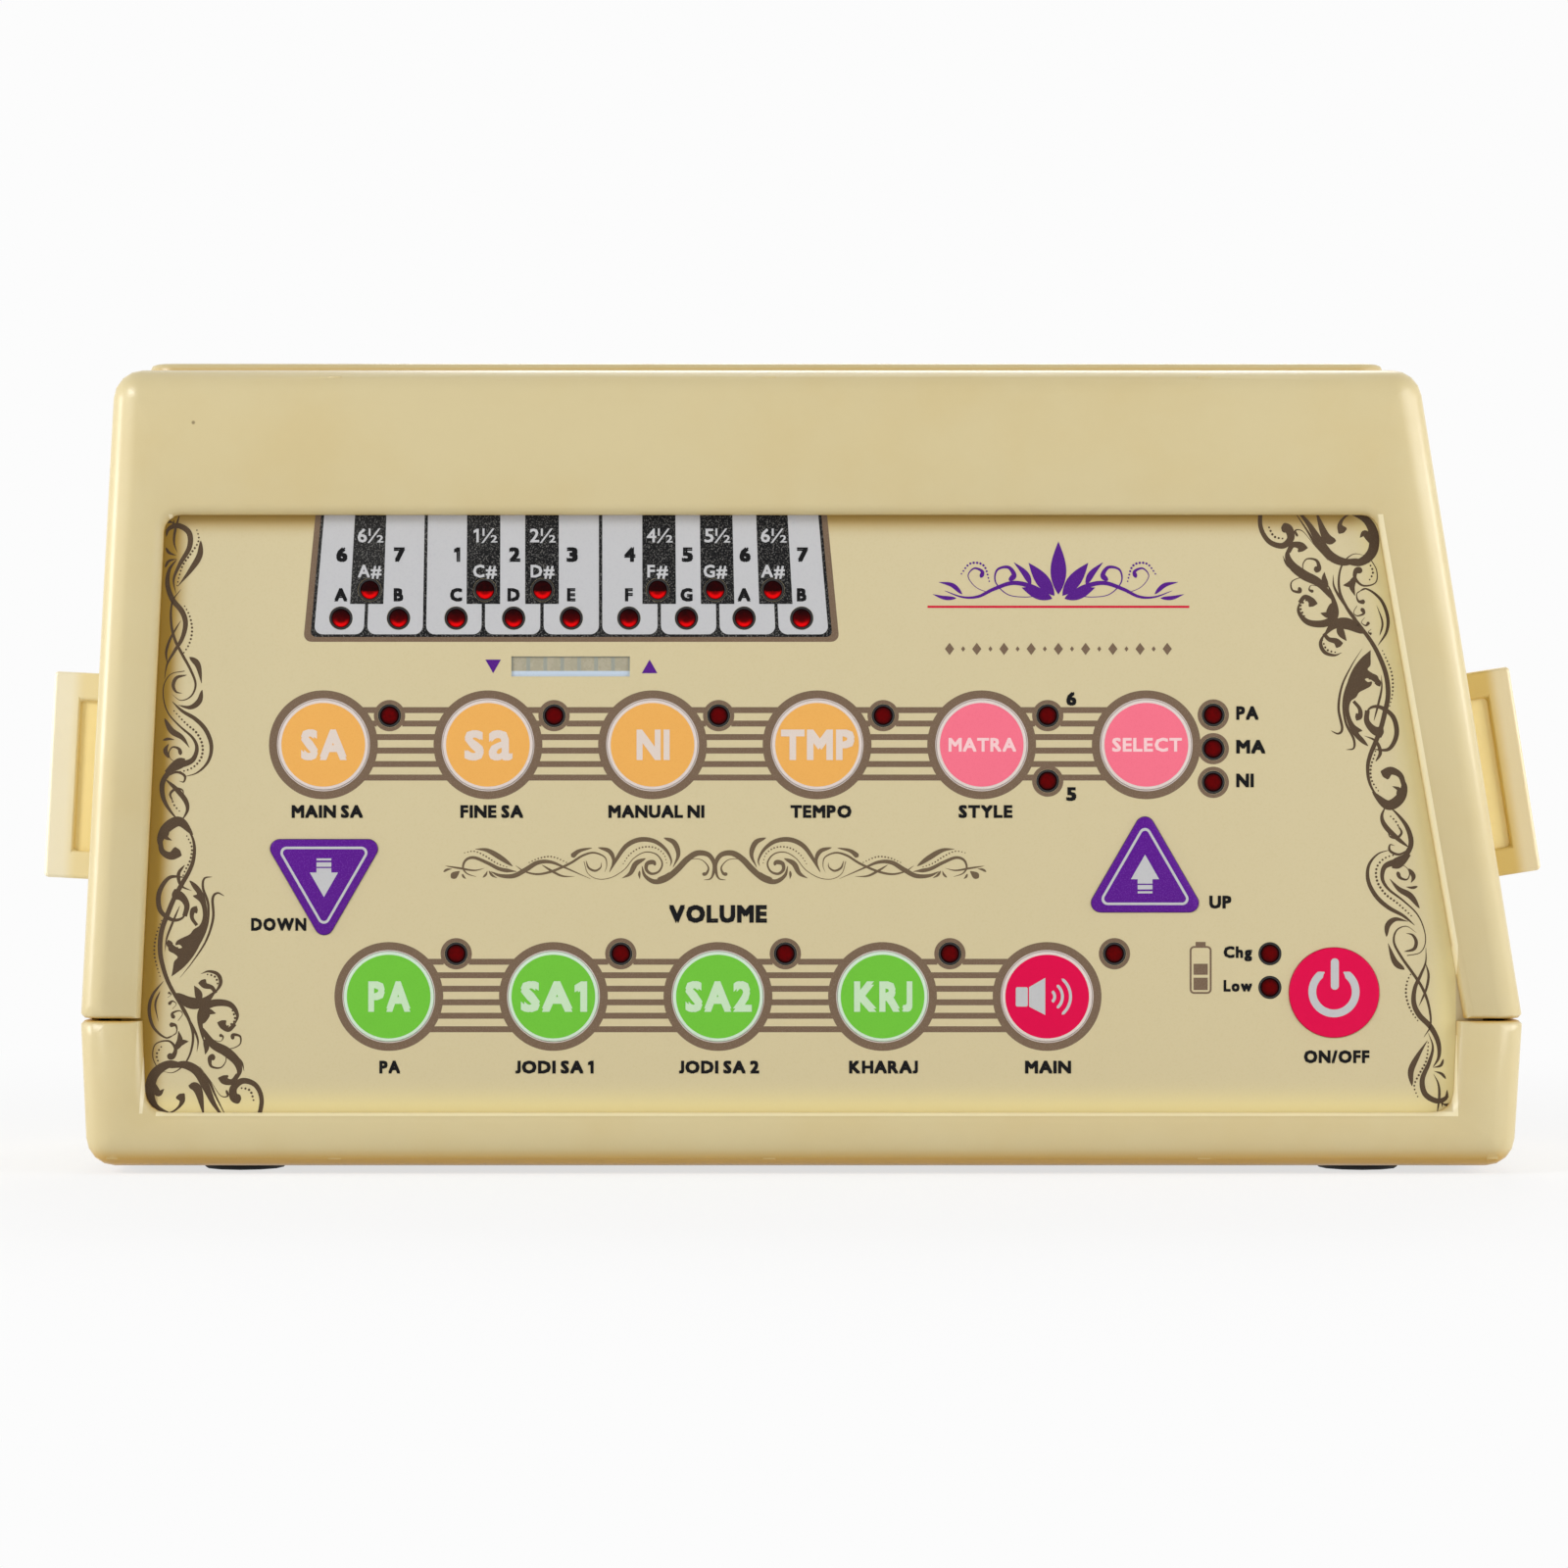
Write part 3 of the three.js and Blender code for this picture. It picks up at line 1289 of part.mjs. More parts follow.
const cellRows = mirrorShares.map((side) => CELL.centreY + side * CELL.pitch / 2);
const cellLevel = level.floor + FIT.bond + CELL.holderBase + FIT.gap + CELL.diameter / 2;

function cellHolder() {
  const reach = CELL.pitch / 2 + CELL.diameter / 2 + FIT.gap + CELL.holderWall;
  const low = level.floor + FIT.bond;
  const high = cellLevel - CELL.diameter / 2 + CELL.diameter * CELL.holderDepthShare;
  const tray = block(holder.left, holder.right, CELL.centreY - reach, CELL.centreY + reach, low, high);
  const troughs = cellRows.map((y) => {
    const geometry = new THREE.CylinderGeometry(
      CELL.diameter / 2 + FIT.gap, CELL.diameter / 2 + FIT.gap,
      CELL.length + 2 * CELL.endRoom, COUNT.roundSides,
    );
    return solidOf(geometry.rotateZ(Math.PI / 2).translate(holder.middle, y, cellLevel));
  });
  const mouth = block(
    holder.left + CELL.holderWall, holder.right - CELL.holderWall,
    CELL.centreY - reach + CELL.holderWall, CELL.centreY + reach - CELL.holderWall,
    cellLevel, high + FIT.overrun,
  );
  return cutBy(tray, [...troughs, mouth]);
}

function cell() {
  const [radius, tip] = [CELL.diameter / 2, CELL.capDiameter / 2];
  return outwards(turned([
    [0, -CELL.length / 2], [radius, -CELL.length / 2], [radius, CELL.length / 2], [tip, CELL.length / 2],
    [tip, CELL.length / 2 + CELL.capHeight], [0, CELL.length / 2 + CELL.capHeight],
  ], COUNT.roundSides));
}

// Leads: a tube along a curve, and the flat cable with its bend

function tube(points) {
  const path = new THREE.CatmullRomCurve3(points.map((point) => new THREE.Vector3(...point)));
  const section = new THREE.Shape();
  section.absarc(0, 0, LEAD.diameter / 2, 0, Math.PI * 2);
  return solidOf(new THREE.ExtrudeGeometry(section, {
    steps: COUNT.leadSteps, curveSegments: COUNT.leadArcs, extrudePath: path,
  }));
}

// From the terminals behind the loudspeaker down to the main board
function speakerLead() {
  const y = SPEAKER.backDiameter / 2 + SPEAKER.terminal / 2;
  const landing = mainPlan.rear - LEAD.speakerInset;
  const landingX = mainPlan.left + LEAD.speakerReach;
  const high = level.flangeTop - SPEAKER.basketDepth - FIT.gap;
  const low = level.mainBoardTop + FIT.gap;
  return tube([
    [SPEAKER.centreX, y, high],
    [SPEAKER.centreX, y, high - LEAD.speakerSag],
    [landingX, landing + LEAD.speakerSag, (high + low) / 2],
    [landingX, landing, low + LEAD.speakerSag],
    [landingX, landing, low],
  ]);
}

// From the end of the cell holder over the edge of the main board
function cellLead() {
  const from = holder.right + FIT.gap;
  const high = level.mainBoardTop + LEAD.cellRise;
  return tube([
    [from, CELL.centreY, high],
    [from + LEAD.diameter, CELL.centreY, high],
    [mainPlan.left + LEAD.cellReach, CELL.centreY, high],
    [mainPlan.left + LEAD.cellReach, CELL.centreY, level.mainBoardTop + FIT.gap],
  ]);
}

function ribbon() {
  const near = face.boardBack + BOARD.connectorDepth / 2;
  const far = mainPlan.front + LEAD.ribbonPlug - FIT.gap;
  const high = panelZ(BOARD.base) + BOARD.connectorRise - FIT.gap;
  const low = level.mainBoardTop + BOARD.connectorDepth / 2;
  const thick = LEAD.ribbonThickness;
  const outline = filletedShape([
    [near, low, LEAD.ribbonBend + thick], [far, low, 0], [far, low + thick, 0],
    [near + thick, low + thick, LEAD.ribbonBend], [near + thick, high, 0], [near, high, 0],
  ]);
  const geometry = new THREE.ExtrudeGeometry(outline, {
    depth: LEAD.ribbonWidth, curveSegments: COUNT.arcSegments, bevelEnabled: false,
  });
  const axes = [new THREE.Vector3(0, 1, 0), new THREE.Vector3(0, 0, 1), new THREE.Vector3(1, 0, 0)];
  geometry.applyMatrix4(new THREE.Matrix4().makeBasis(...axes));
  return solidOf(geometry.translate(ribbonX - LEAD.ribbonWidth / 2, 0, 0));
}

// The object

place('upper_shell', upperShell(), FINISH.case);
place('lower_shell', lowerShell(), FINISH.case);
place('front_panel', frontPanel(), FINISH.plate);
place('panel_overlay', overlay(), FINISH.printed);
place('rear_panel', rearPanel(), FINISH.plate);

roundKeys.forEach(({ name, spot: [x, z], material }) => {
  place(name, roundKey(), material).position.set(x, face.overlay, z);
});
place('key_down', triangleKey(false), FINISH.purple)
  .position.set(PANEL.downX, face.overlay, panelZ(PANEL.downZ));
place('key_up', triangleKey(true), FINISH.purple)
  .position.set(PANEL.upX, face.overlay, panelZ(PANEL.upZ));

place('keypad_board', keypadBoard(), FINISH.board);
place('bar_display', barDisplay(), FINISH.bar);
place('keypad_ribbon', ribbon(), FINISH.ribbon);
boardFixings.forEach(([x, z], index) => {
  const screw = forwards(screwShape(SCREW.smallDiameter, SCREW.smallLength));
  place(`board_screw_${index + 1}`, screw, FINISH.steel).position.set(x, face.boardBack + FIT.bond, z);
});

mirrorShares.forEach((side) => {
  const wall = wallFrame(side);
  root.add(wall);
  const name = isLeft(side) ? 'left' : 'right';
  place(`${name}_strap_lug`, strapLug(), FINISH.case, wall);
  mirrorShares.forEach((end) => {
    const screw = outwards(screwShape(SCREW.smallDiameter, SCREW.smallLength));
    place(`${name}_lug_screw_${end < 0 ? 'lower' : 'upper'}`, screw, FINISH.steel, wall)
      .position.set(-CASE.wall - FIT.bond, 0, end * lugScrewOffset);
  });
});

const corners = ['front_left', 'rear_left', 'front_right', 'rear_right'];
columnPlaces.forEach(([x, y], index) => {
  const screw = upwards(screwShape(SCREW.caseDiameter, SCREW.caseLength));
  place(`case_screw_${corners[index]}`, screw, FINISH.steel)
    .position.set(x, y, level.base + COLUMN.headRecessDepth - FIT.bond);
});
footPlaces.forEach(([x, y], index) => {
  place(`foot_${corners[index]}`, foot(), FINISH.rubber).position.set(x, y, 0);
});

const speaker = new THREE.Group();
speaker.position.set(SPEAKER.centreX, 0, level.flangeTop);
root.add(speaker);
place('speaker_gasket', speakerGasket(), FINISH.rubber, speaker);
place('speaker_frame', speakerFrame(), FINISH.blackPlastic, speaker);
place('speaker_cone', speakerCone(), FINISH.paper, speaker);
place('speaker_magnet', speakerMagnet(), FINISH.magnet, speaker);
speakerBossPlaces.forEach(([x, y], index) => {
  const screw = upwards(screwShape(SCREW.smallDiameter, SPEAKER.screwLength, SCREW.washerDiameter));
  place(`speaker_screw_${index + 1}`, screw, FINISH.steel).position.set(x, y, level.flangeBase - FIT.bond);
});

place('main_board', mainBoard(), FINISH.board);
place('heat_sink', heatSink(), FINISH.aluminium);
place('power_jack', powerJack(), FINISH.blackPlastic);
place('line_jack', lineJack(), FINISH.blackPlastic);
mainFixings.forEach(([x, y], index) => {
  const screw = downwards(screwShape(SCREW.smallDiameter, SCREW.smallLength));
  place(`main_board_screw_${index + 1}`, screw, FINISH.steel)
    .position.set(x, y, level.mainBoardTop + FIT.bond);
});

place('speaker_lead', speakerLead(), FINISH.lead);
place('cell_holder', cellHolder(), FINISH.blackPlastic);
place('cell_lead', cellLead(), FINISH.lead);
cellRows.forEach((y, index) => {
  place(`cell_${index + 1}`, cell(), FINISH.cell).position.set(holder.middle, y, cellLevel);
});

// The part's own frame starts at the middle of what it stands on
const box = new THREE.Box3().setFromObject(root);
root.position.set(-(box.min.x + box.max.x) / 2, -(box.min.y + box.max.y) / 2, -box.min.z);

export default root;
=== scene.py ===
"""Electronic tanpura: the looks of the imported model, built around its fixed frame.

The keypad faces -Y. Sizes are written in millimetres and become metres when a mesh is made.
"""

import logging
import math
from collections.abc import Sequence
from dataclasses import dataclass, field
from enum import Enum

import bmesh
import bpy
import numpy as np
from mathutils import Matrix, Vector
from mathutils.geometry import tessellate_polygon


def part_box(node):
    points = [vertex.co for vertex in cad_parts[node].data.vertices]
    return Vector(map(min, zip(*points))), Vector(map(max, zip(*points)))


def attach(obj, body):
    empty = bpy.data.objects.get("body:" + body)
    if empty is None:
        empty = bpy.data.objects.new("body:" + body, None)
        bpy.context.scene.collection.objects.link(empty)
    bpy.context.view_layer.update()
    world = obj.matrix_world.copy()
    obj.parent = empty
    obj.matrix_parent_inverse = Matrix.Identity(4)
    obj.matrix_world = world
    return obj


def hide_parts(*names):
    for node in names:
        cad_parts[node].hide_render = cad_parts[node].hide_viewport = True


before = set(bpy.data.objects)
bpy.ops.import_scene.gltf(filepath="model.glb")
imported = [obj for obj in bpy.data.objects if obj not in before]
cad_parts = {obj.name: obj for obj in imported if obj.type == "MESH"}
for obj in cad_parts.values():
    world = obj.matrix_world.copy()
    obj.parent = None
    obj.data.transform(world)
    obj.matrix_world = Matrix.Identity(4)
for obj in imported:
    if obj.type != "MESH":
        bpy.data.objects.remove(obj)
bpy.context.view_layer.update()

LOG = logging.getLogger("tanpura")
MM = 0.001
TURN = 2 * math.pi

Colour = tuple[float, float, float, float]
Value = "Socket | float | tuple[float, ...]"


def paint(red: int, green: int, blue: int) -> Colour:
    """Turns a colour as it is seen, in steps of 0 to 255, into the linear one that a shader takes.

    Args:
        red: Red as seen.
        green: Green as seen.
        blue: Blue as seen.

    Returns:
        The linear colour with an alpha of 1.
    """
    shares = [step / 255 for step in (red, green, blue)]
    linear = [s / 12.92 if s <= 0.04045 else ((s + 0.055) / 1.055) ** 2.4 for s in shares]
    return (*linear, 1.0)


class Socket:
    """One output of a material's nodes. An expression on number sockets adds Math nodes."""

    def __init__(self, tree: "Tree", output: bpy.types.NodeSocket) -> None:
        """Keeps the tree and the output that it stands for."""
        self.tree = tree
        self.output = output

    def _math(self, operation: str, first: Value, second: Value) -> "Socket":
        """Adds one Math node for two values."""
        return self.tree.node("ShaderNodeMath", {"operation": operation}, {0: first, 1: second})

    def __add__(self, other: Value) -> "Socket":
        """Gives self + other."""
        return self._math("ADD", self, other)

    def __radd__(self, other: Value) -> "Socket":
        """Gives other + self."""
        return self._math("ADD", other, self)

    def __sub__(self, other: Value) -> "Socket":
        """Gives self - other."""
        return self._math("SUBTRACT", self, other)

    def __rsub__(self, other: Value) -> "Socket":
        """Gives other - self."""
        return self._math("SUBTRACT", other, self)

    def __mul__(self, other: Value) -> "Socket":
        """Gives self * other."""
        return self._math("MULTIPLY", self, other)

    def __rmul__(self, other: Value) -> "Socket":
        """Gives other * self."""
        return self._math("MULTIPLY", other, self)

    def __gt__(self, other: Value) -> "Socket":
        """Gives 1 where self is above other, and 0 elsewhere."""
        return self._math("GREATER_THAN", self, other)

    def least(self, other: Value) -> "Socket":
        """Gives the lower of two values."""
        return self._math("MINIMUM", self, other)

    def most(self, other: Value) -> "Socket":
        """Gives the higher of two values."""
        return self._math("MAXIMUM", self, other)

    def between(self, low: float, high: float) -> "Socket":
        """Rises smoothly from 0 at low to 1 at high.

        Args:
            low: Value that gives 0.
            high: Value that gives 1; it may lie below low.

        Returns:
            The eased share.
        """
        settings = {"interpolation_type": "SMOOTHSTEP"}
        inputs = {"Value": self, "From Min": low, "From Max": high}
        return self.tree.node("ShaderNodeMapRange", settings, inputs)


class Tree:
    """The node tree of one material, or of the world."""

    def __init__(self, owner: bpy.types.Material | bpy.types.World) -> None:
        """Empties the tree of a material or a world.

        Args:
            owner: What the tree belongs to.
        """
        owner.use_nodes = True
        self.nodes, self.links = owner.node_tree.nodes, owner.node_tree.links
        self.nodes.clear()

    def node(
        self, kind: str, settings: dict | None = None, inputs: dict | None = None, output: int | str = 0
    ) -> Socket:
        """Makes any node.

        Args:
            kind: Its type.
            settings: Its properties, set first.
            inputs: Values or sockets by input name or number.
            output: Name or number of the output that is wanted.

        Returns:
            That output.
        """
        made = self.nodes.new(kind)
        for name, value in (settings or {}).items():
            setattr(made, name, value)
        for name, value in (inputs or {}).items():
            if isinstance(value, Socket):
                self.links.new(value.output, made.inputs[name])
            else:
                made.inputs[name].default_value = value
        return Socket(self, made.outputs[output]) if made.outputs else Socket(self, None)

    def place(self, stretch: tuple[float, float, float] = (1.0, 1.0, 1.0)) -> Socket:
        """Gives object coordinates in millimetres.

        Args:
            stretch: Factors along X, Y and Z.

        Returns:
            The place as a vector.
        """
        spot = self.node("ShaderNodeTexCoord", None, None, "Object")
        scale = tuple(factor / MM for factor in stretch)
        return self.node("ShaderNodeMapping", None, {"Vector": spot, "Scale": scale})

    def front(self) -> tuple[Socket, Socket]:
        """Gives x and z of a point in millimetres, as the panel is seen from the front."""
        spot = self.node("ShaderNodeTexCoord", None, None, "Object")
        return self.axis(spot, "X") * (1 / MM), self.axis(spot, "Z") * (1 / MM)

    def noise(self, spot: Socket, size: float, detail: float = 2.0, roughness: float = 0.5) -> Socket:
        """Gives soft noise around 0.5 with features of one size in millimetres."""
        inputs = {"Vector": spot, "Scale": 1 / size, "Detail": detail, "Roughness": roughness}
        return self.node("ShaderNodeTexNoise", {"normalize": True}, inputs)

    def cells(self, spot: Socket, size: float) -> Socket:
        """Gives the distance to the nearest of scattered points that lie one size apart."""
        return self.node("ShaderNodeTexVoronoi", None, {"Vector": spot, "Scale": 1 / size}, "Distance")

    def mix(self, share: Value, first: Value, second: Value) -> Socket:
        """Mixes two colours by a share."""
        return self.node("ShaderNodeMix", {"data_type": "RGBA"}, {0: share, 6: first, 7: second}, 2)

    def nook(self, reach: float) -> Socket:
        """Gives 0 on open surfaces, and rises in corners that lie within a reach in millimetres: the mask of
        painted shade.
        """
        settings = {"samples": 8, "only_local": False}
        open_share = self.node("ShaderNodeAmbientOcclusion", settings, {"Distance": reach * MM}, "AO")
        return open_share.between(0.97, 0.35)

    def axis(self, spot: Socket, name: str) -> Socket:
        """Gives one coordinate of a vector."""
        return self.node("ShaderNodeSeparateXYZ", None, {0: spot}, name)

    def bump(self, height: Socket, depth: float, under: Socket | None = None) -> Socket:
        """Turns a height of 0 to 1 into a normal, over another one if given; the depth is in millimetres."""
        inputs = {"Height": height, "Distance": depth * MM, "Strength": 1.0}
        if under:
            inputs["Normal"] = under
        return self.node("ShaderNodeBump", None, inputs, "Normal")

    def surface(self, inputs: dict) -> None:
        """Makes the Principled surface from values or sockets by name, and joins it to the output."""
        self.finish(self.node("ShaderNodeBsdfPrincipled", None, inputs, "BSDF"))

    def finish(self, shader: Socket) -> None:
        """Joins a shader to the material's output."""
        self.node("ShaderNodeOutputMaterial", None, {"Surface": shader})


class Window:
    """Where the lips of the case stand, seen from the front and in millimetres, and the light and shade
    painted near them.

    The left lip stands at x = left_foot + left_lean z. The right one stands at x = right_foot - right_lean z,
    or at right_low below the seam.
    """

    low = 9.5
    top = 101.7
    left_foot = -100.67
    left_lean = 0.049
    right_foot = 107.88
    right_lean = 0.1745
    right_low = 101.7
    glow_end = -98.2  # the painted light near the lower lip starts to the right of this
    hairline = 0.25  # half the width of the painted highlight line on the left lip
    hairline_shift = 0.23  # and how far outside the lip's edge it runs
    # painted light: a pale lit tone near the right and lower lips, and a highlight line along the left lip
    painted_halo = paint(250, 240, 202)
    glint = paint(248, 240, 212)

    @classmethod
    def near_lips(cls, tree: Tree, inner: float, outer: float) -> Socket:
        """Gives how near a point is to the right or the lower lip, on the window's side of it, as the mask of
        painted light.

        Args:
            tree: The node tree.
            inner: The distance at which the share is still whole.
            outer: The distance at which it has fallen to nothing.

        Returns:
            The share, which falls with the square of the distance.
        """
        across, height = tree.front()
        side = (cls.right_foot - height * cls.right_lean).least(cls.right_low) - across
        nearest = side.between(outer, inner).most((height - cls.low).between(outer, inner))
        inside = (side > -0.5) * (height > cls.low - 0.4) * (across > cls.glow_end) * (cls.top - height > 0.0)
        return nearest * nearest * inside

    @classmethod
    def on_left_lip(cls, tree: Tree) -> Socket:
        """Marks a hairline along the left lip, where a highlight is painted.

        Args:
            tree: The node tree.

        Returns:
            1 on the line, and 0 elsewhere.
        """
        across, height = tree.front()
        past = across - height * cls.left_lean - (cls.left_foot - cls.hairline_shift)
        on_line = (past > -cls.hairline) * (cls.hairline - past > 0.0)
        return on_line * (height > cls.low) * (cls.top - height > 0.0)

    @classmethod
    def in_shade(cls, tree: Tree) -> Socket:
        """Gives the painted shadow along the left and the top of the window.

        Args:
            tree: The node tree.

        Returns:
            Its share, which falls with the square of the distance, to nothing at about four millimetres.
        """
        across, height = tree.front()
        left = (across - height * cls.left_lean - cls.left_foot).between(4.2, 0.2)
        top = (cls.top - height).between(4.6, 0.2)
        return (left * left * 0.9).most(top * top * 0.8)


@dataclass(frozen=True)
class Finish:
    """What a surface is made of. The material is made once, at its first use."""

    name: str
    slot: str

    def material(self) -> bpy.types.Material:
        """Gives the material, built at the first call."""
        known = bpy.data.materials.get(self.name)
        if known:
            return known
        made = bpy.data.materials.new(self.name)
        self.build(Tree(made))
        return made

    def build(self, tree: Tree) -> None:
        """Fills the node tree; each finish has its own."""
        raise NotImplementedError


@dataclass(frozen=True)
class MouldedPlastic(Finish):
    """Moulded plastic: clouded colour, a fine skin from the tool and a few dark specks.

    A case colour has a corner tone, painted shade in its nooks, which comes with painted highlights on its
    lips. A band
    is painted shade: a start, a slope and a width; from the line x = start + slope z, the shaded tone turns
    to the colour within the width.
    """

    colour: Colour
    shade: Colour
    roughness: float = 0.4
    cloud: float = 26.0
    cloud_share: float = 0.5
    grain: float = 0.32
    grain_depth: float = 0.012
    wave: float = 9.0
    wave_depth: float = 0.05
    speck: float = 0.0
    speck_pitch: float = 11.0
    speck_tone: Colour = paint(96, 74, 44)
    # painted shade in nooks; it also turns on the painted light on the lips
    corner: Colour | None = None
    corner_reach: float = 5.0
    # the band and its tone are painted shade
    band: tuple[float, float, float] | None = None
    tint: Colour = paint(214, 188, 112)

    def build(self, tree: Tree) -> None:
        """Mixes two tones by soft clouds, adds specks, and puts the tool's skin in the bump.

        Args:
            tree: The node tree to fill.
        """
        spot = tree.place()
        clouds = tree.noise(spot, self.cloud, 4.0, 0.6).between(0.35, 0.72)
        grain = tree.noise(spot, self.grain, 2.0)
        waves = tree.noise(spot, self.wave, 1.0)
        colour = tree.mix(clouds * self.cloud_share, self.colour, self.shade)
        if self.speck:
            dots = tree.cells(spot, self.speck_pitch).between(self.speck, self.speck / 2)
            chosen = tree.noise(spot, 17.0, 0.0).between(0.56, 0.6)
            colour = tree.mix(dots * chosen * 0.7, colour, self.speck_tone)
        # painted shade in nooks, a painted pale light near the right and lower lips, and a painted highlight
        # line on the left lip
        if self.corner:
            colour = tree.mix(tree.nook(self.corner_reach), colour, self.corner)
            colour = tree.mix(Window.near_lips(tree, 0.1, 0.5) * 0.55, colour, Window.painted_halo)
            colour = tree.mix(Window.on_left_lip(tree) * 0.45, colour, Window.glint)
        # painted shade: a band along a lug's inner edge
        if self.band:
            start, slope, width = self.band
            across, height = tree.front()
            along = across - height * slope - start
            colour = tree.mix(along.between(0.0, width), self.tint, colour)
        tree.surface({
            "Base Color": colour,
            "Roughness": self.roughness + (clouds - 0.5) * 0.07 + (grain - 0.5) * 0.1,
            "Normal": tree.bump(grain, self.grain_depth, tree.bump(waves, self.wave_depth)),
            "IOR": 1.5,
        })


@dataclass(frozen=True)
class PrintedFilm(Finish):
    """Ink or film on the panel: an even colour with the fine stipple of screen printing.

    The film itself has a corner tone, painted shadow along the left and top lips and in nooks, and takes a
    painted pale light near the right and lower lips.
    """

    colour: Colour
    stipple: Colour
    stipple_share: float = 0.3
    stipple_size: float = 0.16
    roughness: float = 0.5
    cloud: float = 38.0
    peel: float = 0.45
    # painted shadow along the left and top lips and in nooks
    corner: Colour | None = None
    # painted light near the lit lips
    glow: Colour = paint(230, 215, 154)

    def build(self, tree: Tree) -> None:
        """Mixes the two tones by a fine stipple and a faint slow cloud.

        Args:
            tree: The node tree to fill.
        """
        spot = tree.place()
        dots = tree.noise(spot, self.stipple_size, 1.0).between(0.52, 0.68)
        clouds = tree.noise(spot, self.cloud, 3.0)
        peel = tree.noise(spot, self.peel, 2.0)
        share = dots * self.stipple_share + (clouds - 0.5).most(0.0) * 0.3
        colour = tree.mix(share.least(1.0), self.colour, self.stipple)
        # painted shadow along the lips and in nooks, then painted pale light near the right and lower lips
        if self.corner:
            colour = tree.mix(Window.in_shade(tree).most(tree.nook(4.0) * 0.25), colour, self.corner)
            colour = tree.mix(Window.near_lips(tree, 0.4, 6.5) * 0.75, colour, self.glow)
        tree.surface({
            "Base Color": colour,
            "Roughness": self.roughness + (peel - 0.5) * 0.12,
            "Specular IOR Level": 0.14,
            "Normal": tree.bump(peel, 0.006),
        })


@dataclass(frozen=True)
class BrushedMetal(Finish):
    """Plated or extruded metal with fine lines along X and dull patches."""

    colour: Colour
    dull: Colour
    roughness: float = 0.32
    line: float = 0.25
    patch: float = 4.0

    def build(self, tree: Tree) -> None:
        """Draws lines by noise stretched along X, and dulls patches of the plating.

        Args:
            tree: The node tree to fill.
        """
        lines = tree.noise(tree.place((0.06, 1.0, 1.0)), self.line, 3.0)
        patches = tree.noise(tree.place(), self.patch, 3.0).between(0.5, 0.75)
        tree.surface({
            "Base Color": tree.mix(patches, self.colour, self.dull),
            "Metallic": 1.0,
            "Roughness": self.roughness + patches * 0.18 + (lines - 0.5) * 0.15,
            "Normal": tree.bump(lines, 0.01),
        })


@dataclass(frozen=True)
class CircuitBoard(Finish):
    """Solder resist over copper tracks, with the pads left bright."""

    resist: Colour = paint(26, 84, 54)
    track: Colour = paint(44, 116, 74)
    pad: Colour = paint(196, 190, 170)
    pad_pitch: float = 2.6

    def build(self, tree: Tree) -> None:
        """Lays blocky tracks by stepped cells, and tinned pads by scattered dots.

        Args:
            tree: The node tree to fill.
        """
        spot = tree.place()
        blocky = {"distance": "CHEBYCHEV", "feature": "F2"}
        steps = tree.node("ShaderNodeTexVoronoi", blocky, {"Vector": spot, "Scale": 0.24}, "Distance")
        tracks = (steps * 6.0).between(3.4, 3.6)
        pads = tree.cells(spot, self.pad_pitch).between(0.22, 0.18)
        weave = tree.noise(spot, 0.3, 2.0)
        colour = tree.mix(tracks, self.resist, self.track)
        tree.surface({
            "Base Color": tree.mix(pads, colour, self.pad),
            "Metallic": pads * 0.9,
            "Roughness": 0.34 + (weave - 0.5) * 0.2,
            "Normal": tree.bump(tracks + pads * 0.5, 0.03),
        })


@dataclass(frozen=True)
class PressedPaper(Finish):
    """Cone paper: short fibres in two greys, matt."""

    colour: Colour
    fibre: Colour

    def build(self, tree: Tree) -> None:
        """Draws fibres by noise warped by a slower noise.

        Args:
            tree: The node tree to fill.
        """
        spot = tree.place()
        fibres = tree.node(
            "ShaderNodeTexNoise", None, {"Vector": spot, "Scale": 2.2, "Detail": 4.0, "Distortion": 2.5},
        )
        tree.surface({
            "Base Color": tree.mix(fibres.between(0.45, 0.7), self.colour, self.fibre),
            "Roughness": 0.88 + (fibres - 0.5) * 0.15,
            "Normal": tree.bump(fibres, 0.06),
        })


@dataclass(frozen=True)
class LampLens(Finish):
    """Unlit red lens: nearly black at its rim, with a painted highlight that the mesh carries where light
    would gather, and a faint emission, so that it glows though it is no lamp.
    """

    deep: Colour = paint(16, 0, 1)
    glow: Colour = paint(216, 4, 8)

    def build(self, tree: Tree) -> None:
        """Mixes the two reds by the painted highlight that the mesh carries at each point, and lets the red
        glow faintly.

        Args:
            tree: The node tree to fill.
        """
        glint = tree.node("ShaderNodeAttribute", {"attribute_name": "glint"}, None, "Fac")
        swirl = tree.noise(tree.place(), 0.5, 2.0)
        share = (glint + (swirl - 0.5) * 0.12).between(0.0, 1.0)
        tree.surface({
            "Base Color": tree.mix(share, self.deep, self.glow),
            "Roughness": 0.5 + (swirl - 0.5) * 0.1,
            "Specular IOR Level": 0.04,
            # painted light: a faint emission of the bright red, though the lens is unlit
            "Emission Color": tree.mix(share, paint(0, 0, 0), self.glow),
            "Emission Strength": 0.15,
        })


@dataclass(frozen=True)
class ShrinkSleeve(Finish):
    """Shrink sleeve or soft jacket: glossy, slightly wrinkled along X."""

    colour: Colour
    fold: Colour

    def build(self, tree: Tree) -> None:
        """Wrinkles the sleeve by noise stretched round it.

        Args:
            tree: The node tree to fill.
        """
        wrinkles = tree.noise(tree.place((1.0, 0.3, 0.3)), 1.6, 3.0)
        tree.surface({
            "Base Color": tree.mix(wrinkles.between(0.5, 0.8), self.colour, self.fold),
            "Roughness": 0.26 + (wrinkles - 0.5) * 0.2,
            "Normal": tree.bump(wrinkles, 0.05),
        })


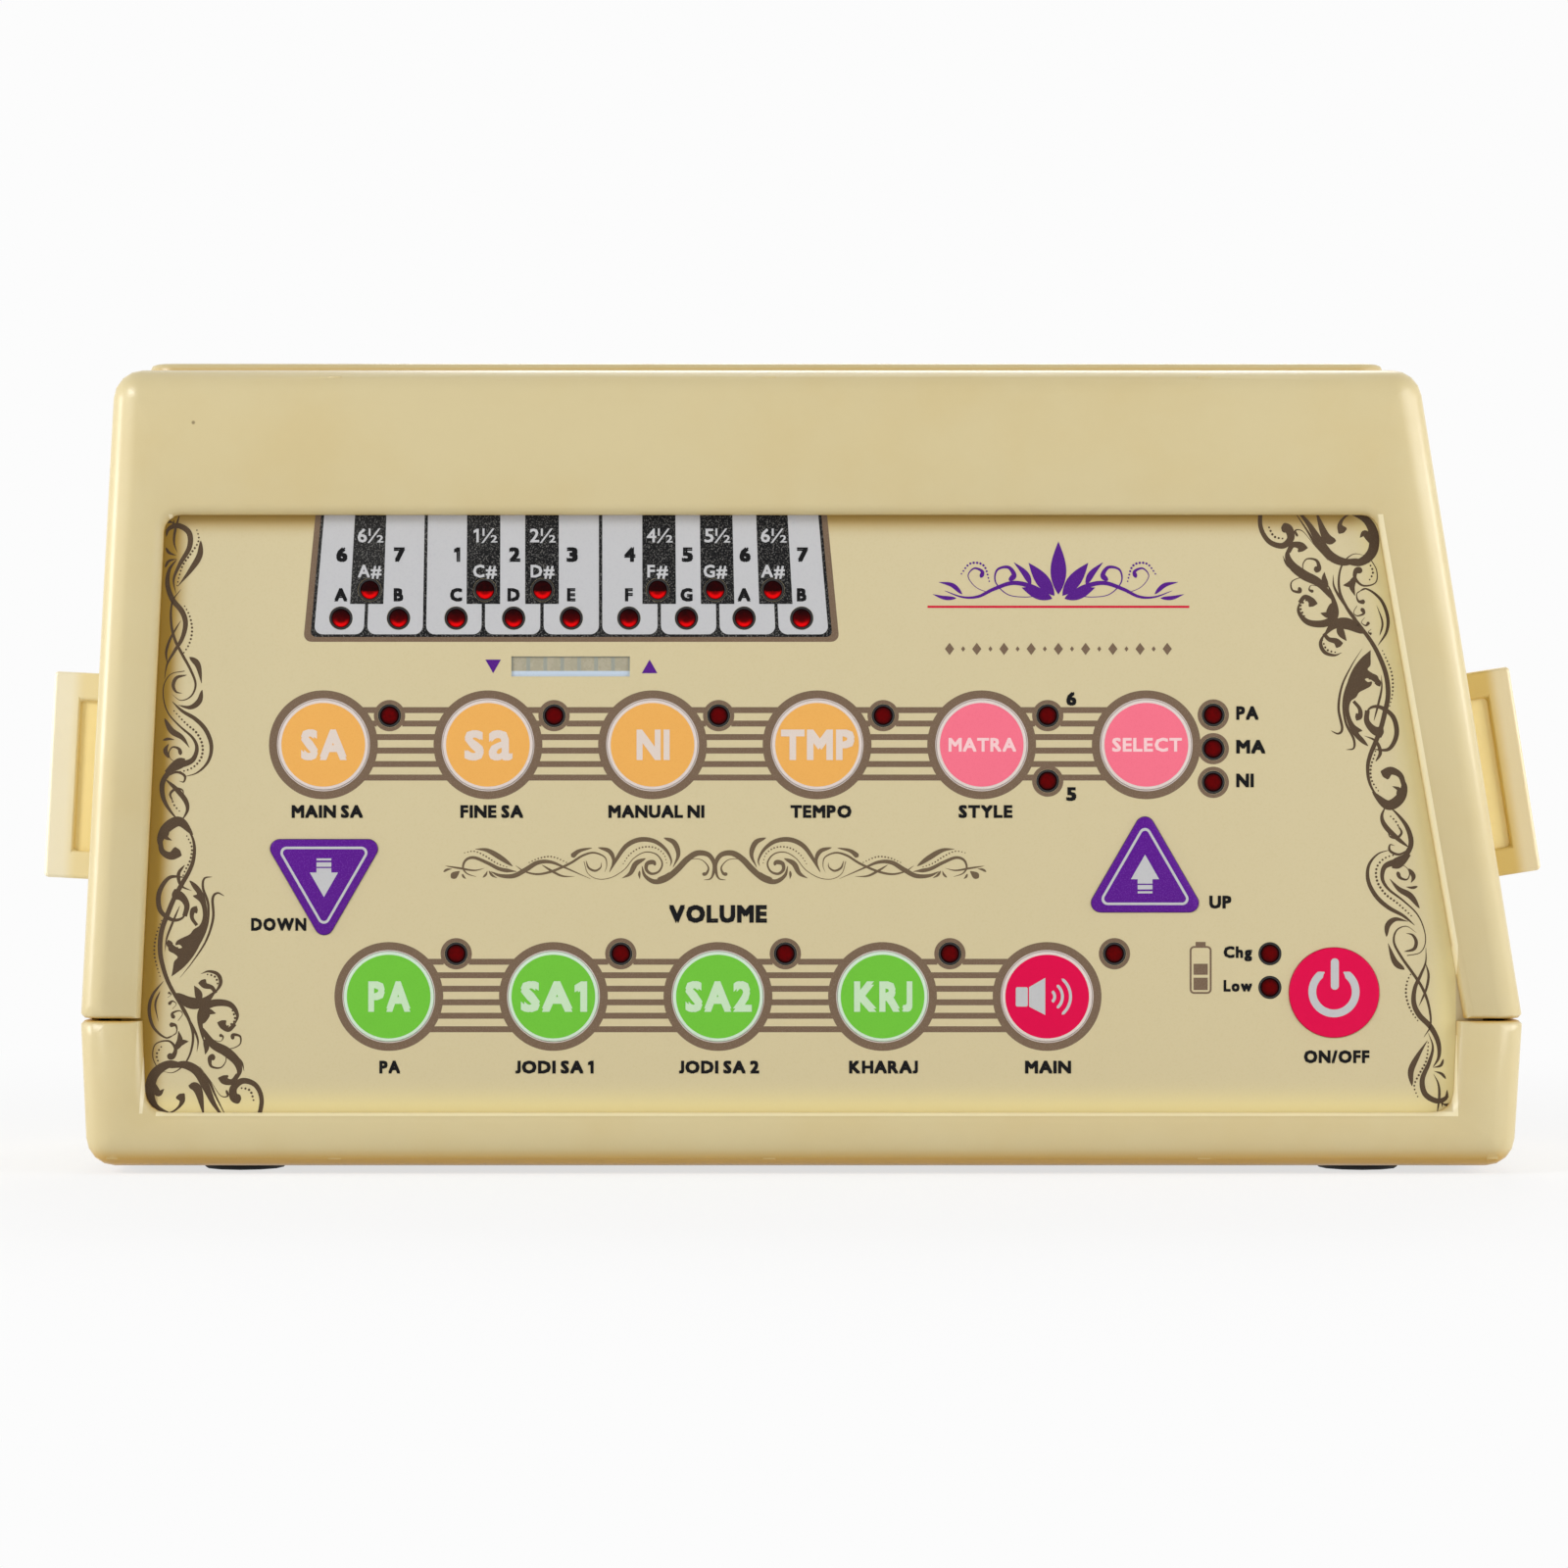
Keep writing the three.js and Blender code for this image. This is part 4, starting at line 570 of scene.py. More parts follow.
@dataclass(frozen=True)
class FlatCable(Finish):
    """Flat cable: parallel cores side by side along X."""

    colour: Colour = paint(196, 197, 192)
    groove_shade: Colour = paint(120, 121, 118)
    pitch: float = 1.27

    def build(self, tree: Tree) -> None:
        """Darkens the colour into a painted shade in the grooves between the cores, and bumps them, by a wave
        along X.

        Args:
            tree: The node tree to fill.
        """
        across = tree.axis(tree.place(), "X") * (1 / self.pitch)
        phase = tree.node("ShaderNodeMath", {"operation": "PINGPONG"}, {0: across, 1: 0.5})
        # painted shade in the grooves between the cores
        grooves = phase.between(0.12, 0.0)
        tree.surface({
            "Base Color": tree.mix(grooves, self.colour, self.groove_shade),
            "Roughness": 0.5 + grooves * 0.2,
            "Normal": tree.bump(phase.between(0.0, 0.5), 0.3),
        })


PRINT = "printed_overlay"


class Palette:
    """The finishes of the object, each under the record's slot."""

    # The case's corner tone is painted shade in nooks, and brings painted light on the lips.
    case = MouldedPlastic(
        "case_ivory", "case", paint(202, 187, 143), paint(197, 177, 126), 0.36, speck=0.035,
        corner=paint(190, 150, 58),
    )
    # The lugs and the web are the case plastic painted lighter, as lit; each lug's band is painted shade.
    left_lug = MouldedPlastic(
        "left_lug_ivory_painted_light", "case", paint(234, 226, 200), paint(230, 220, 188), 0.36,
        band=(-115.9, 0.0524, -2.5), tint=paint(226, 210, 160),
    )
    right_lug = MouldedPlastic(
        "right_lug_ivory_painted_light", "case", paint(222, 206, 166), paint(216, 198, 152), 0.36,
        band=(121.4, -0.1584, 2.4), tint=paint(202, 172, 94),
    )
    web = MouldedPlastic("lug_web_ivory_painted_light", "case", paint(244, 224, 158), paint(238, 216, 146), 0.4)
    rear_plate = MouldedPlastic(
        "rear_plate_ivory", "panel_plate", paint(206, 191, 156), paint(198, 180, 140), 0.48,
    )
    # The film's corner tone is painted shadow along the window's left and top lips and in nooks.
    film = PrintedFilm(
        "panel_film", PRINT, paint(203, 190, 152), paint(197, 183, 142), 0.25, 0.3, 0.42,
        corner=paint(150, 114, 10),
    )
    brown = PrintedFilm("ink_brown", PRINT, paint(112, 92, 74), paint(134, 116, 98), 0.6)
    umber = PrintedFilm("ink_umber", PRINT, paint(80, 64, 48), paint(100, 84, 66), 0.4)
    bronze = PrintedFilm("ink_bronze", PRINT, paint(102, 86, 66), paint(120, 104, 84), 0.4)
    black = PrintedFilm("ink_black", PRINT, paint(6, 6, 8), paint(22, 20, 24), 0.3)
    speckled = PrintedFilm("ink_speckled_black", PRINT, paint(7, 7, 9), paint(136, 134, 130), 0.42, 0.22)
    white = PrintedFilm("ink_white", PRINT, paint(187, 187, 189), paint(178, 178, 182), 0.3, 0.3)
    ring = PrintedFilm("ink_ring_white", PRINT, paint(214, 202, 196), paint(202, 190, 182), 0.4)
    violet = PrintedFilm("ink_violet", PRINT, paint(78, 22, 124), paint(108, 54, 150), 0.4)
    rule = PrintedFilm("ink_crimson", PRINT, paint(196, 2, 50), paint(206, 30, 74), 0.3)
    legend = PrintedFilm("ink_legend", PRINT, paint(216, 202, 192), paint(206, 190, 180), 0.35)
    green_legend = PrintedFilm("ink_legend_green", PRINT, paint(192, 218, 184), paint(182, 210, 172), 0.35)
    pink_legend = PrintedFilm("ink_legend_pink", PRINT, paint(238, 198, 200), paint(230, 186, 190), 0.35)
    green_ring = PrintedFilm("key_rim_green", PRINT, paint(200, 220, 200), paint(190, 212, 190), 0.35)
    orange = PrintedFilm(
        "key_film_orange", "key_orange", paint(228, 169, 88), paint(220, 156, 76), 0.3, 0.2, 0.4,
    )
    pink = PrintedFilm("key_film_pink", "key_pink", paint(236, 112, 134), paint(228, 98, 122), 0.3, 0.2, 0.4)
    green = PrintedFilm("key_film_green", "key_green", paint(108, 188, 58), paint(98, 178, 50), 0.3, 0.2, 0.4)
    crimson = PrintedFilm(
        "key_film_crimson", "key_crimson", paint(214, 0, 70), paint(204, 0, 62), 0.3, 0.2, 0.4,
    )
    purple = PrintedFilm(
        "key_film_purple", "key_purple", paint(84, 18, 132), paint(116, 58, 158), 0.5, 0.18, 0.4,
    )
    lens = LampLens("lamp_lens", "display")
    well = MouldedPlastic("lamp_well", "black_plastic", paint(17, 15, 16), paint(26, 22, 22), 0.5)
    bar_body = MouldedPlastic("bar_body", "display", paint(146, 148, 128), paint(134, 138, 120), 0.35)
    bar_cell = MouldedPlastic(
        "bar_cell", "display", paint(158, 152, 130), paint(170, 162, 140), 0.28, 2.4, 0.9,
    )
    bar_rib = MouldedPlastic("bar_rib", "display", paint(148, 150, 138), paint(138, 142, 132), 0.35, 3.0)
    bar_base = MouldedPlastic("bar_base", "display", paint(190, 204, 220), paint(180, 196, 214), 0.3)
    rubber = MouldedPlastic(
        "foot_rubber", "rubber", paint(38, 38, 41), paint(50, 49, 51), 0.82, grain_depth=0.03,
    )
    black_part = MouldedPlastic("black_moulding", "black_plastic", paint(28, 29, 31), paint(38, 38, 40), 0.45)
    steel = BrushedMetal("screw_steel", "steel", paint(196, 198, 202), paint(160, 160, 162))
    aluminium = BrushedMetal(
        "heat_sink_aluminium", "aluminium", paint(204, 206, 210), paint(178, 180, 184), 0.38,
    )
    magnet = BrushedMetal("magnet_plating", "magnet", paint(150, 153, 158), paint(112, 114, 120), 0.4)
    board = CircuitBoard("circuit_board", "circuit_board")
    paper = PressedPaper("cone_paper", "cone_paper", paint(34, 33, 32), paint(58, 56, 53))
    sleeve = ShrinkSleeve("cell_sleeve", "cell_sleeve", paint(52, 112, 168), paint(36, 88, 140))
    lead = ShrinkSleeve("lead_jacket", "lead_jacket", paint(158, 30, 38), paint(122, 20, 28))
    ribbon = FlatCable("flat_cable", "ribbon")


class Solid:
    """A closed mesh that is put together from numpy surfaces, in millimetres."""

    def __init__(self) -> None:
        """Starts with no vertices."""
        self.vertices: list[np.ndarray] = []
        self.faces: list[tuple[int, ...]] = []
        self.count = 0
        self.attributes: dict[str, list[np.ndarray]] = {}

    def add(self, vertices: np.ndarray, faces: Sequence[Sequence[int]], **values: np.ndarray) -> None:
        """Adds vertices and the faces between them.

        Args:
            vertices: Points, one row each.
            faces: Indices into those points.
            **values: Numbers kept at each point under a name.
        """
        self.vertices.append(vertices)
        self.faces.extend(tuple(int(i) + self.count for i in face) for face in faces)
        self.count += len(vertices)
        for name, numbers in values.items():
            self.attributes.setdefault(name, []).append(numbers)

    def grid(self, points: np.ndarray, loop: bool = False, **values: np.ndarray) -> None:
        """Adds a surface given as a grid of points, whose last column joins the first.

        Args:
            points: Array of rows, columns and three coordinates.
            loop: True if the last row joins the first; otherwise both end rows are capped.
            **values: Numbers at each point under a name, as rows and columns.
        """
        rows, columns = points.shape[:2]
        index = np.arange(rows * columns).reshape(rows, columns)
        down = np.roll(index, -1, axis=0) if loop else index[1:]
        upper = index if loop else index[:-1]
        right_upper, right_down = np.roll(upper, -1, axis=1), np.roll(down, -1, axis=1)
        quads = np.stack([upper, right_upper, right_down, down], axis=-1)
        faces = quads.reshape(-1, 4).tolist()
        if not loop:
            faces += [index[0].tolist(), index[-1][::-1].tolist()]
        flat = {name: numbers.reshape(-1) for name, numbers in values.items()}
        self.add(points.reshape(-1, 3), faces, **flat)

    def build(
        self, name: str, finish: Finish, body: str, smooth: float = 40.0, slot: str = ""
    ) -> bpy.types.Object:
        """Makes the object, with doubled points merged, faces turned outwards and round parts smooth.

        Args:
            name: Name of the piece.
            finish: Its finish.
            body: The body that it rides on.
            smooth: Angle in degrees above which an edge stays sharp.
            slot: Not used; meant for the record's slot, if it isn't the finish's own.

        Returns:
            The piece.
        """
        mesh = bpy.data.meshes.new(name)
        mesh.from_pydata((np.concatenate(self.vertices) * MM).tolist(), [], self.faces)
        for key, numbers in self.attributes.items():
            mesh.attributes.new(key, "FLOAT", "POINT").data.foreach_set("value", np.concatenate(numbers))
        work = bmesh.new()
        work.from_mesh(mesh)
        bmesh.ops.remove_doubles(work, verts=work.verts, dist=1e-7)
        bmesh.ops.recalc_face_normals(work, faces=work.faces)
        work.to_mesh(mesh)
        work.free()
        mesh.shade_smooth()
        mesh.set_sharp_from_angle(angle=math.radians(smooth))
        return settle(bpy.data.objects.new(name, mesh), finish, body)


def settle(piece: bpy.types.Object, finish: Finish, body: str) -> bpy.types.Object:
    """Links a piece, dresses it and lets it ride on its body.

    Args:
        piece: The object.
        finish: Its finish.
        body: The body that it rides on.

    Returns:
        The same object.
    """
    bpy.context.scene.collection.objects.link(piece)
    piece.data.materials.clear()
    piece.data.materials.append(finish.material())
    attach(piece, body)
    LOG.info("%s: %d faces on %s", piece.name, len(piece.data.polygons), body)
    return piece


def corner(node: str) -> tuple[np.ndarray, np.ndarray]:
    """Gives the lowest and highest corner of a node in millimetres."""
    low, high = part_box(node)
    return np.array(low) / MM, np.array(high) / MM


def middle(node: str) -> np.ndarray:
    """Gives the middle of a node's box in millimetres."""
    low, high = corner(node)
    return (low + high) / 2


def turned(profile: Sequence[tuple[float, float]], centre: Sequence[float], sides: int) -> np.ndarray:
    """Revolves a profile round an axis along Y.

    Args:
        profile: Distance from the axis and along it, for each point.
        centre: Where the axis crosses distance 0.
        sides: Points round the axis.

    Returns:
        Grid of points, one row for each point of the profile.
    """
    radius, along = np.array(profile, float).T
    angle = np.arange(sides) * TURN / sides
    across, up = radius[:, None] * np.cos(angle), radius[:, None] * np.sin(angle)
    reach = np.repeat(along[:, None], sides, axis=1)
    return np.stack((across, reach, up), axis=-1) + np.array(centre, float)


def arc(centre: tuple[float, float], radius: float, start: float, stop: float, steps: int) -> np.ndarray:
    """Gives points on an arc; angles are in degrees from the first axis."""
    angle = np.radians(np.linspace(start, stop, steps))
    return np.array(centre) + radius * np.stack([np.cos(angle), np.sin(angle)], axis=-1)


def rounded(corners: np.ndarray, radius: float, steps: int = 8) -> np.ndarray:
    """Rounds the corners of a convex outline that runs counter-clockwise.

    Each corner gets an arc that touches both its sides: its middle lies on the corner's bisector, at
    radius / sin(half the angle).

    Args:
        corners: Corner points, one row each.
        radius: Radius of every corner.
        steps: Points on each arc.

    Returns:
        The outline's points.
    """
    before = np.roll(corners, 1, axis=0) - corners
    after = np.roll(corners, -1, axis=0) - corners
    before /= np.linalg.norm(before, axis=1)[:, None]
    after /= np.linalg.norm(after, axis=1)[:, None]
    half = np.arccos(np.clip((before * after).sum(axis=1), -1, 1)) / 2
    bisector = before + after
    bisector /= np.linalg.norm(bisector, axis=1)[:, None]
    centres = corners + bisector * (radius / np.sin(half))[:, None]
    spread = np.linspace(-1, 1, steps)[None, :] * (math.pi / 2 - half)[:, None]
    outward = np.arctan2(-bisector[:, 1], -bisector[:, 0])[:, None] + spread
    ring = np.stack([np.cos(outward), np.sin(outward)], axis=-1) * radius
    return (centres[:, None, :] + ring).reshape(-1, 2)


def shrunk(corners: np.ndarray, distance: float) -> np.ndarray:
    """Moves every side of a convex outline inwards: each corner goes along the sum of its sides' normals.

    Args:
        corners: Corner points, counter-clockwise.
        distance: How far each side moves; a negative distance moves it outwards.

    Returns:
        The new corners.
    """
    along = np.roll(corners, -1, axis=0) - corners
    along /= np.linalg.norm(along, axis=1)[:, None]
    inward = np.stack([-along[:, 1], along[:, 0]], axis=-1)
    first, second = np.roll(inward, 1, axis=0), inward
    share = distance / (1 + (first * second).sum(axis=1))
    return corners + (first + second) * share[:, None]


def rectangle(left: float, right: float, low: float, high: float) -> np.ndarray:
    """Gives an upright rectangle, counter-clockwise."""
    return np.array([[left, low], [right, low], [right, high], [left, high]])


def soften(piece: bpy.types.Object, width: float, segments: int, angle: float) -> None:
    """Rounds the sharp edges of a piece.

    Args:
        piece: The piece.
        width: Width of the round in millimetres.
        segments: Faces across it.
        angle: Angle in degrees above which an edge counts as sharp.
    """
    rounding = piece.modifiers.new("edges", "BEVEL")
    rounding.width = width * MM
    rounding.segments = segments
    rounding.limit_method = "ANGLE"
    rounding.angle_limit = math.radians(angle)
    rounding.harden_normals = True


class Taper(Enum):
    """How the width of a drawn stroke runs along it."""

    LEAF = "pointed at both ends"
    TAIL = "broad first, then thin"
    BULB = "thin first, then a round end"
    CLUB = "broad, and broadest at its round end"
    EVEN = "even, with soft ends"
    DOTS = "no line, but a row of dots"
    FILL = "no line, but a filled shape"

    def widths(self, steps: int) -> np.ndarray:
        """Gives shares of the full width along the stroke.

        Args:
            steps: Number of points.

        Returns:
            One share for each point.
        """
        t = np.linspace(0, 1, steps)
        if self is Taper.LEAF:
            return np.sin(math.pi * t ** 0.75) + 0.06
        if self is Taper.TAIL:
            return np.clip(t / 0.08, 0.1, 1) * (1 - t) ** 0.65 + 0.05
        if self is Taper.BULB:
            ball = np.sqrt(np.clip(1 - ((t - 0.9) / 0.1) ** 2, 0.02, 1))
            return np.where(t < 0.9, 0.14 + 0.86 * t ** 3 / 0.73, ball)
        if self is Taper.CLUB:
            ball = np.sqrt(np.clip(1 - ((t - 0.92) / 0.08) ** 2, 0.02, 1))
            return np.where(t < 0.92, 0.42 + 0.58 * t ** 2 / 0.85, ball)
        return np.clip(np.minimum(t, 1 - t) / 0.04, 0.15, 1)


@dataclass
class Ink:
    """One colour of the print: thin closed slabs on the face of the film or of a key.

    Each slab's front lies a step behind the one before it, so that no two faces coincide where slabs cross.
    """

    finish: Finish
    face: float  # depth of the surface that it lies on
    layer: int  # place in the order of printing; a higher one covers a lower one
    film: float = 0.012
    step: float = 0.0009
    cycle: int = 12  # after so many steps the depths start again
    solid: Solid = field(default_factory=Solid)
    slabs: int = 0

    def _depths(self) -> tuple[float, float]:
        """Gives the front and the back of the next slab."""
        self.slabs += 1
        front = self.face - self.film * (self.layer + 1) + self.step * (self.slabs % self.cycle)
        return front, self.face - self.film / 4

    def slab(self, outline: np.ndarray, holes: Sequence[np.ndarray] = ()) -> None:
        """Adds a filled outline.

        Args:
            outline: Points as x and z.
            holes: Outlines of its holes.
        """
        self.solid.add(*plate([outline, *holes], *self._depths()))

    def band(self, outer: np.ndarray, inner: np.ndarray) -> None:
        """Adds the band between two closed outlines."""
        self.slab(outer, [inner])

    def ring(self, centre: Sequence[float], inner: float, outer: float, steps: int = 64) -> None:
        """Adds a round ring."""
        self.slab(circle(centre, outer, steps), [circle(centre, inner, steps)])

    def box(self, left: float, right: float, low: float, high: float, radius: float = 0.0) -> None:
        """Adds an upright rectangle.

        Args:
            left: Its left side.
            right: Its right side.
            low: Its lower side.
            high: Its upper side.
            radius: Rounding of its corners.
        """
        points = rectangle(left, right, low, high)
        self.slab(rounded(points, radius, 6) if radius else points)

    def stroke(self, path: np.ndarray, width: float, taper: Taper = Taper.EVEN) -> None:
        """Adds a stroke of a changing width: its sides lie half the width to each side of the path.

        Args:
            path: Points along the middle of the stroke.
            width: Full width.
            taper: How the width runs.
        """
        run = np.gradient(path, axis=0)
        run /= np.maximum(np.linalg.norm(run, axis=1), 1e-9)[:, None]
        side = np.stack([-run[:, 1], run[:, 0]], axis=-1) * (taper.widths(len(path)) * width / 2)[:, None]
        front, back = self._depths()
        front = front + np.linspace(0, 4 * self.step, len(path))
        edges = ((path + side, front), (path - side, front), (path - side, back), (path + side, back))
        rows = [np.insert(line, 1, depth, axis=1) for line, depth in edges]
        self.solid.grid(np.stack(rows, axis=1))

    def dots(self, path: np.ndarray, pitch: float, size: float) -> None:
        """Adds round dots along a path.

        Args:
            path: Points of the path.
            pitch: Distance between two dots.
            size: Diameter of the largest dot; they grow towards the middle of the path.
        """
        steps = np.linalg.norm(np.diff(path, axis=0), axis=1)
        reach = np.concatenate([[0], np.cumsum(steps)])
        for along in np.arange(pitch / 2, reach[-1], pitch):
            spot = (np.interp(along, reach, path[:, 0]), np.interp(along, reach, path[:, 1]))
            swell = 0.6 + 0.4 * math.sin(math.pi * along / reach[-1])
            self.slab(circle(spot, size * swell / 2, 8))

    def text(
        self, words: str, centre: Sequence[float], cap: float, width: float | None = None,
        weight: float = 0.044,
    ) -> None:
        """Adds lettering. Bold strokes come from copies that are shifted by the growth to each corner.

        Args:
            words: What it says.
            centre: Middle of the words, at half the height of a capital.
            cap: Height of a capital.
            width: Width of the whole, or None for the font's own.
            weight: How far the strokes grow to each side, as a share of the type size.
        """
        vertices, faces = Lettering.line(words, weight)
        left, right = vertices[:, 0].min() - weight, vertices[:, 0].max() + weight
        scale = cap / (Lettering.capital() + 2 * weight)
        across = width / (right - left) if width else scale
        corners = ((-1, -1), (1, -1), (1, 1), (-1, 1)) if weight else ((0, 0),)
        for shift, rise in corners:
            front, back = self._depths()
            x = centre[0] + (vertices[:, 0] + shift * weight - (left + right) / 2) * across
            z = centre[1] + (vertices[:, 1] + (rise + 1) * weight) * scale - cap / 2
            self.solid.add(np.stack([x, np.where(vertices[:, 2] > 0, front, back), z], axis=-1), faces)

    def build(self, name: str, body: str) -> bpy.types.Object:
        """Makes the print of this ink one piece."""
        return self.solid.build(name, self.finish, body, smooth=30.0)


class Lettering:
    """Letters of the built-in font at a type size of 1, set side by side; 1 and J are drawn here."""

    gap = 0.085
    space = 0.2
    stem = 0.085
    half_depth = 0.05
    snug = {"A": 0.035, "V": 0.03, "T": 0.02, "J": 0.02, "Y": 0.03, "L": 0.015, "/": 0.02}

    @classmethod
    def line(cls, words: str, weight: float) -> tuple[np.ndarray, list[list[int]]]:
        """Sets words: each letter starts one gap and twice the growth past the one before it.

        Args:
            words: What it says.
            weight: How far the strokes grow to each side.

        Returns:
            Vertices, and faces as lists of indices.
        """
        vertices: list[np.ndarray] = []
        faces: list[list[int]] = []
        pen = 0.0
        for letter in words:
            if letter == " ":
                pen += cls.space
                continue
            own = {"1": cls.figure_one, "J": cls.capital_j}.get(letter)
            shape, sides = own() if own else cls.glyph(letter)
            snug = cls.snug.get(letter, 0.0)
            start = sum(len(done) for done in vertices)
            left, right = shape[:, 0].min(), shape[:, 0].max()
            vertices.append(shape + (pen - left - snug, 0, 0))
            faces += [[i + start for i in side] for side in sides]
            pen += right - left + cls.gap + 2 * weight - 2 * snug
        return np.concatenate(vertices), faces

    @classmethod
    def drawn(cls, outline: Sequence[Sequence[float]]) -> tuple[np.ndarray, list[list[int]]]:
        """Makes a letter of an outline that is drawn here, as thick as the font's own."""
        flat, sides = plate([np.array(outline)], cls.half_depth, -cls.half_depth)
        return flat[:, [0, 2, 1]], sides

    @classmethod
    def figure_one(cls) -> tuple[np.ndarray, list[list[int]]]:
        """Draws a figure 1: an upright stem whose flag falls to the left.

        Returns:
            Vertices, and faces as lists of indices.
        """
        top, left, tip = cls.capital(), 0.16, 0.02
        stem = [(left, 0.0), (left + cls.stem, 0.0), (left + cls.stem, top), (left + 0.02, top)]
        return cls.drawn([*stem, (tip, top - 0.1), (tip, top - 0.19), (left, top - 0.12)])

    @classmethod
    def capital_j(cls) -> tuple[np.ndarray, list[list[int]]]:
        """Draws a J that stands on the line: a stem whose foot bends to the left in a quarter turn and a bit.

        Returns:
            Vertices, and faces as lists of indices.
        """
        top, radius, turn = cls.capital(), 0.15, -118
        centre = (0.09, radius)
        outer = arc(centre, radius, turn, 0, 9)
        inner = arc(centre, radius - cls.stem, 0, turn, 9)
        right = centre[0] + radius
        return cls.drawn([*outer, (right, top), (right - cls.stem, top), *inner])

    @staticmethod
    def glyph(letter: str) -> tuple[np.ndarray, list[list[int]]]:
        """Turns one letter into a mesh.

        Args:
            letter: The letter.

        Returns:
            Vertices, and faces as lists of indices.
        """
        curve = bpy.data.curves.new("letters", "FONT")
        curve.body = letter
        curve.extrude = Lettering.half_depth
        curve.resolution_u = 2
        holder = bpy.data.objects.new("letters", curve)
        bpy.context.scene.collection.objects.link(holder)
        mesh = bpy.data.meshes.new_from_object(holder.evaluated_get(bpy.context.evaluated_depsgraph_get()))
        vertices = np.zeros(len(mesh.vertices) * 3)
        mesh.vertices.foreach_get("co", vertices)
        faces = [list(face.vertices) for face in mesh.polygons]
        bpy.data.objects.remove(holder)
        bpy.data.curves.remove(curve)
        bpy.data.meshes.remove(mesh)
        return vertices.reshape(-1, 3), faces

    @staticmethod
    def capital() -> float:
        """Gives the height of a capital at a type size of 1."""
        vertices, _ = Lettering.glyph("H")
        return float(vertices[:, 1].max())


def through(points: Sequence[tuple[float, float]], steps: int = 7) -> np.ndarray:
    """Draws a smooth line through points.

    Between each two it is a cubic whose slope at a point is half the way between that point's neighbours.

    Args:
        points: The points, at least two.
        steps: Points that each stretch gets.

    Returns:
        Points of the line.
    """
    knots = np.array(points, float)
    full = np.concatenate([[2 * knots[0] - knots[1]], knots, [2 * knots[-1] - knots[-2]]])
    before, start, end, after = full[:-3, None], full[1:-2, None], full[2:-1, None], full[3:, None]
    t = (np.arange(steps) / steps)[None, :, None]
    line = (
        (2 * t ** 3 - 3 * t ** 2 + 1) * start + (t ** 3 - 2 * t ** 2 + t) * (end - before) / 2
        + (3 * t ** 2 - 2 * t ** 3) * end + (t ** 3 - t ** 2) * (after - start) / 2
    )
    return np.concatenate([line.reshape(-1, 2), knots[-1:]])


def plate(outlines: Sequence[np.ndarray], front: float, back: float) -> tuple[np.ndarray, list[list[int]]]:
    """Closes a flat sheet between two depths: both faces are filled, and each outline gets its edge wall.

    Args:
        outlines: The outer outline and then the holes, as x and z.
        front: Depth of the front.
        back: Depth of the back.

    Returns:
        Vertices and faces.
    """
    flat = np.concatenate(outlines)
    count = len(flat)
    filled = tessellate_polygon([[Vector((x, z, 0)) for x, z in outline] for outline in outlines])
    faces = [list(face) for face in filled] + [[i + count for i in reversed(face)] for face in filled]
    start = 0
    for outline in outlines:
        index = np.arange(start, start + len(outline))
        ahead = np.roll(index, -1)
        faces += np.stack([index, ahead, ahead + count, index + count], axis=-1).tolist()
        start += len(outline)
    depth = np.repeat([front, back], count)
    return np.stack([np.tile(flat[:, 0], 2), depth, np.tile(flat[:, 1], 2)], axis=-1), faces


def circle(centre: Sequence[float], radius: float, steps: int = 48) -> np.ndarray:
    """Gives the points of a circle."""
    return arc((centre[0], centre[1]), radius, 0, 360 - 360 / steps, steps)


class Refined:
    """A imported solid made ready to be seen: doubles merged, flat stretches joined, rounds smooth."""

    @staticmethod
    def build(node: str, finish: Finish, bevel: float = 0.0) -> None:
        """Makes a merged copy of one node and lets it stand for it.

        Args:
            node: Name of the node.
            finish: Its finish.
            bevel: Width of the small round that its sharp edges get, in millimetres.
        """
        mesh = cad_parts[node].data.copy()
        work = bmesh.new()
        work.from_mesh(mesh)
        bmesh.ops.remove_doubles(work, verts=work.verts, dist=2e-6)
        bmesh.ops.dissolve_limit(work, angle_limit=math.radians(0.6), verts=work.verts, edges=work.edges)
        bmesh.ops.triangulate(work, faces=[face for face in work.faces if len(face.verts) > 4])
        bmesh.ops.recalc_face_normals(work, faces=work.faces)
        work.to_mesh(mesh)
        work.free()
        mesh.name = f"{node}_fine"
        mesh.shade_smooth()
        mesh.set_sharp_from_angle(angle=math.radians(38.0))
        piece = settle(bpy.data.objects.new(f"{node}_fine", mesh), finish, body_of(node))
        if bevel:
            soften(piece, bevel, 2, 50)
        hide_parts(node)


def body_of(node: str) -> str:
    """Gives the body that a node rides on: each key has its own."""
    return f"{node.removeprefix('key_')}_key" if node.startswith("key_") else "case"


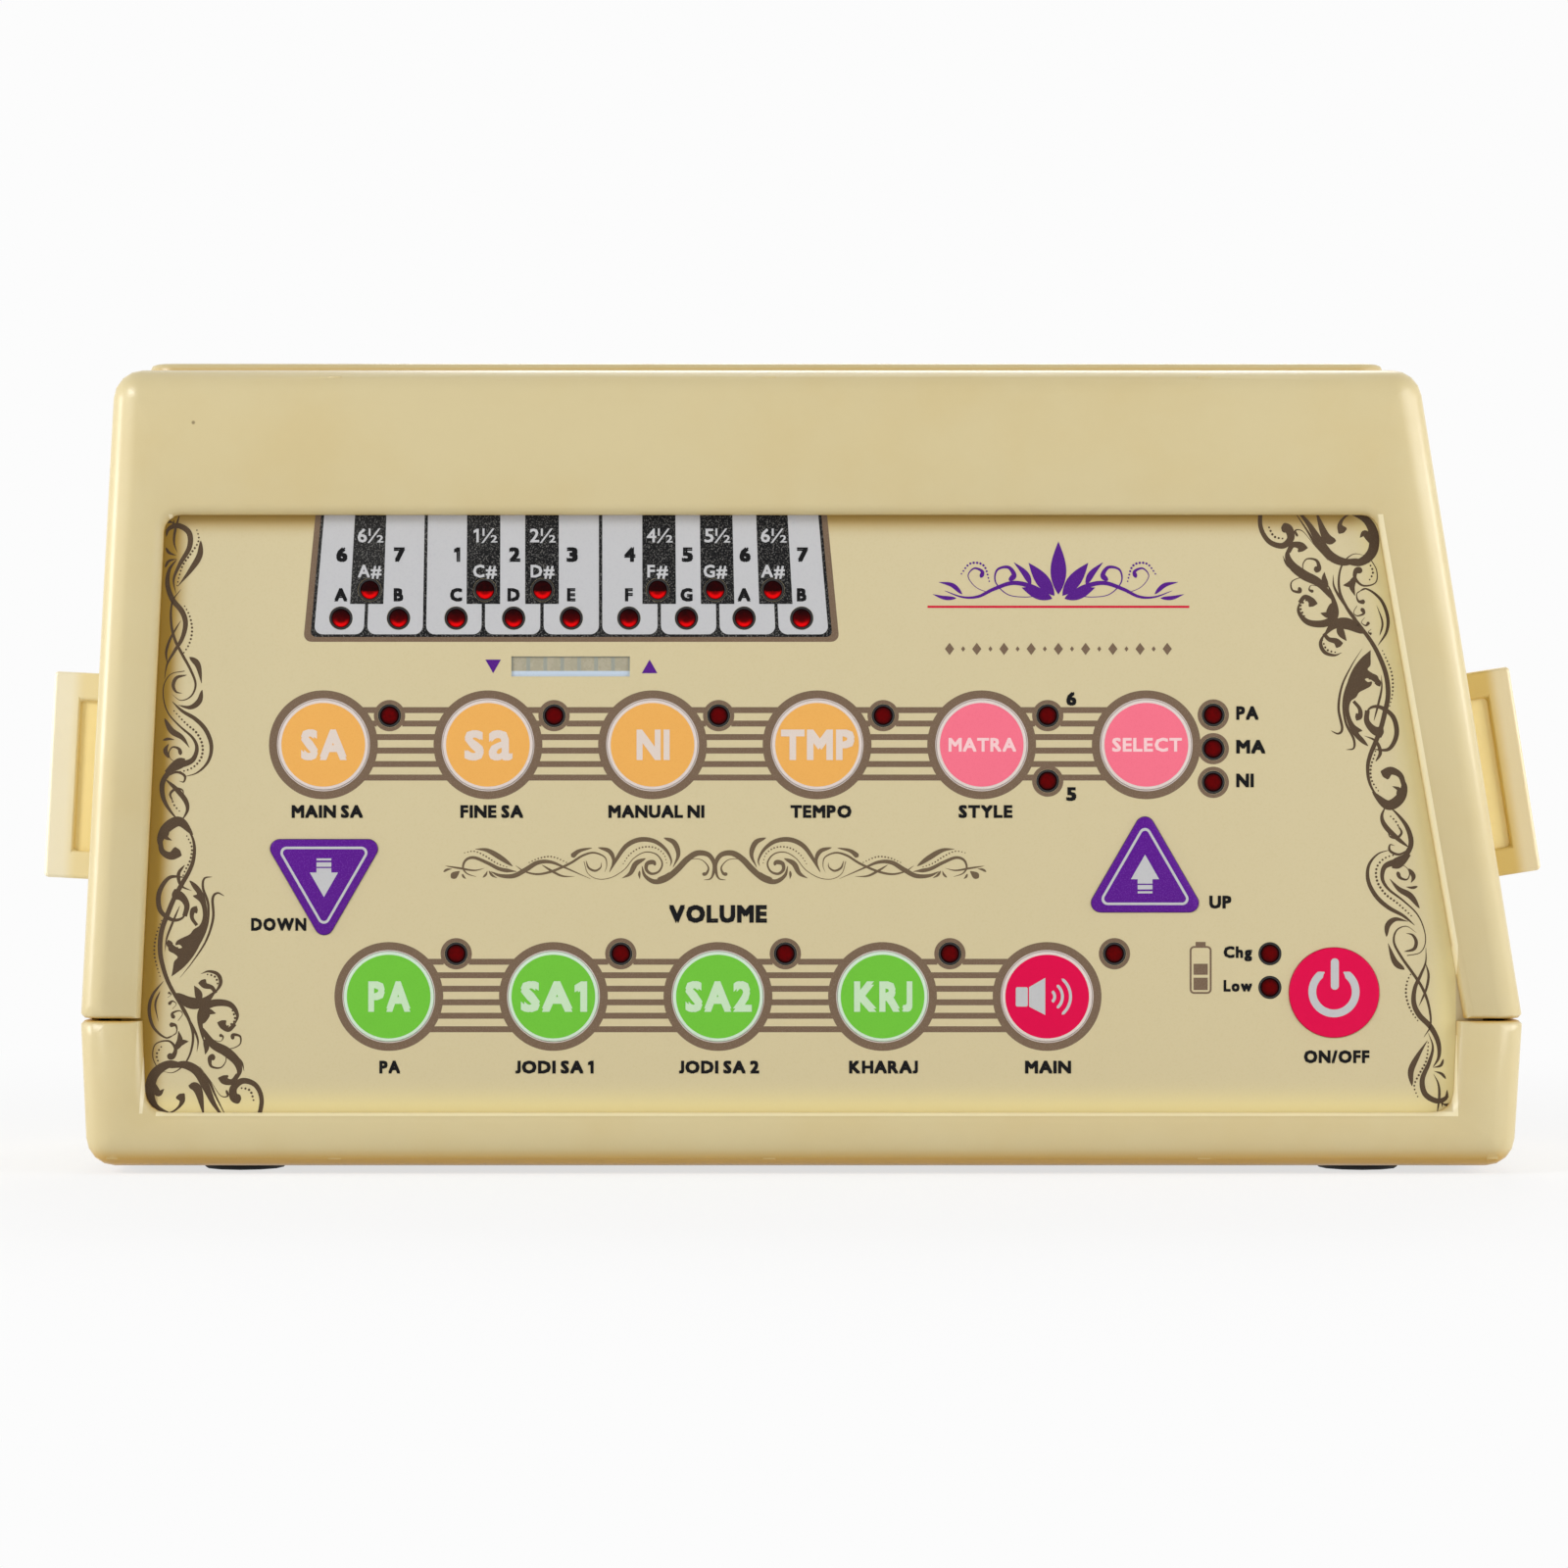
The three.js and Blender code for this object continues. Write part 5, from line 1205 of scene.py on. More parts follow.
@dataclass(frozen=True)
class Panel:
    """Places on the keypad as x and z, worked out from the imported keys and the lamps' steps."""

    film: float  # depth of the film's front
    key_face: float  # depth of a key's front
    radius: float = 6.95  # of a round key
    lamp_reach: float = 10.2  # from a key of the upper row to its lamp
    lamp_rise: float = 4.5
    style_drop: float = 5.6  # from a key's middle down to the second lamp beside it
    stack_reach: float = 10.35
    stack_rise: float = 4.6
    lamp_step: float = 5.2  # between two lamps of a stack
    low_reach: float = 10.4
    low_rise: float = 6.6
    charge_reach: float = 9.9
    charge_rise: float = 6.0
    note_pitch: float = 8.89
    note_shift: float = 2.7  # from the first key to the first natural's lamp
    note_rise: float = 19.55
    sharp_rise: float = 4.35
    upper_nodes: tuple[str, ...] = (
        "key_main_sa", "key_fine_sa", "key_manual_ni", "key_tempo", "key_matra", "key_select",
    )
    lower_nodes: tuple[str, ...] = (
        "key_pa", "key_jodi_sa_1", "key_jodi_sa_2", "key_kharaj", "key_main_volume",
    )
    notes: str = "ABCDEFGAB"

    @staticmethod
    def spot(node: str) -> np.ndarray:
        """Gives x and z of the middle of a node."""
        return middle(node)[[0, 2]]

    def upper_lamps(self) -> list[np.ndarray]:
        """Gives the lamps beside the first five keys of the upper row, and the second one of the fifth."""
        beside = [self.spot(node) + (self.lamp_reach, self.lamp_rise) for node in self.upper_nodes[:-1]]
        return [*beside, self.spot(self.upper_nodes[-2]) + (self.lamp_reach, -self.style_drop)]

    def stack_lamps(self) -> list[np.ndarray]:
        """Gives the three lamps beside the last key of the upper row."""
        top = self.spot(self.upper_nodes[-1]) + (self.stack_reach, self.stack_rise)
        return [top - (0, self.lamp_step * step) for step in range(3)]

    def lower_lamps(self) -> list[np.ndarray]:
        """Gives the lamps beside the keys of the lower row."""
        return [self.spot(node) + (self.low_reach, self.low_rise) for node in self.lower_nodes]

    def charge_lamps(self) -> list[np.ndarray]:
        """Gives the two lamps beside the power key."""
        top = self.spot("key_power") + (-self.charge_reach, self.charge_rise)
        return [top - (0, self.lamp_step * step) for step in range(2)]

    def natural_lamps(self) -> list[np.ndarray]:
        """Gives the lamps of the nine naturals in the keyboard picture."""
        first = self.spot(self.upper_nodes[0]) + (self.note_shift, self.note_rise)
        return [first + (self.note_pitch * step, 0) for step in range(len(self.notes))]

    def sharps(self) -> list[int]:
        """Gives the numbers of the naturals that a sharp follows."""
        return [step for step, note in enumerate(self.notes) if note not in "BE"]

    def sharp_lamps(self) -> list[np.ndarray]:
        """Gives the lamps of the sharps, half a pitch past their naturals."""
        naturals = self.natural_lamps()
        return [naturals[step] + (self.note_pitch / 2, self.sharp_rise) for step in self.sharps()]

    def row_lamps(self) -> list[np.ndarray]:
        """Gives the lamps beside the keys of both rows."""
        return [*self.upper_lamps(), *self.stack_lamps(), *self.lower_lamps()]

    def lamps(self) -> list[np.ndarray]:
        """Gives every lamp of the keypad."""
        return [*self.natural_lamps(), *self.sharp_lamps(), *self.row_lamps(), *self.charge_lamps()]


@dataclass(frozen=True)
class Triangle:
    """The outline of a triangular key, with its point up or down."""

    node: str
    up: bool
    width: float = 18.7  # between the corners as they would be without their rounding
    height: float = 16.2
    radius: float = 1.45
    flange: float = 0.9  # how far it reaches out behind the film

    def centre(self) -> np.ndarray:
        """Gives the middle of the sharp outline's height; the node's box shows where its flat side is.

        Returns:
            Its x and z.
        """
        low, high = corner(self.node)
        reach = self.flange + self.height / 2
        return np.array([(low[0] + high[0]) / 2, low[2] + reach if self.up else high[2] - reach])

    def corners(self) -> np.ndarray:
        """Gives the three sharp corners, counter-clockwise as seen from the front.

        Returns:
            One row for each corner.
        """
        sign = 1 if self.up else -1
        half, rise = self.width / 2 * sign, self.height / 2 * sign
        return self.centre() + np.array([[-half, -rise], [half, -rise], [0, rise]])

    def line(self, inset: float, radius: float) -> np.ndarray:
        """Gives an outline that lies inside the edge, with a rounding of its own."""
        return rounded(shrunk(self.corners(), inset), radius, 8)

    def outline(self, growth: float = 0.0) -> np.ndarray:
        """Gives the rounded outline, grown outwards, or drawn in if the growth is negative."""
        return rounded(shrunk(self.corners(), -growth), max(self.radius + growth, 0.5), 10)


@dataclass
class StrapLug:
    """A strap lug: two arms from the side wall, a bar between them, and a thin web deep in the slot; their
    tones are painted light.
    """

    node: str
    foot: tuple[float, float]  # middle of its foot on the wall, as x and z
    side: int  # -1 on the left and 1 on the right
    lean: float  # of the wall, in degrees
    reach: float  # of the bar, out from the wall
    start: float = 0.06  # room between the wall and the loop
    rise: float = 16.3  # half its height
    slot_reach: float = 5.05
    slot_rise: float = 11.9  # half the slot's height
    web: float = 1.2
    web_lap: float = 0.5  # of the web in the loop
    recess: float = 1.1  # of the web in the slot
    edge: float = 0.7

    def _set(self, points: Sequence[tuple[float, float]]) -> np.ndarray:
        """Turns places out from the wall and up along it into x and z.

        Args:
            points: The places.

        Returns:
            The same places as x and z.
        """
        tilt = math.radians(self.lean)
        out = np.array([self.side * math.cos(tilt), math.sin(tilt)])
        up = np.array([-self.side * math.sin(tilt), math.cos(tilt)])
        flat = np.array(points, float)
        return np.array(self.foot) + flat[:, :1] * out + flat[:, 1:] * up

    def build(self) -> None:
        """Cuts the loop and its web from flat outlines, and rounds every edge of the loop."""
        low, high = corner(self.node)
        start, reach, rise, slot, inner = self.start, self.reach, self.rise, self.slot_reach, self.slot_rise
        loop = [
            (start, -rise), (reach, -rise), (reach, rise), (start, rise),
            (start, inner), (slot, inner), (slot, -inner), (start, -inner),
        ]
        body = Solid()
        body.add(*plate([self._set(loop)], low[1], high[1]))
        # the lug's tone is the case plastic painted lighter, with a painted shade band
        tone = Palette.left_lug if self.side < 0 else Palette.right_lug
        piece = body.build(f"{self.node}_loop", tone, "case")
        soften(piece, self.edge, 4, 30)
        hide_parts(self.node)
        wide, tall, front = slot + self.web_lap, inner + self.web_lap, low[1] + self.recess
        web = Solid()
        web.add(*plate([self._set(rectangle(start, wide, -tall, tall))], front, front + self.web))
        web.build(f"{self.node}_web", Palette.web, "case")


@dataclass
class Housing:
    """The two shells, the two panels and the two strap lugs."""

    edge: float = 0.3

    def build(self) -> None:
        """Refines the moulded parts and dresses them."""
        Refined.build("upper_shell", Palette.case, self.edge)
        Refined.build("lower_shell", Palette.case, self.edge)
        StrapLug("left_strap_lug", (-108.31, 61.3), -1, 3.0, 9.5).build()
        StrapLug("right_strap_lug", (106.66, 61.3), 1, 9.0, 9.25).build()
        Refined.build("front_panel", Palette.rear_plate)
        Refined.build("rear_panel", Palette.rear_plate)


@dataclass
class Film:
    """The printed film on the front panel, with truly round holes."""

    panel: Panel
    seam: float = 23.9  # height of the seam between the shells
    left_lean: float = 2.8  # of its edge above the seam, in degrees
    right_lean: float = 9.9
    corner: float = 1.5
    key_room: float = 0.06
    lamp_hole: float = 1.8

    def outline(self) -> np.ndarray:
        """Gives the edge of the sheet: upright up to the seam, and leaning inwards above it.

        Returns:
            The edge, counter-clockwise.
        """
        low, high = corner("panel_overlay")
        rise = high[2] - self.seam
        left = low[0] + rise * math.tan(math.radians(self.left_lean))
        right = high[0] - rise * math.tan(math.radians(self.right_lean))
        points = [
            (low[0], low[2]), (high[0], low[2]), (high[0], self.seam),
            (right, high[2]), (left, high[2]), (low[0], self.seam),
        ]
        return rounded(np.array(points), self.corner, 6)

    def holes(self) -> list[np.ndarray]:
        """Gives the holes for the keys, the lamps and the bar display.

        Returns:
            One outline for each hole.
        """
        nodes = [*self.panel.upper_nodes, *self.panel.lower_nodes, "key_power"]
        rounds = [circle(self.panel.spot(node), self.panel.radius + self.key_room, 96) for node in nodes]
        triangles = (Triangle("key_down", False), Triangle("key_up", True))
        arrows = [triangle.outline(self.key_room) for triangle in triangles]
        lamps = [circle(lamp, self.lamp_hole, 32) for lamp in self.panel.lamps()]
        return [*rounds, *arrows, *lamps, BarDisplay.window()]

    def build(self) -> None:
        """Fills the sheet between its edge and its holes."""
        low, high = corner("panel_overlay")
        sheet = Solid()
        sheet.add(*plate([self.outline(), *self.holes()], low[1], high[1]))
        piece = sheet.build("overlay_film", Palette.film, "case")
        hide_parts("panel_overlay")


@dataclass
class BarDisplay:
    """The bar display behind its window: a body, a bright strip below and seven cells between ribs."""

    count: int = 7
    width: float = 18.3
    height: float = 3.1
    rib: float = 0.6
    strip: float = 0.85
    top_strip: float = 0.12

    @classmethod
    def window(cls) -> np.ndarray:
        """Gives the outline of the window, counter-clockwise."""
        (x, z), half, rise = Panel.spot("bar_display"), cls.width / 2, cls.height / 2
        return rectangle(x - half, x + half, z - rise, z + rise)

    def build(self) -> None:
        """Builds the body, the strip, the ribs as one sheet, and the cells on it."""
        Refined.build("bar_display", Palette.bar_body)
        window = self.window()
        (left, low), (right, high) = window.min(axis=0), window.max(axis=0)
        foot, pitch = low + self.strip, (right - left) / self.count
        starts = left + pitch * np.arange(self.count) + self.rib / 2
        cells = [rectangle(start, start + pitch - self.rib, foot, high - self.top_strip) for start in starts]
        self._layer("bar_strip", Palette.bar_base, [rectangle(left, right, low, foot)], 0.02, 0.4)
        self._layer("bar_ribs", Palette.bar_rib, [rectangle(left, right, foot, high)], 0.01, 0.4)
        self._layer("bar_cells", Palette.bar_cell, cells, 0.016, 0.3)

    @staticmethod
    def _layer(name: str, finish: Finish, outlines: Sequence[np.ndarray], rise: float, depth: float) -> None:
        """Builds plates on the face of the display.

        Args:
            name: Name of the piece.
            finish: Its finish.
            outlines: Outlines of the plates.
            rise: How far they stand out in front of the face.
            depth: How far they reach in behind it.
        """
        face = corner("bar_display")[0][1]
        layer = Solid()
        for outline in outlines:
            layer.add(*plate([outline], face - rise, face + depth))
        layer.build(name, finish, "case")


class Glow(Enum):
    """Where the painted highlight lies on an unlit lens."""

    CRESCENT = "a bright crescent along its lower edge"
    HALF = "dark above, with a crescent below"
    CORE = "a dull red core"

    def share(self, reach: np.ndarray, angle: np.ndarray) -> np.ndarray:
        """Gives how bright the painted highlight makes each point of the lens.

        Args:
            reach: Distance from the axis as a share of the radius.
            angle: Angle round the axis, from the right and up.

        Returns:
            Brightness from 0 to 1.
        """
        height = reach * np.sin(angle)
        rim = np.exp(-((reach - 0.74) / 0.2) ** 2)
        lower = np.clip(-np.sin(angle), 0, 1)
        bright = {
            Glow.CRESCENT: 0.15 - 0.12 * height + 0.8 * rim * lower ** 1.5,
            Glow.HALF: 0.06 + 0.24 * (height < -0.15) + 0.8 * rim * lower,
            Glow.CORE: 0.22 - 0.22 * reach ** 5,
        }
        return np.clip(bright[self], 0, 1) * (reach < 0.97)


@dataclass
class Lamps:
    """The lamps: a domed lens in a black collar, in each lamp hole of the film."""

    panel: Panel
    radius: float = 1.4
    collar: float = 1.78  # outer radius of the collar
    chamfer: float = 0.08
    room: float = 0.02  # between the lens and the collar
    collar_setback: float = 0.05  # behind the front of the film
    setback: float = 0.06  # of the lens's tip, likewise
    dome: float = 0.14
    depth: float = 3.0  # how far they reach back
    sides: int = 32

    def build(self) -> None:
        """Builds the lenses of each group, and every collar."""
        naturals, sharps = self.panel.natural_lamps(), self.panel.sharp_lamps()
        others = self.panel.lamps()[len(naturals) + len(sharps):]
        self._lenses("lamps_naturals", naturals, Glow.CRESCENT)
        self._lenses("lamps_sharps", sharps, Glow.HALF)
        self._lenses("lamps_keys", others, Glow.CORE)
        front, bore = self.panel.film + self.collar_setback, self.radius + self.room
        profile = [
            (self.collar, front + self.chamfer), (self.collar - self.chamfer, front),
            (self.radius + self.chamfer, front), (bore, front + 0.5), (bore, front + self.depth),
            (self.collar, front + self.depth),
        ]
        collars = Solid()
        for x, z in self.panel.lamps():
            collars.grid(turned(profile, (x, 0, z), self.sides), loop=True)
        collars.build("lamp_collars", Palette.well, "case")

    def _lenses(self, name: str, spots: Sequence[np.ndarray], glow: Glow) -> None:
        """Builds one group of lenses: the front bulges by the dome times the root of 1 - share squared.

        Args:
            name: Name of the piece.
            spots: Axes of the lenses.
            glow: Where their painted highlight lies.
        """
        shares = np.sin(np.linspace(0.02, 1, 12) * math.pi / 2)
        front = self.panel.film + self.setback
        bulge = front + self.dome * (1 - np.sqrt(1 - shares ** 2))
        profile = [*zip(shares * self.radius, bulge), (self.radius, front + self.depth)]
        angle = np.arange(self.sides) * TURN / self.sides
        reach = np.array([*shares, 1.0])[:, None] * np.ones_like(angle)
        glint = glow.share(reach, angle[None, :] * np.ones_like(reach))
        group = Solid()
        for x, z in spots:
            group.grid(turned(profile, (x, 0, z), self.sides), glint=glint)
        group.build(name, Palette.lens, "case")


@dataclass(frozen=True)
class Legend:
    """What a round key says."""

    words: str
    cap: float  # height of a capital
    width: float
    rise: float = 0.0  # of a capital's middle above the key's
    weight: float = 0.042  # how far the strokes grow, as a share of the type size


@dataclass
class Keys:
    """The fourteen keys: an off-white cap with a coloured disc, and its legend."""

    panel: Panel
    disc: float = 6.46  # radius of the coloured disc
    edge: float = 0.18
    crown: float = 0.06  # how far the disc stands out in its middle
    disc_film: float = 0.012
    flange: float = 0.5
    flange_depth: float = 1.1
    tip: float = 0.02  # radius at which a turned face closes
    sides: int = 96

    def build(self) -> None:
        """Builds every key."""
        upper = [
            Legend("SA", 4.7, 7.05), Legend("sa", 6.7, 7.4, 1.0, 0.02), Legend("NI", 4.7, 5.1),
            Legend("TMP", 4.7, 11.35), Legend("MATRA", 2.12, 10.45, 0.0, 0.03),
            Legend("SELECT", 2.12, 10.75, 0.0, 0.03),
        ]
        lower = [
            Legend("PA", 4.7, 6.5), Legend("SA1", 4.7, 10.25), Legend("SA2", 4.7, 10.25),
            Legend("KRJ", 4.7, 9.0),
        ]
        tones = [Palette.orange] * 4 + [Palette.pink] * 2
        for node, legend, tone in zip(self.panel.upper_nodes, upper, tones):
            self.round_key(node, tone, True)
            self.words(node, legend, Palette.pink_legend if tone is Palette.pink else Palette.legend)
        for node, legend in zip(self.panel.lower_nodes, lower):
            self.round_key(node, Palette.green, True)
            self.words(node, legend, Palette.green_legend)
        self.round_key("key_main_volume", Palette.crimson, True)
        self.round_key("key_power", Palette.crimson, False)
        self.speaker_sign("key_main_volume")
        self.power_sign("key_power")
        for triangle in (Triangle("key_down", False), Triangle("key_up", True)):
            self.triangle_key(triangle)

    def _ink(self, finish: Finish) -> Ink:
        """Gives an ink for the face of a key."""
        return Ink(finish, self.panel.key_face - self.crown, 0)

    def round_key(self, node: str, tone: Finish, ringed: bool) -> None:
        """Builds a round key: the cap is revolved, and so is its disc, which rises in a flat crown.

        Args:
            node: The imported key.
            tone: Finish of the disc.
            ringed: True if an off-white rim is left round the disc.
        """
        low, high = corner(node)
        x, z = self.panel.spot(node)
        radius, front, back = self.panel.radius, low[1], high[1]
        flange, shoulder = radius + self.flange, back - self.flange_depth
        bend = arc((radius - self.edge, 0), self.edge, 0, 90, 6)
        profile = [
            (self.tip, back), (flange, back), (flange, shoulder), (radius, shoulder),
            *((reach, front + self.edge - drop) for reach, drop in bend), (self.tip, front),
        ]
        cap = Solid()
        cap.grid(turned(profile, (x, 0, z), self.sides))
        rim = Palette.green_ring if tone is Palette.green else Palette.ring
        piece = cap.build(f"{node}_cap", rim if ringed else tone, body_of(node), slot=tone.slot)
        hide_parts(node)
        reach, bottom = self.disc if ringed else radius - self.edge, front + 0.05
        shares = np.linspace(0.01, 1, 10)
        skin = front - self.disc_film - self.crown * (1 - shares ** 4) * 0.8
        face = [*zip(shares * reach, skin), (reach, bottom), (self.tip, bottom)]
        disc = Solid()
        disc.grid(turned(face, (x, 0, z), self.sides))
        disc.build(f"{node}_disc", tone, body_of(node))

    def words(self, node: str, legend: Legend, finish: Finish) -> None:
        """Prints a key's legend.

        Args:
            node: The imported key.
            legend: What it says.
            finish: The ink's finish.
        """
        ink = self._ink(finish)
        x, z = self.panel.spot(node)
        ink.text(legend.words, (x + 0.1, z + legend.rise), legend.cap, legend.width, legend.weight)
        ink.build(f"{node}_legend", body_of(node))

    def power_sign(self, node: str) -> None:
        """Prints the sign for power: an open ring with a bar in its gap.

        Args:
            node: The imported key.
        """
        x, z = self.panel.spot(node)
        ink = self._ink(Palette.white)
        ink.stroke(arc((x - 0.05, z + 0.15), 3.35, 116, 424, 72), 1.2)
        ink.box(x - 0.55, x + 0.7, z + 0.45, z + 5.3, 0.6)
        ink.build(f"{node}_sign", body_of(node))

    def speaker_sign(self, node: str) -> None:
        """Prints the sign for loudness: a loudspeaker and three arcs.

        Args:
            node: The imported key.
        """
        x, z = self.panel.spot(node)
        ink = self._ink(Palette.white)
        ink.box(x - 4.85, x - 3.0, z - 1.55, z + 1.45, 0.25)
        ink.slab(np.array([[-2.8, -1.55], [-0.3, -2.85], [-0.3, 2.9], [-2.8, 1.45]]) + (x, z))
        for radius in (1.05, 2.25, 3.5):
            ink.stroke(arc((x + 0.1, z), radius, -52, 52, 24), 0.46)
        ink.build(f"{node}_sign", body_of(node))

    def triangle_key(self, key: Triangle) -> None:
        """Builds a triangular key as a stack of outlines from its flange to its chamfered front.

        Args:
            key: Its outline.
        """
        low, high = corner(key.node)
        front, back = low[1], high[1]
        shoulder = back - self.flange_depth
        stack = (
            (key.flange, back), (key.flange, shoulder), (0.0, shoulder), (0.0, front + 0.16),
            (-0.05, front + 0.05), (-0.16, front),
        )
        rings = [np.insert(key.outline(growth), 1, depth, axis=1) for growth, depth in stack]
        cap = Solid()
        cap.grid(np.stack(rings))
        piece = cap.build(f"{key.node}_cap", Palette.purple, body_of(key.node))
        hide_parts(key.node)
        ink = Ink(Palette.white, front, 0)
        ink.band(key.line(1.12, 0.95), key.line(1.5, 0.6))
        (x, z), sign, half = key.centre(), 1 if key.up else -1, 1.14
        start = z - sign * 2.99
        for near, far in ((-0.05, 0.68), (0.89, 1.57), (1.86, 2.18)):
            ink.box(x - half, x + half, *sorted((start - sign * near, start - sign * far)))
        head = np.array([[-2.18, 0.0], [2.18, 0.0], [0.0, 3.8 * sign]])
        ink.slab((head + (x, start))[::sign])
        ink.build(f"{key.node}_sign", body_of(key.node))


KEY_LABELS = (  # words and widths, by row
    (("MAIN SA", 11.0), ("FINE SA", 9.7), ("MANUAL NI", 14.8), ("TEMPO", 9.4), ("STYLE", 8.3)),
    (("PA", 3.2), ("JODI SA 1", 12.1), ("JODI SA 2", 12.4), ("KHARAJ", 10.6), ("MAIN", 7.1)),
)
OTHER_LABELS = (  # node, words, place from its middle, height of a capital, width and weight
    ("key_jodi_sa_2", "VOLUME", (0.0, 12.75), 2.72, 15.1, 0.048),
    ("key_power", "ON/OFF", (0.4, -9.9), 1.97, 10.1, 0.044),
    ("key_down", "DOWN", (-7.0, -5.75), 1.97, 8.5, 0.044),
    ("key_up", "UP", (11.65, -5.8), 1.97, 3.4, 0.044),
)


@dataclass
class Print:
    """Everything printed on the film: rings, stripes, labels, the battery sign and the keyboard picture."""

    panel: Panel
    hole: float = 1.82  # radius that the print leaves free for a lamp
    lamp_ring: float = 2.42
    key_ring: tuple[float, float] = (7.12, 8.4)  # inner and outer radius of the brown ring
    pale_ring: float = 7.16  # outer radius of the off-white one
    stripe: float = 0.92
    stripe_count: int = 6
    stripe_pitch: float = 2.083
    stripe_rise: float = 0.15
    stripe_reach: float = 8.1  # from a key's middle to where its stripes start
    stripe_room: float = 2.1  # radius that they leave free for a lamp
    cap: float = 1.97  # height of a label's capitals
    battery_half: tuple[float, float] = (1.7, 3.7)
    picture_half: float = 38.8
    picture_line: float = 0.26
    picture_low: float = -2.5
    picture_top: float = 17.4
    sharp_half: float = 2.55
    sharp_drop: float = 2.16

    def __post_init__(self) -> None:
        """Opens the inks; a higher number is printed later. Bars and loops lie a hair behind the brown."""
        film = self.panel.film
        self.brown = Ink(Palette.brown, film, 0)
        self.bars = Ink(Palette.brown, film + 0.00045, 0)
        self.loops = Ink(Palette.brown, film + 0.0002, 0)
        self.umber = Ink(Palette.umber, film, 1)
        self.bronze = Ink(Palette.bronze, film, 1)
        self.black = Ink(Palette.black, film, 3)
        self.rings = Ink(Palette.ring, film, 1)
        self.white = Ink(Palette.white, film, 2)
        self.speckled = Ink(Palette.speckled, film, 1)
        self.digits = Ink(Palette.white, film, 3)
        self.violet = Ink(Palette.violet, film, 1)

    def build(self) -> None:
        """Prints every sign and makes each ink a piece."""
        self.key_rings()
        self.stripes(self.panel.upper_nodes)
        self.stripes(self.panel.lower_nodes)
        self.lamp_rings()
        self.labels()
        self.lamp_labels()
        self.battery()
        self.bar_marks()
        self.keyboard()
        Ornaments(self.umber, self.panel).draw_sides()
        Ornaments(self.bronze, self.panel).draw_middle()
        Motif(self.panel).build()
        for name, ink in vars(self).items():
            if isinstance(ink, Ink):
                ink.build(f"print_{name}", "case")

    def key_rings(self) -> None:
        """Draws an off-white and a brown ring round each ringed key."""
        for node in (*self.panel.upper_nodes, *self.panel.lower_nodes):
            spot = tuple(self.panel.spot(node))
            self.rings.ring(spot, self.panel.radius + 0.07, self.pale_ring, 96)
            self.brown.ring(spot, *self.key_ring, 96)

    def stripes(self, nodes: Sequence[str]) -> None:
        """Draws stripes between each two neighbours of a row, from ring to ring, and open round a lamp.

        Args:
            nodes: The keys of the row.
        """
        for before, after in zip(nodes, nodes[1:]):
            left, right = self.panel.spot(before), self.panel.spot(after)
            for step in range(self.stripe_count):
                rise = (step - (self.stripe_count - 1) / 2) * self.stripe_pitch + self.stripe_rise
                level, reach = left[1] + rise, math.sqrt(self.stripe_reach ** 2 - rise ** 2)
                ends = [left[0] + reach, right[0] - reach]
                for lamp in self.panel.row_lamps():
                    drop = max(abs(lamp[1] - level) - self.stripe / 2, 0.0)
                    if ends[0] < lamp[0] < ends[-1] and drop < self.hole:
                        room = math.sqrt(self.stripe_room ** 2 - drop ** 2)
                        ends[-1:-1] = [lamp[0] - room, lamp[0] + room]
                for start, stop in zip(ends[::2], ends[1::2]):
                    self.bars.box(start, stop, level - self.stripe / 2, level + self.stripe / 2)

    def lamp_rings(self) -> None:
        """Draws the ring round each lamp that has one."""
        for lamp in self.panel.row_lamps():
            self.loops.ring(lamp, self.hole, self.lamp_ring, 48)

    def labels(self) -> None:
        """Prints the labels below the keys and beside the triangles."""
        rows = (self.panel.upper_nodes, self.panel.lower_nodes)
        for nodes, shift, labels in zip(rows, ((0.6, -10.3), (0.15, -10.9)), KEY_LABELS):
            for node, (words, width) in zip(nodes, labels):
                self.black.text(words, self.panel.spot(node) + shift, self.cap, width)
        for node, words, shift, cap, width, weight in OTHER_LABELS:
            self.black.text(words, self.panel.spot(node) + shift, cap, width, weight)

    def lamp_labels(self) -> None:
        """Prints the small words beside the lamps."""
        style = self.panel.upper_lamps()[-2:]
        for lamp, words, rise in zip(style, "65", (2.6, -2.0)):
            self.black.text(words, (lamp[0] + 3.65, lamp[1] + rise), 2.1, 1.55)
        for lamp, words, width in zip(self.panel.stack_lamps(), ("PA", "MA", "NI"), (3.45, 4.5, 2.7)):
            self.black.text(words, (lamp[0] + 3.55 + width / 2, lamp[1] + 0.3), 2.1, width)
        for lamp, words in zip(self.panel.charge_lamps(), ("Chg", "Low")):
            self.black.text(words, (lamp[0] - 4.95, lamp[1] + 0.25), 1.8, 4.4)

    def battery(self) -> None:
        """Draws the battery sign left of the charging lamps."""
        x, z = self.panel.charge_lamps()[0] - (10.7, 2.5)
        half, rise = self.battery_half
        outer = rectangle(x - half, x + half, z - rise, z + rise)
        self.brown.band(rounded(outer, 0.7, 6), rounded(shrunk(outer, 0.3), 0.4, 6))
        for reach, low, high in ((0.78, 3.66, 4.33), (1.1, -3.1, -1.2), (1.1, -0.75, 0.95)):
            self.brown.box(x - reach, x + reach, z + low, z + high)

    def bar_marks(self) -> None:
        """Draws the two small triangles beside the bar display."""
        x, z = self.panel.spot("bar_display")
        for shift, sign in ((-11.95, -1), (12.2, 1)):
            points = np.array([[-1.2, -1.05], [1.2, -1.05], [0, 1.05]]) * sign + (x + shift, z)
            self.violet.slab(points)

    def _centre(self) -> np.ndarray:
        """Gives the middle of the row of the naturals' lamps."""
        naturals = self.panel.natural_lamps()
        return (naturals[0] + naturals[-1]) / 2

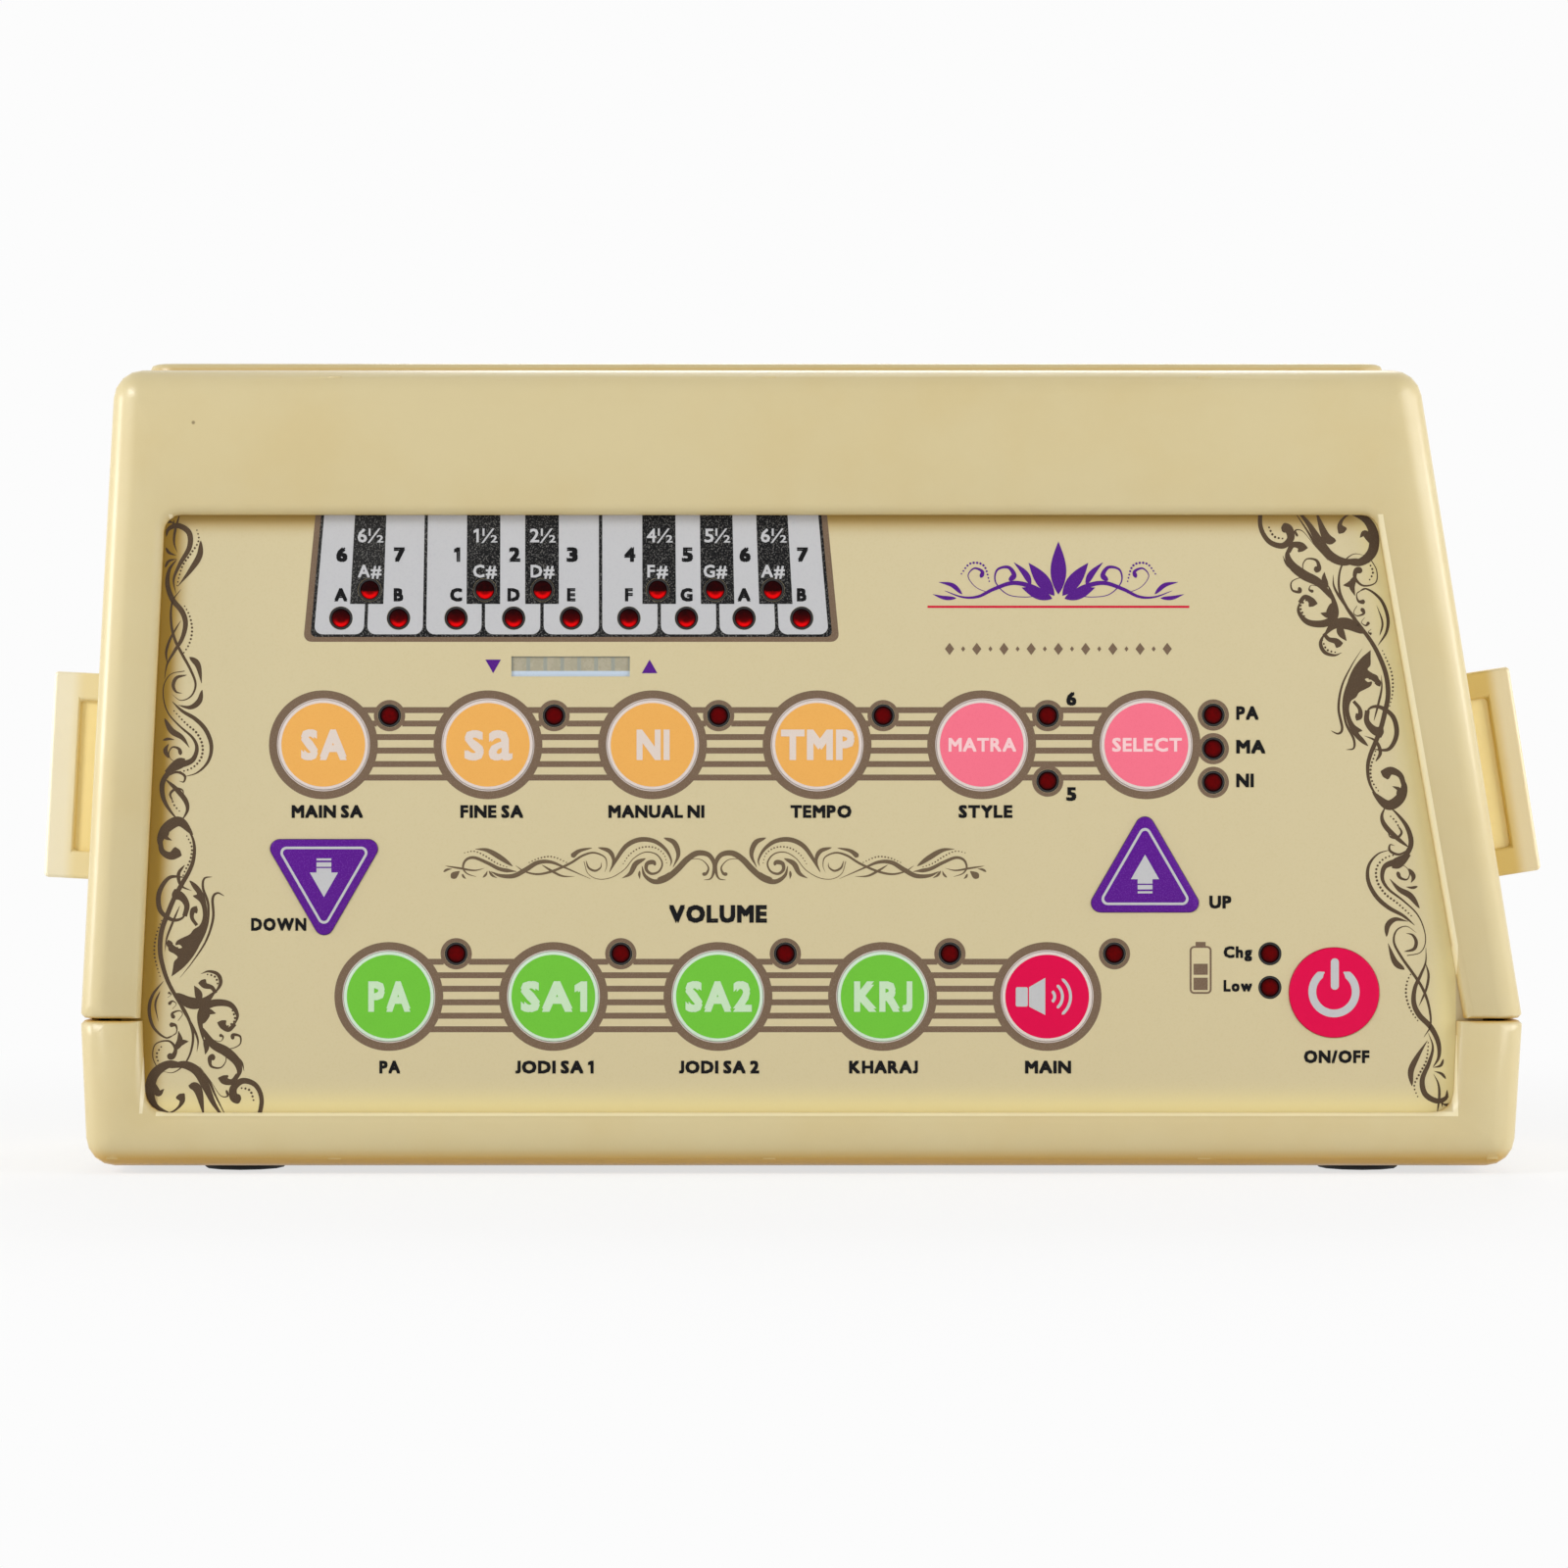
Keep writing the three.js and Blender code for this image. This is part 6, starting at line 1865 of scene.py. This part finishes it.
    def _fan(self, points: Sequence[tuple[float, float]]) -> np.ndarray:
        """Places points of the keyboard picture on the panel; it fans out a little towards its lower edge.

        A point x from the middle and z above the lamps is drawn at 1.018 x - 0.1015 z (x / 41) cubed.

        Args:
            points: The points.

        Returns:
            Their x and z on the panel.
        """
        flat = np.array(points, float)
        lean = 0.1015 * flat[:, 1] * (flat[:, 0] / 41) ** 3
        return self._centre() + np.stack([flat[:, 0] * 1.018 - lean, flat[:, 1]], axis=-1)

    def _block(self, left: float, right: float, bottom: float, radius: float, top: float) -> np.ndarray:
        """Gives the fanned outline of a block whose lower corners are round.

        Args:
            left: Its left side.
            right: Its right side.
            bottom: Its lower side.
            radius: Rounding of its lower corners.
            top: Its upper side.

        Returns:
            The outline, counter-clockwise.
        """
        first = arc((left + radius, bottom + radius), radius, 180, 270, 7)
        second = arc((right - radius, bottom + radius), radius, 270, 360, 7)
        return self._fan([*first, *second, (right, top), (left, top)])

    def keyboard(self) -> None:
        """Draws the keyboard picture: a frame, a black ground, and each natural in two blocks on it."""
        naturals, sharps, pitch = self.panel.natural_lamps(), self.panel.sharps(), self.panel.note_pitch
        half, line, low, drop = self.picture_half, self.picture_line, self.picture_low, self.sharp_drop
        black_edge = self._block(-half - 2 * line, half + 2 * line, low - 0.41, 0.9, self.picture_top - 0.2)
        holes = [circle(lamp, self.hole, 32) for lamp in [*naturals, *self.panel.sharp_lamps()]]
        self.brown.band(self._block(-half - 1.5, half + 1.5, low - 1.16, 1.25, self.picture_top), black_edge)
        self.speckled.slab(black_edge, holes)
        edge, cut = pitch * len(naturals) / 2, self.sharp_half - line
        for step, hole in enumerate(holes[:len(naturals)]):
            left = max(step * pitch - edge + line, -half)
            right = min((step + 1) * pitch - edge - line, half)
            self.white.slab(self._block(left, right, low, 1.3, drop + 0.02), [hole])
            left += cut if step - 1 in sharps else 0
            right -= cut if step in sharps else 0
            self.white.slab(self._block(left, right, drop - 0.04, 0.05, self.picture_top - 0.4))
        self.keyboard_words()

    def keyboard_words(self) -> None:
        """Prints the digits and the notes' names: each sharp's digit and half stand on the fanned block."""
        naturals = self.panel.natural_lamps()
        for lamp, note, digit in zip(naturals, self.panel.notes, "671234567"):
            self.black.text(note, lamp + (0.0, 3.6), 2.05, weight=0.05)
            self.black.text(digit, lamp + (0.15, 9.8), 2.25, 0.95 if digit == "1" else 1.75, weight=0.05)
        for step, digit in zip(self.panel.sharps(), "612456"):
            lamp, note = naturals[step] + (self.panel.note_pitch / 2, 0), self.panel.notes[step]
            number = self._fan([(lamp[0] - self._centre()[0], 12.75)])[0] + (0.15, 0)
            self.digits.text(f"{note}#", lamp + (0.0, 7.25), 1.95, 3.2 if note == "F" else 3.65, weight=0.025)
            self.digits.text(digit, number - (1.3, 0), 2.1, 0.8 if digit == "1" else 1.45, weight=0.016)
            self.digits.text("½", number + (0.75, 0), 2.15, 2.45, weight=0.006)


@dataclass(frozen=True)
class Scroll:
    """One drawn line of the scrollwork, in sketch units from the sketch's upper left corner."""

    taper: Taper
    width: float  # full width, or the size of a dot
    points: Sequence[tuple[float, float]]


def sketch(*rows: tuple) -> tuple[Scroll, ...]:
    """Makes scrolls of rows that hold a taper, a width and then the points."""
    return tuple(Scroll(taper, width, points) for taper, width, *points in rows)


LEAF, TAIL, BULB, CLUB, DOTS, FILL = Taper.LEAF, Taper.TAIL, Taper.BULB, Taper.CLUB, Taper.DOTS, Taper.FILL

MIDDLE_SCROLLS = sketch(
    (TAIL, 17, (455, 258), (370, 246), (300, 212), (230, 184), (186, 196), (170, 235), (190, 268),
        (240, 286)),
    (LEAF, 7, (75, 228), (150, 240), (230, 252), (285, 240)),
    (LEAF, 22, (435, 230), (370, 184), (300, 145), (235, 138)),
    (DOTS, 6, (170, 160), (230, 150), (290, 176), (350, 214), (415, 238)),
    (LEAF, 9, (65, 260), (85, 248), (112, 244)),
    (LEAF, 30, (106, 292), (126, 276), (152, 256)),
    (LEAF, 8, (166, 270), (173, 286), (186, 297)),
    (LEAF, 8, (275, 290), (292, 274), (300, 254)),
    (LEAF, 9, (308, 254), (325, 278), (352, 293)),
    (LEAF, 20, (318, 258), (370, 280), (440, 281), (505, 248), (570, 210), (640, 208), (720, 240),
        (850, 297)),
    (LEAF, 9, (450, 226), (500, 258), (570, 272), (650, 255), (740, 215), (810, 172), (870, 158),
        (926, 182), (936, 228), (924, 262)),
    (LEAF, 9, (590, 222), (645, 256), (700, 282), (766, 284)),
    (DOTS, 6, (515, 213), (580, 186), (650, 180), (736, 216)),
    (TAIL, 24, (748, 180), (790, 148), (858, 132)),
    (LEAF, 18, (890, 130), (948, 148), (972, 190), (962, 236)),
    (LEAF, 8, (826, 200), (840, 238), (875, 254), (904, 236), (908, 208)),
    (BULB, 20, (815, 204), (836, 268), (890, 298), (960, 290), (1030, 248), (1080, 188), (1140, 155),
        (1200, 166), (1232, 212), (1216, 256), (1176, 270), (1148, 248), (1152, 216), (1184, 208),
        (1196, 226)),
    (LEAF, 20, (950, 262), (985, 198), (1040, 122), (1112, 88), (1190, 96), (1250, 140), (1280, 196),
        (1274, 230)),
    (DOTS, 6, (1020, 224), (1060, 166), (1120, 130), (1190, 130), (1240, 164), (1256, 214)),
    (LEAF, 22, (1144, 188), (1092, 216), (1062, 268), (1018, 294)),
    (LEAF, 9, (1112, 254), (1110, 276), (1113, 298)),
    (LEAF, 26, (1124, 228), (1140, 280), (1190, 312), (1250, 298), (1310, 250), (1366, 192), (1420, 160),
        (1478, 168), (1508, 212), (1506, 262), (1490, 296), (1455, 303)),
    (LEAF, 22, (1240, 78), (1296, 104), (1318, 168), (1290, 236)),
    (BULB, 16, (1340, 220), (1388, 192), (1442, 196), (1478, 234), (1468, 268), (1445, 272)),
    (LEAF, 10, (1205, 296), (1242, 284), (1272, 260)),
)

SIDE_SCROLLS = sketch(
    (LEAF, 20, (178, 214), (190, 178), (234, 164), (282, 196), (284, 262), (240, 340), (212, 410),
        (222, 474)),
    (LEAF, 8, (240, 112), (220, 180), (214, 240), (229, 288)),
    (LEAF, 10, (176, 184), (206, 166), (214, 136)),
    (LEAF, 9, (172, 150), (192, 146), (214, 152)),
    (LEAF, 9, (176, 264), (192, 288), (224, 300)),
    (LEAF, 9, (172, 356), (190, 326), (226, 316)),
    (DOTS, 7, (316, 176), (326, 232), (290, 292), (254, 344), (236, 400), (228, 440)),
    (LEAF, 22, (336, 232), (330, 300), (290, 366), (232, 440)),
    (LEAF, 19, (226, 318), (192, 366), (184, 432), (206, 500), (250, 556), (266, 612), (250, 680),
        (214, 740), (182, 798), (170, 864)),
    (LEAF, 9, (246, 454), (206, 512), (200, 600), (216, 680), (250, 750), (288, 820), (312, 888),
        (292, 942), (244, 962), (202, 932)),
    (LEAF, 8, (182, 790), (178, 740), (196, 682), (226, 628), (246, 596)),
    (DOTS, 7, (258, 524), (286, 580), (296, 644), (282, 706), (250, 756)),
    (LEAF, 22, (284, 764), (322, 800), (340, 884)),
    (LEAF, 20, (342, 914), (328, 966), (288, 994), (232, 984)),
    (LEAF, 12, (272, 846), (226, 858), (210, 892), (222, 922), (250, 930)),
    (BULB, 26, (262, 828), (200, 842), (168, 890), (166, 956), (188, 1022), (240, 1080), (298, 1132),
        (318, 1180), (300, 1232), (256, 1252), (228, 1246)),
    (BULB, 15, (262, 1248), (206, 1236), (190, 1204), (206, 1176), (236, 1184), (244, 1212)),
    (LEAF, 15, (204, 966), (250, 1010), (312, 1048), (360, 1100), (384, 1170), (370, 1240), (320, 1292),
        (256, 1312)),
    (DOTS, 8, (208, 1004), (266, 1066), (318, 1112), (344, 1172), (334, 1232), (290, 1274), (226, 1292)),
    (LEAF, 22, (170, 1044), (202, 1100), (250, 1132), (284, 1178)),
    (LEAF, 9, (162, 1144), (188, 1138), (216, 1142)),
    (CLUB, 30, (176, 1290), (206, 1256), (236, 1238), (262, 1246)),
    (LEAF, 22, (170, 1330), (196, 1282), (246, 1262), (300, 1236)),
    (LEAF, 16, (190, 1226), (174, 1190), (190, 1160)),
    (LEAF, 18, (240, 1246), (190, 1288), (160, 1344), (166, 1412), (200, 1472), (242, 1518)),
    (LEAF, 18, (174, 1322), (224, 1368), (266, 1420), (274, 1466), (244, 1518)),
    (LEAF, 8, (178, 1312), (224, 1290), (262, 1306), (258, 1334), (236, 1330)),
    (LEAF, 8, (208, 1424), (196, 1390), (222, 1366), (252, 1372), (258, 1398)),
    (DOTS, 6, (200, 1400), (214, 1440), (240, 1470)),
    (LEAF, 40, (300, 1576), (240, 1516), (180, 1544), (150, 1600), (158, 1650)),
    (CLUB, 46, (150, 1604), (160, 1652), (200, 1672), (240, 1646)),
    (LEAF, 16, (190, 1560), (176, 1586), (204, 1602)),
    (LEAF, 17, (236, 1516), (286, 1566), (306, 1624), (302, 1690), (282, 1744), (250, 1800), (214, 1866),
        (184, 1938), (156, 2018), (150, 2108), (166, 2190), (192, 2260), (230, 2328), (276, 2408),
        (300, 2488), (290, 2568), (258, 2628), (210, 2662), (164, 2658)),
    (DOTS, 7, (268, 1574), (294, 1630), (288, 1690), (264, 1740), (250, 1776)),
    (LEAF, 17, (262, 1770), (192, 1772), (146, 1840), (150, 1920), (204, 1964), (254, 1954), (276, 1900)),
    (CLUB, 46, (262, 1948), (272, 1898), (246, 1858), (204, 1846)),
    (LEAF, 12, (262, 1714), (234, 1756), (246, 1808), (294, 1832)),
    (FILL, 0, (202, 2224), (255, 2184), (302, 2130), (338, 2063), (360, 1989), (365, 1922), (352, 1855),
        (322, 1808), (285, 1785), (298, 1816), (318, 1846), (300, 1856), (330, 1882), (343, 1916),
        (344, 1956), (330, 1990), (304, 2008), (286, 2030), (258, 2044), (228, 2060), (220, 2080),
        (238, 2078), (250, 2090), (232, 2094), (202, 2074), (188, 2084), (190, 2106), (214, 2120),
        (230, 2136), (214, 2156), (208, 2190), (202, 2224)),
    (CLUB, 30, (318, 1990), (296, 1956), (300, 1922), (322, 1918)),
    (CLUB, 26, (232, 2096), (206, 2092), (190, 2078), (200, 2062)),
    (LEAF, 8, (388, 1768), (352, 1776), (346, 1820), (370, 1896), (362, 2000), (310, 2106), (214, 2216)),
    (LEAF, 8, (444, 1856), (412, 1842), (390, 1868), (392, 1958), (360, 2060), (300, 2154), (240, 2230)),
    (DOTS, 6, (160, 1960), (132, 2036), (124, 2126), (150, 2226)),
    (LEAF, 7, (240, 1900), (206, 1980), (180, 2050), (172, 2110)),
    (LEAF, 44, (222, 2300), (282, 2342), (348, 2340), (408, 2286)),
    (LEAF, 13, (396, 2306), (426, 2256), (414, 2214), (372, 2200), (336, 2212)),
    (CLUB, 34, (404, 2300), (386, 2274), (354, 2264), (338, 2240)),
    (LEAF, 28, (330, 2338), (324, 2300), (306, 2266)),
    (DOTS, 7, (358, 2212), (402, 2226), (416, 2272)),
    (LEAF, 11, (166, 2244), (116, 2308), (100, 2378), (120, 2456), (178, 2504), (226, 2480)),
    (LEAF, 6, (150, 2290), (128, 2350), (142, 2430)),
    (BULB, 18, (178, 2504), (222, 2484), (222, 2448), (192, 2444)),
    (BULB, 15, (232, 2426), (252, 2396), (238, 2380), (206, 2392), (214, 2416)),
    (BULB, 12, (206, 2372), (224, 2350), (206, 2336), (188, 2352)),
    (BULB, 10, (184, 2320), (200, 2306), (186, 2296)),
    (LEAF, 28, (348, 2520), (332, 2420), (350, 2368), (402, 2344), (470, 2352), (503, 2400), (488, 2450)),
    (CLUB, 38, (492, 2440), (464, 2466), (438, 2450), (430, 2424)),
    (LEAF, 30, (344, 2440), (366, 2388), (404, 2392)),
    (DOTS, 8, (478, 2372), (492, 2424), (452, 2456)),
    (BULB, 15, (346, 2470), (390, 2528), (458, 2554), (512, 2536), (516, 2498), (484, 2490), (482, 2512)),
    (BULB, 12, (380, 2510), (424, 2520), (438, 2500), (420, 2490)),
    (LEAF, 36, (336, 2450), (386, 2528), (450, 2566), (498, 2610), (512, 2660), (486, 2702)),
    (CLUB, 44, (506, 2672), (480, 2704), (446, 2700), (436, 2676)),
    (BULB, 26, (450, 2562), (450, 2610), (426, 2640), (384, 2634), (378, 2598), (402, 2590)),
    (LEAF, 7, (470, 2568), (520, 2612), (534, 2656)),
    (LEAF, 20, (352, 2510), (362, 2546), (356, 2580)),
    (CLUB, 40, (596, 2884), (614, 2790), (588, 2722), (530, 2700), (486, 2732), (488, 2776), (520, 2784)),
    (DOTS, 8, (514, 2732), (560, 2744), (580, 2800)),
    (LEAF, 38, (270, 2632), (190, 2624), (124, 2670), (102, 2750), (124, 2816), (184, 2850), (236, 2852)),
    (BULB, 40, (150, 2860), (216, 2836), (250, 2796), (238, 2760)),
    (LEAF, 26, (112, 2700), (140, 2756), (168, 2738)),
    (LEAF, 34, (190, 2640), (256, 2626), (318, 2656), (360, 2730), (396, 2806), (450, 2884)),
    (LEAF, 34, (280, 2722), (322, 2740), (350, 2860)),
    (LEAF, 8, (300, 2624), (366, 2690), (404, 2770), (460, 2880)),
    (BULB, 9, (330, 2634), (380, 2700), (424, 2766), (458, 2770), (452, 2742)),
    (BULB, 26, (138, 2644), (116, 2588), (130, 2532), (188, 2518), (220, 2552), (208, 2588), (182, 2584)),
    (DOTS, 7, (160, 2538), (134, 2580), (146, 2626)),
    (LEAF, 24, (216, 2562), (240, 2520), (234, 2472)),
    (LEAF, 20, (226, 2540), (252, 2524), (280, 2520)),
    (LEAF, 8, (240, 2360), (292, 2440), (322, 2512), (318, 2568)),
)


@dataclass
class Ornaments:
    """The scrollwork in brown ink: one piece under the labels and one along each side."""

    ink: Ink
    panel: Panel
    side_unit: float = 29.6  # sketch units to a millimetre
    middle_unit: float = 34.55
    lean: float = 0.162  # of the right one to the left, for each millimetre that it rises
    dot_pitch: float = 17.5  # in sketch units

    def draw_middle(self) -> None:
        """Draws the middle piece and its mirror image."""
        x, z = self.panel.spot("key_jodi_sa_2")
        fold, level = 1513, 230
        for sign in (1, -1):
            unit = self.middle_unit * np.array((sign, -1))
            self.place(MIDDLE_SCROLLS, (x - 0.48, z + 20.1), (fold, level), unit)

    def draw_sides(self) -> None:
        """Draws the side piece along the left edge, and its turned twin along the right edge."""
        left, right = self.panel.spot("key_main_sa"), self.panel.spot("key_power")
        start = (896, 1165)
        self.place(SIDE_SCROLLS, left, start, self.side_unit * np.array((1, -1)))
        self.place(SIDE_SCROLLS, right + (-12.0, 17.1), start, self.side_unit * np.array((-1, 1)), self.lean)

    def place(
        self, scrolls: Sequence[Scroll], place: Sequence[float], start: Sequence[float], unit: np.ndarray,
        lean: float = 0.0,
    ) -> None:
        """Draws one sketch.

        Args:
            scrolls: Its lines.
            place: Where the sketch's start lies on the panel.
            start: The start, in sketch units.
            unit: Sketch units to a millimetre along x and z; a negative one turns the axis round.
            lean: How far it leans to the left for each millimetre that it rises.
        """
        size = abs(float(unit[0]))
        for scroll in scrolls:
            path = (through(scroll.points) - start) / unit
            path[:, 0] -= lean * path[:, 1]
            path += place
            if scroll.taper is FILL:
                self.ink.slab(path[:-1])
            elif scroll.taper is DOTS:
                self.ink.dots(path, self.dot_pitch / size, (scroll.width + 4.0) / size)
            else:
                self.ink.stroke(path, (scroll.width * 1.08 + 2.6) / size, scroll.taper)


MOTIF_SCROLLS = sketch(
    (TAIL, 22, (20, -14), (110, -70), (210, -92), (310, -60), (390, -22), (470, -20), (560, -52)),
    (BULB, 24, (60, -30), (150, -20), (240, -34), (300, -96), (292, -158), (236, -172), (206, -132),
        (232, -104)),
    (BULB, 18, (330, -40), (400, -70), (440, -126), (410, -166), (368, -150), (376, -118)),
    (LEAF, 26, (120, -84), (150, -140), (206, -196)),
    (LEAF, 18, (470, -34), (520, -80), (590, -96)),
    (LEAF, 16, (500, -14), (560, -16), (620, -34)),
    (DOTS, 9, (330, -92), (360, -180), (430, -190), (480, -130)),
)


@dataclass
class Motif:
    """A plain lotus in violet with a scroll to each side, over a thin rule and a row of beads."""

    panel: Panel
    reach: float = 20.2  # half the length of the rule
    rule: float = 0.17  # half its thickness
    unit: float = 33.0  # sketch units to a millimetre
    petal: float = 9.2  # length of the middle petal
    beads: int = 8  # to each side of the middle one
    bead_pitch: float = 2.1
    bead_drop: float = 6.5

    def build(self) -> None:
        """Draws the petals as pointed leaves, split by thin gaps, and then the rest."""
        x, z = self.panel.spot("key_matra") + (11.85, 21.3)
        violet = Ink(Palette.violet, self.panel.film, 1)
        for turn in (-70, -38, 0, 38, 70):
            t = np.linspace(0, 1, 16)
            side = np.sin(math.pi * t ** 0.85) * (1.22 - abs(turn) * 0.005)
            length = self.petal - abs(turn) * 0.045
            rim = np.stack([side, 1.0 + t * (length - 1.0)], axis=-1)
            outline = np.concatenate([rim, (rim * (-1, 1))[-2:0:-1]])
            angle = math.radians(turn)
            spin = np.array([[math.cos(angle), -math.sin(angle)], [math.sin(angle), math.cos(angle)]])
            violet.slab(outline @ spin + (x, z + 0.9))
        scrollwork = Ornaments(violet, self.panel)
        for sign in (1, -1):
            unit = self.unit * np.array((sign, -1))
            scrollwork.place(MOTIF_SCROLLS, (x, z + 0.9), (-20, 0), unit)
        violet.build("motif_petals", "case")
        rule = Ink(Palette.rule, self.panel.film, 1)
        rule.box(x - self.reach, x + self.reach, z - self.rule, z + self.rule)
        rule.build("motif_rule", "case")
        brown = Ink(Palette.brown, self.panel.film, 1)
        for step in range(-self.beads, self.beads + 1):
            half = 0.95 if step % 2 == 0 else 0.42
            spot = np.array((x + step * self.bead_pitch, z - self.bead_drop))
            brown.slab(np.array([[0, -half], [half * 0.75, 0], [0, half], [-half * 0.75, 0]]) + spot)
        brown.build("motif_beads", "case")


@dataclass
class Fittings:
    """Screws, feet, sockets, boards, loudspeaker, cells and leads."""

    def build(self) -> None:
        """Refines and dresses each of them by the words in its name, the screws first."""
        screws = [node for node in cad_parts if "screw" in node]
        for node in screws:
            Refined.build(node, Palette.steel)
        finishes = {
            "_board": Palette.board, "foot": Palette.rubber, "jack": Palette.black_part,
            "heat_sink": Palette.aluminium, "speaker_magnet": Palette.magnet, "speaker_frame": Palette.steel,
            "speaker_cone": Palette.paper, "speaker_gasket": Palette.rubber,
            "cell_holder": Palette.black_part, "cell_1": Palette.sleeve, "cell_2": Palette.sleeve,
            "lead": Palette.lead, "ribbon": Palette.ribbon,
        }
        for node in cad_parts:
            finish = next((finish for words, finish in finishes.items() if words in node), None)
            if finish and node not in screws:
                Refined.build(node, finish)


@dataclass
class Stage:
    """The floor, the lamps, the surroundings and the camera."""

    distance: float = 739.0
    lens: float = 104.5
    eye: tuple[float, float] = (-1.5, 60.2)
    aim: tuple[float, float, float] = (0.0, 0.0, 60.0)
    backdrop: Colour = paint(252, 252, 252)
    floor_reach: float = 4000.0
    lamps: tuple = (  # name, place, side of the square and power in watts
        ("key_lamp", (-640, -520, 470), 220, 3.7),
        ("fill_lamp", (640, -400, 300), 420, 2.9),
        ("left_lamp", (-720, -60, 160), 200, 1.9),
        ("right_lamp", (720, -60, 200), 200, 1.3),
        ("back_lamp", (60, 560, 640), 420, 2.2),
    )

    def build(self) -> None:
        """Sets the whole stage."""
        self.camera()
        self.surroundings()
        self.floor()
        for lamp in self.lamps:
            self.lamp(*lamp)
        bpy.context.scene.view_settings.view_transform = "Standard"

    def camera(self) -> None:
        """Makes the camera level with the middle of the panel and square to it."""
        data = bpy.data.cameras.new("camera")
        data.lens = self.lens
        data.sensor_width = 36.0
        data.clip_start = 0.05
        camera = bpy.data.objects.new("camera", data)
        camera.location = (self.eye[0] * MM, -self.distance * MM, self.eye[1] * MM)
        camera.rotation_euler = (math.pi / 2, 0, 0)
        bpy.context.scene.collection.objects.link(camera)
        bpy.context.scene.camera = camera

    def lamp(self, name: str, place: tuple[float, float, float], size: float, power: float) -> None:
        """Makes a soft lamp that looks at the middle of the object.

        Args:
            name: Its name.
            place: Where it stands.
            size: Side of its square.
            power: Its power in watts.
        """
        data = bpy.data.lights.new(name, "AREA")
        data.shape = "SQUARE"
        data.size = size * MM
        data.energy = power
        lamp = bpy.data.objects.new(name, data)
        lamp.location = Vector(place) * MM
        lamp.rotation_euler = (Vector(self.aim) * MM - lamp.location).to_track_quat("-Z", "Y").to_euler()
        bpy.context.scene.collection.objects.link(lamp)

    @staticmethod
    def _seen(tree: Tree) -> Socket:
        """Gives 1 to rays from the camera, a gloss or a clear part, and 0 to those that light the object."""
        rays = ("Is Camera Ray", "Is Glossy Ray", "Is Transmission Ray")
        return sum((tree.node("ShaderNodeLightPath", None, None, ray) for ray in rays), start=0.0).least(1.0)

    def surroundings(self) -> None:
        """Lights the object evenly, and shows a pale backdrop where nothing stands."""
        world = bpy.data.worlds.new("surroundings")
        bpy.context.scene.world = world
        tree = Tree(world)
        seen = self._seen(tree)
        soft = tree.node("ShaderNodeBackground", None, {"Color": paint(255, 255, 255), "Strength": 0.3})
        shown = tree.node("ShaderNodeBackground", None, {"Color": self.backdrop, "Strength": 1.0})
        mixed = tree.node("ShaderNodeMixShader", None, {0: seen, 1: soft, 2: shown})
        tree.node("ShaderNodeOutputWorld", None, {"Surface": mixed})

    def floor(self) -> None:
        """Lays a wide pale floor that keeps the shadow and fades into the backdrop away from the object."""
        reach = self.floor_reach * MM
        corners = [(-reach, -reach, 0), (reach, -reach, 0), (reach, reach, 0), (-reach, reach, 0)]
        mesh = bpy.data.meshes.new("floor")
        mesh.from_pydata(corners, [], [(0, 1, 2, 3)])
        floor = bpy.data.objects.new("floor", mesh)
        bpy.context.scene.collection.objects.link(floor)
        material = bpy.data.materials.new("pale_floor")
        tree = Tree(material)
        spot = tree.place((1.0, 1.0, 0.0))
        distance = tree.node("ShaderNodeVectorMath", {"operation": "LENGTH"}, {0: spot}, "Value")
        away = distance.between(120, 330)
        tone = tree.mix(tree.noise(spot, 1.5, 2.0), paint(247, 247, 247), paint(250, 250, 250))
        matt = tree.node("ShaderNodeBsdfDiffuse", None, {"Color": tone})
        shown = tree.node("ShaderNodeEmission", None, {"Color": self.backdrop, "Strength": 1.0})
        share = (away * 0.28 + 0.72) * self._seen(tree)
        tree.finish(tree.node("ShaderNodeMixShader", None, {0: share, 1: matt, 2: shown}))
        floor.data.materials.append(material)


def main() -> None:
    """Builds the object part by part, then the stage."""
    logging.basicConfig(level=logging.INFO, format="%(name)s: %(message)s")
    panel = Panel(film=float(corner("panel_overlay")[0][1]), key_face=float(corner("key_main_sa")[0][1]))
    for part in (
        Housing(), Film(panel), BarDisplay(), Lamps(panel), Keys(panel), Print(panel), Fittings(), Stage(),
    ):
        LOG.info("building %s", type(part).__name__)
        part.build()


if __name__ == "__main__":
    main()
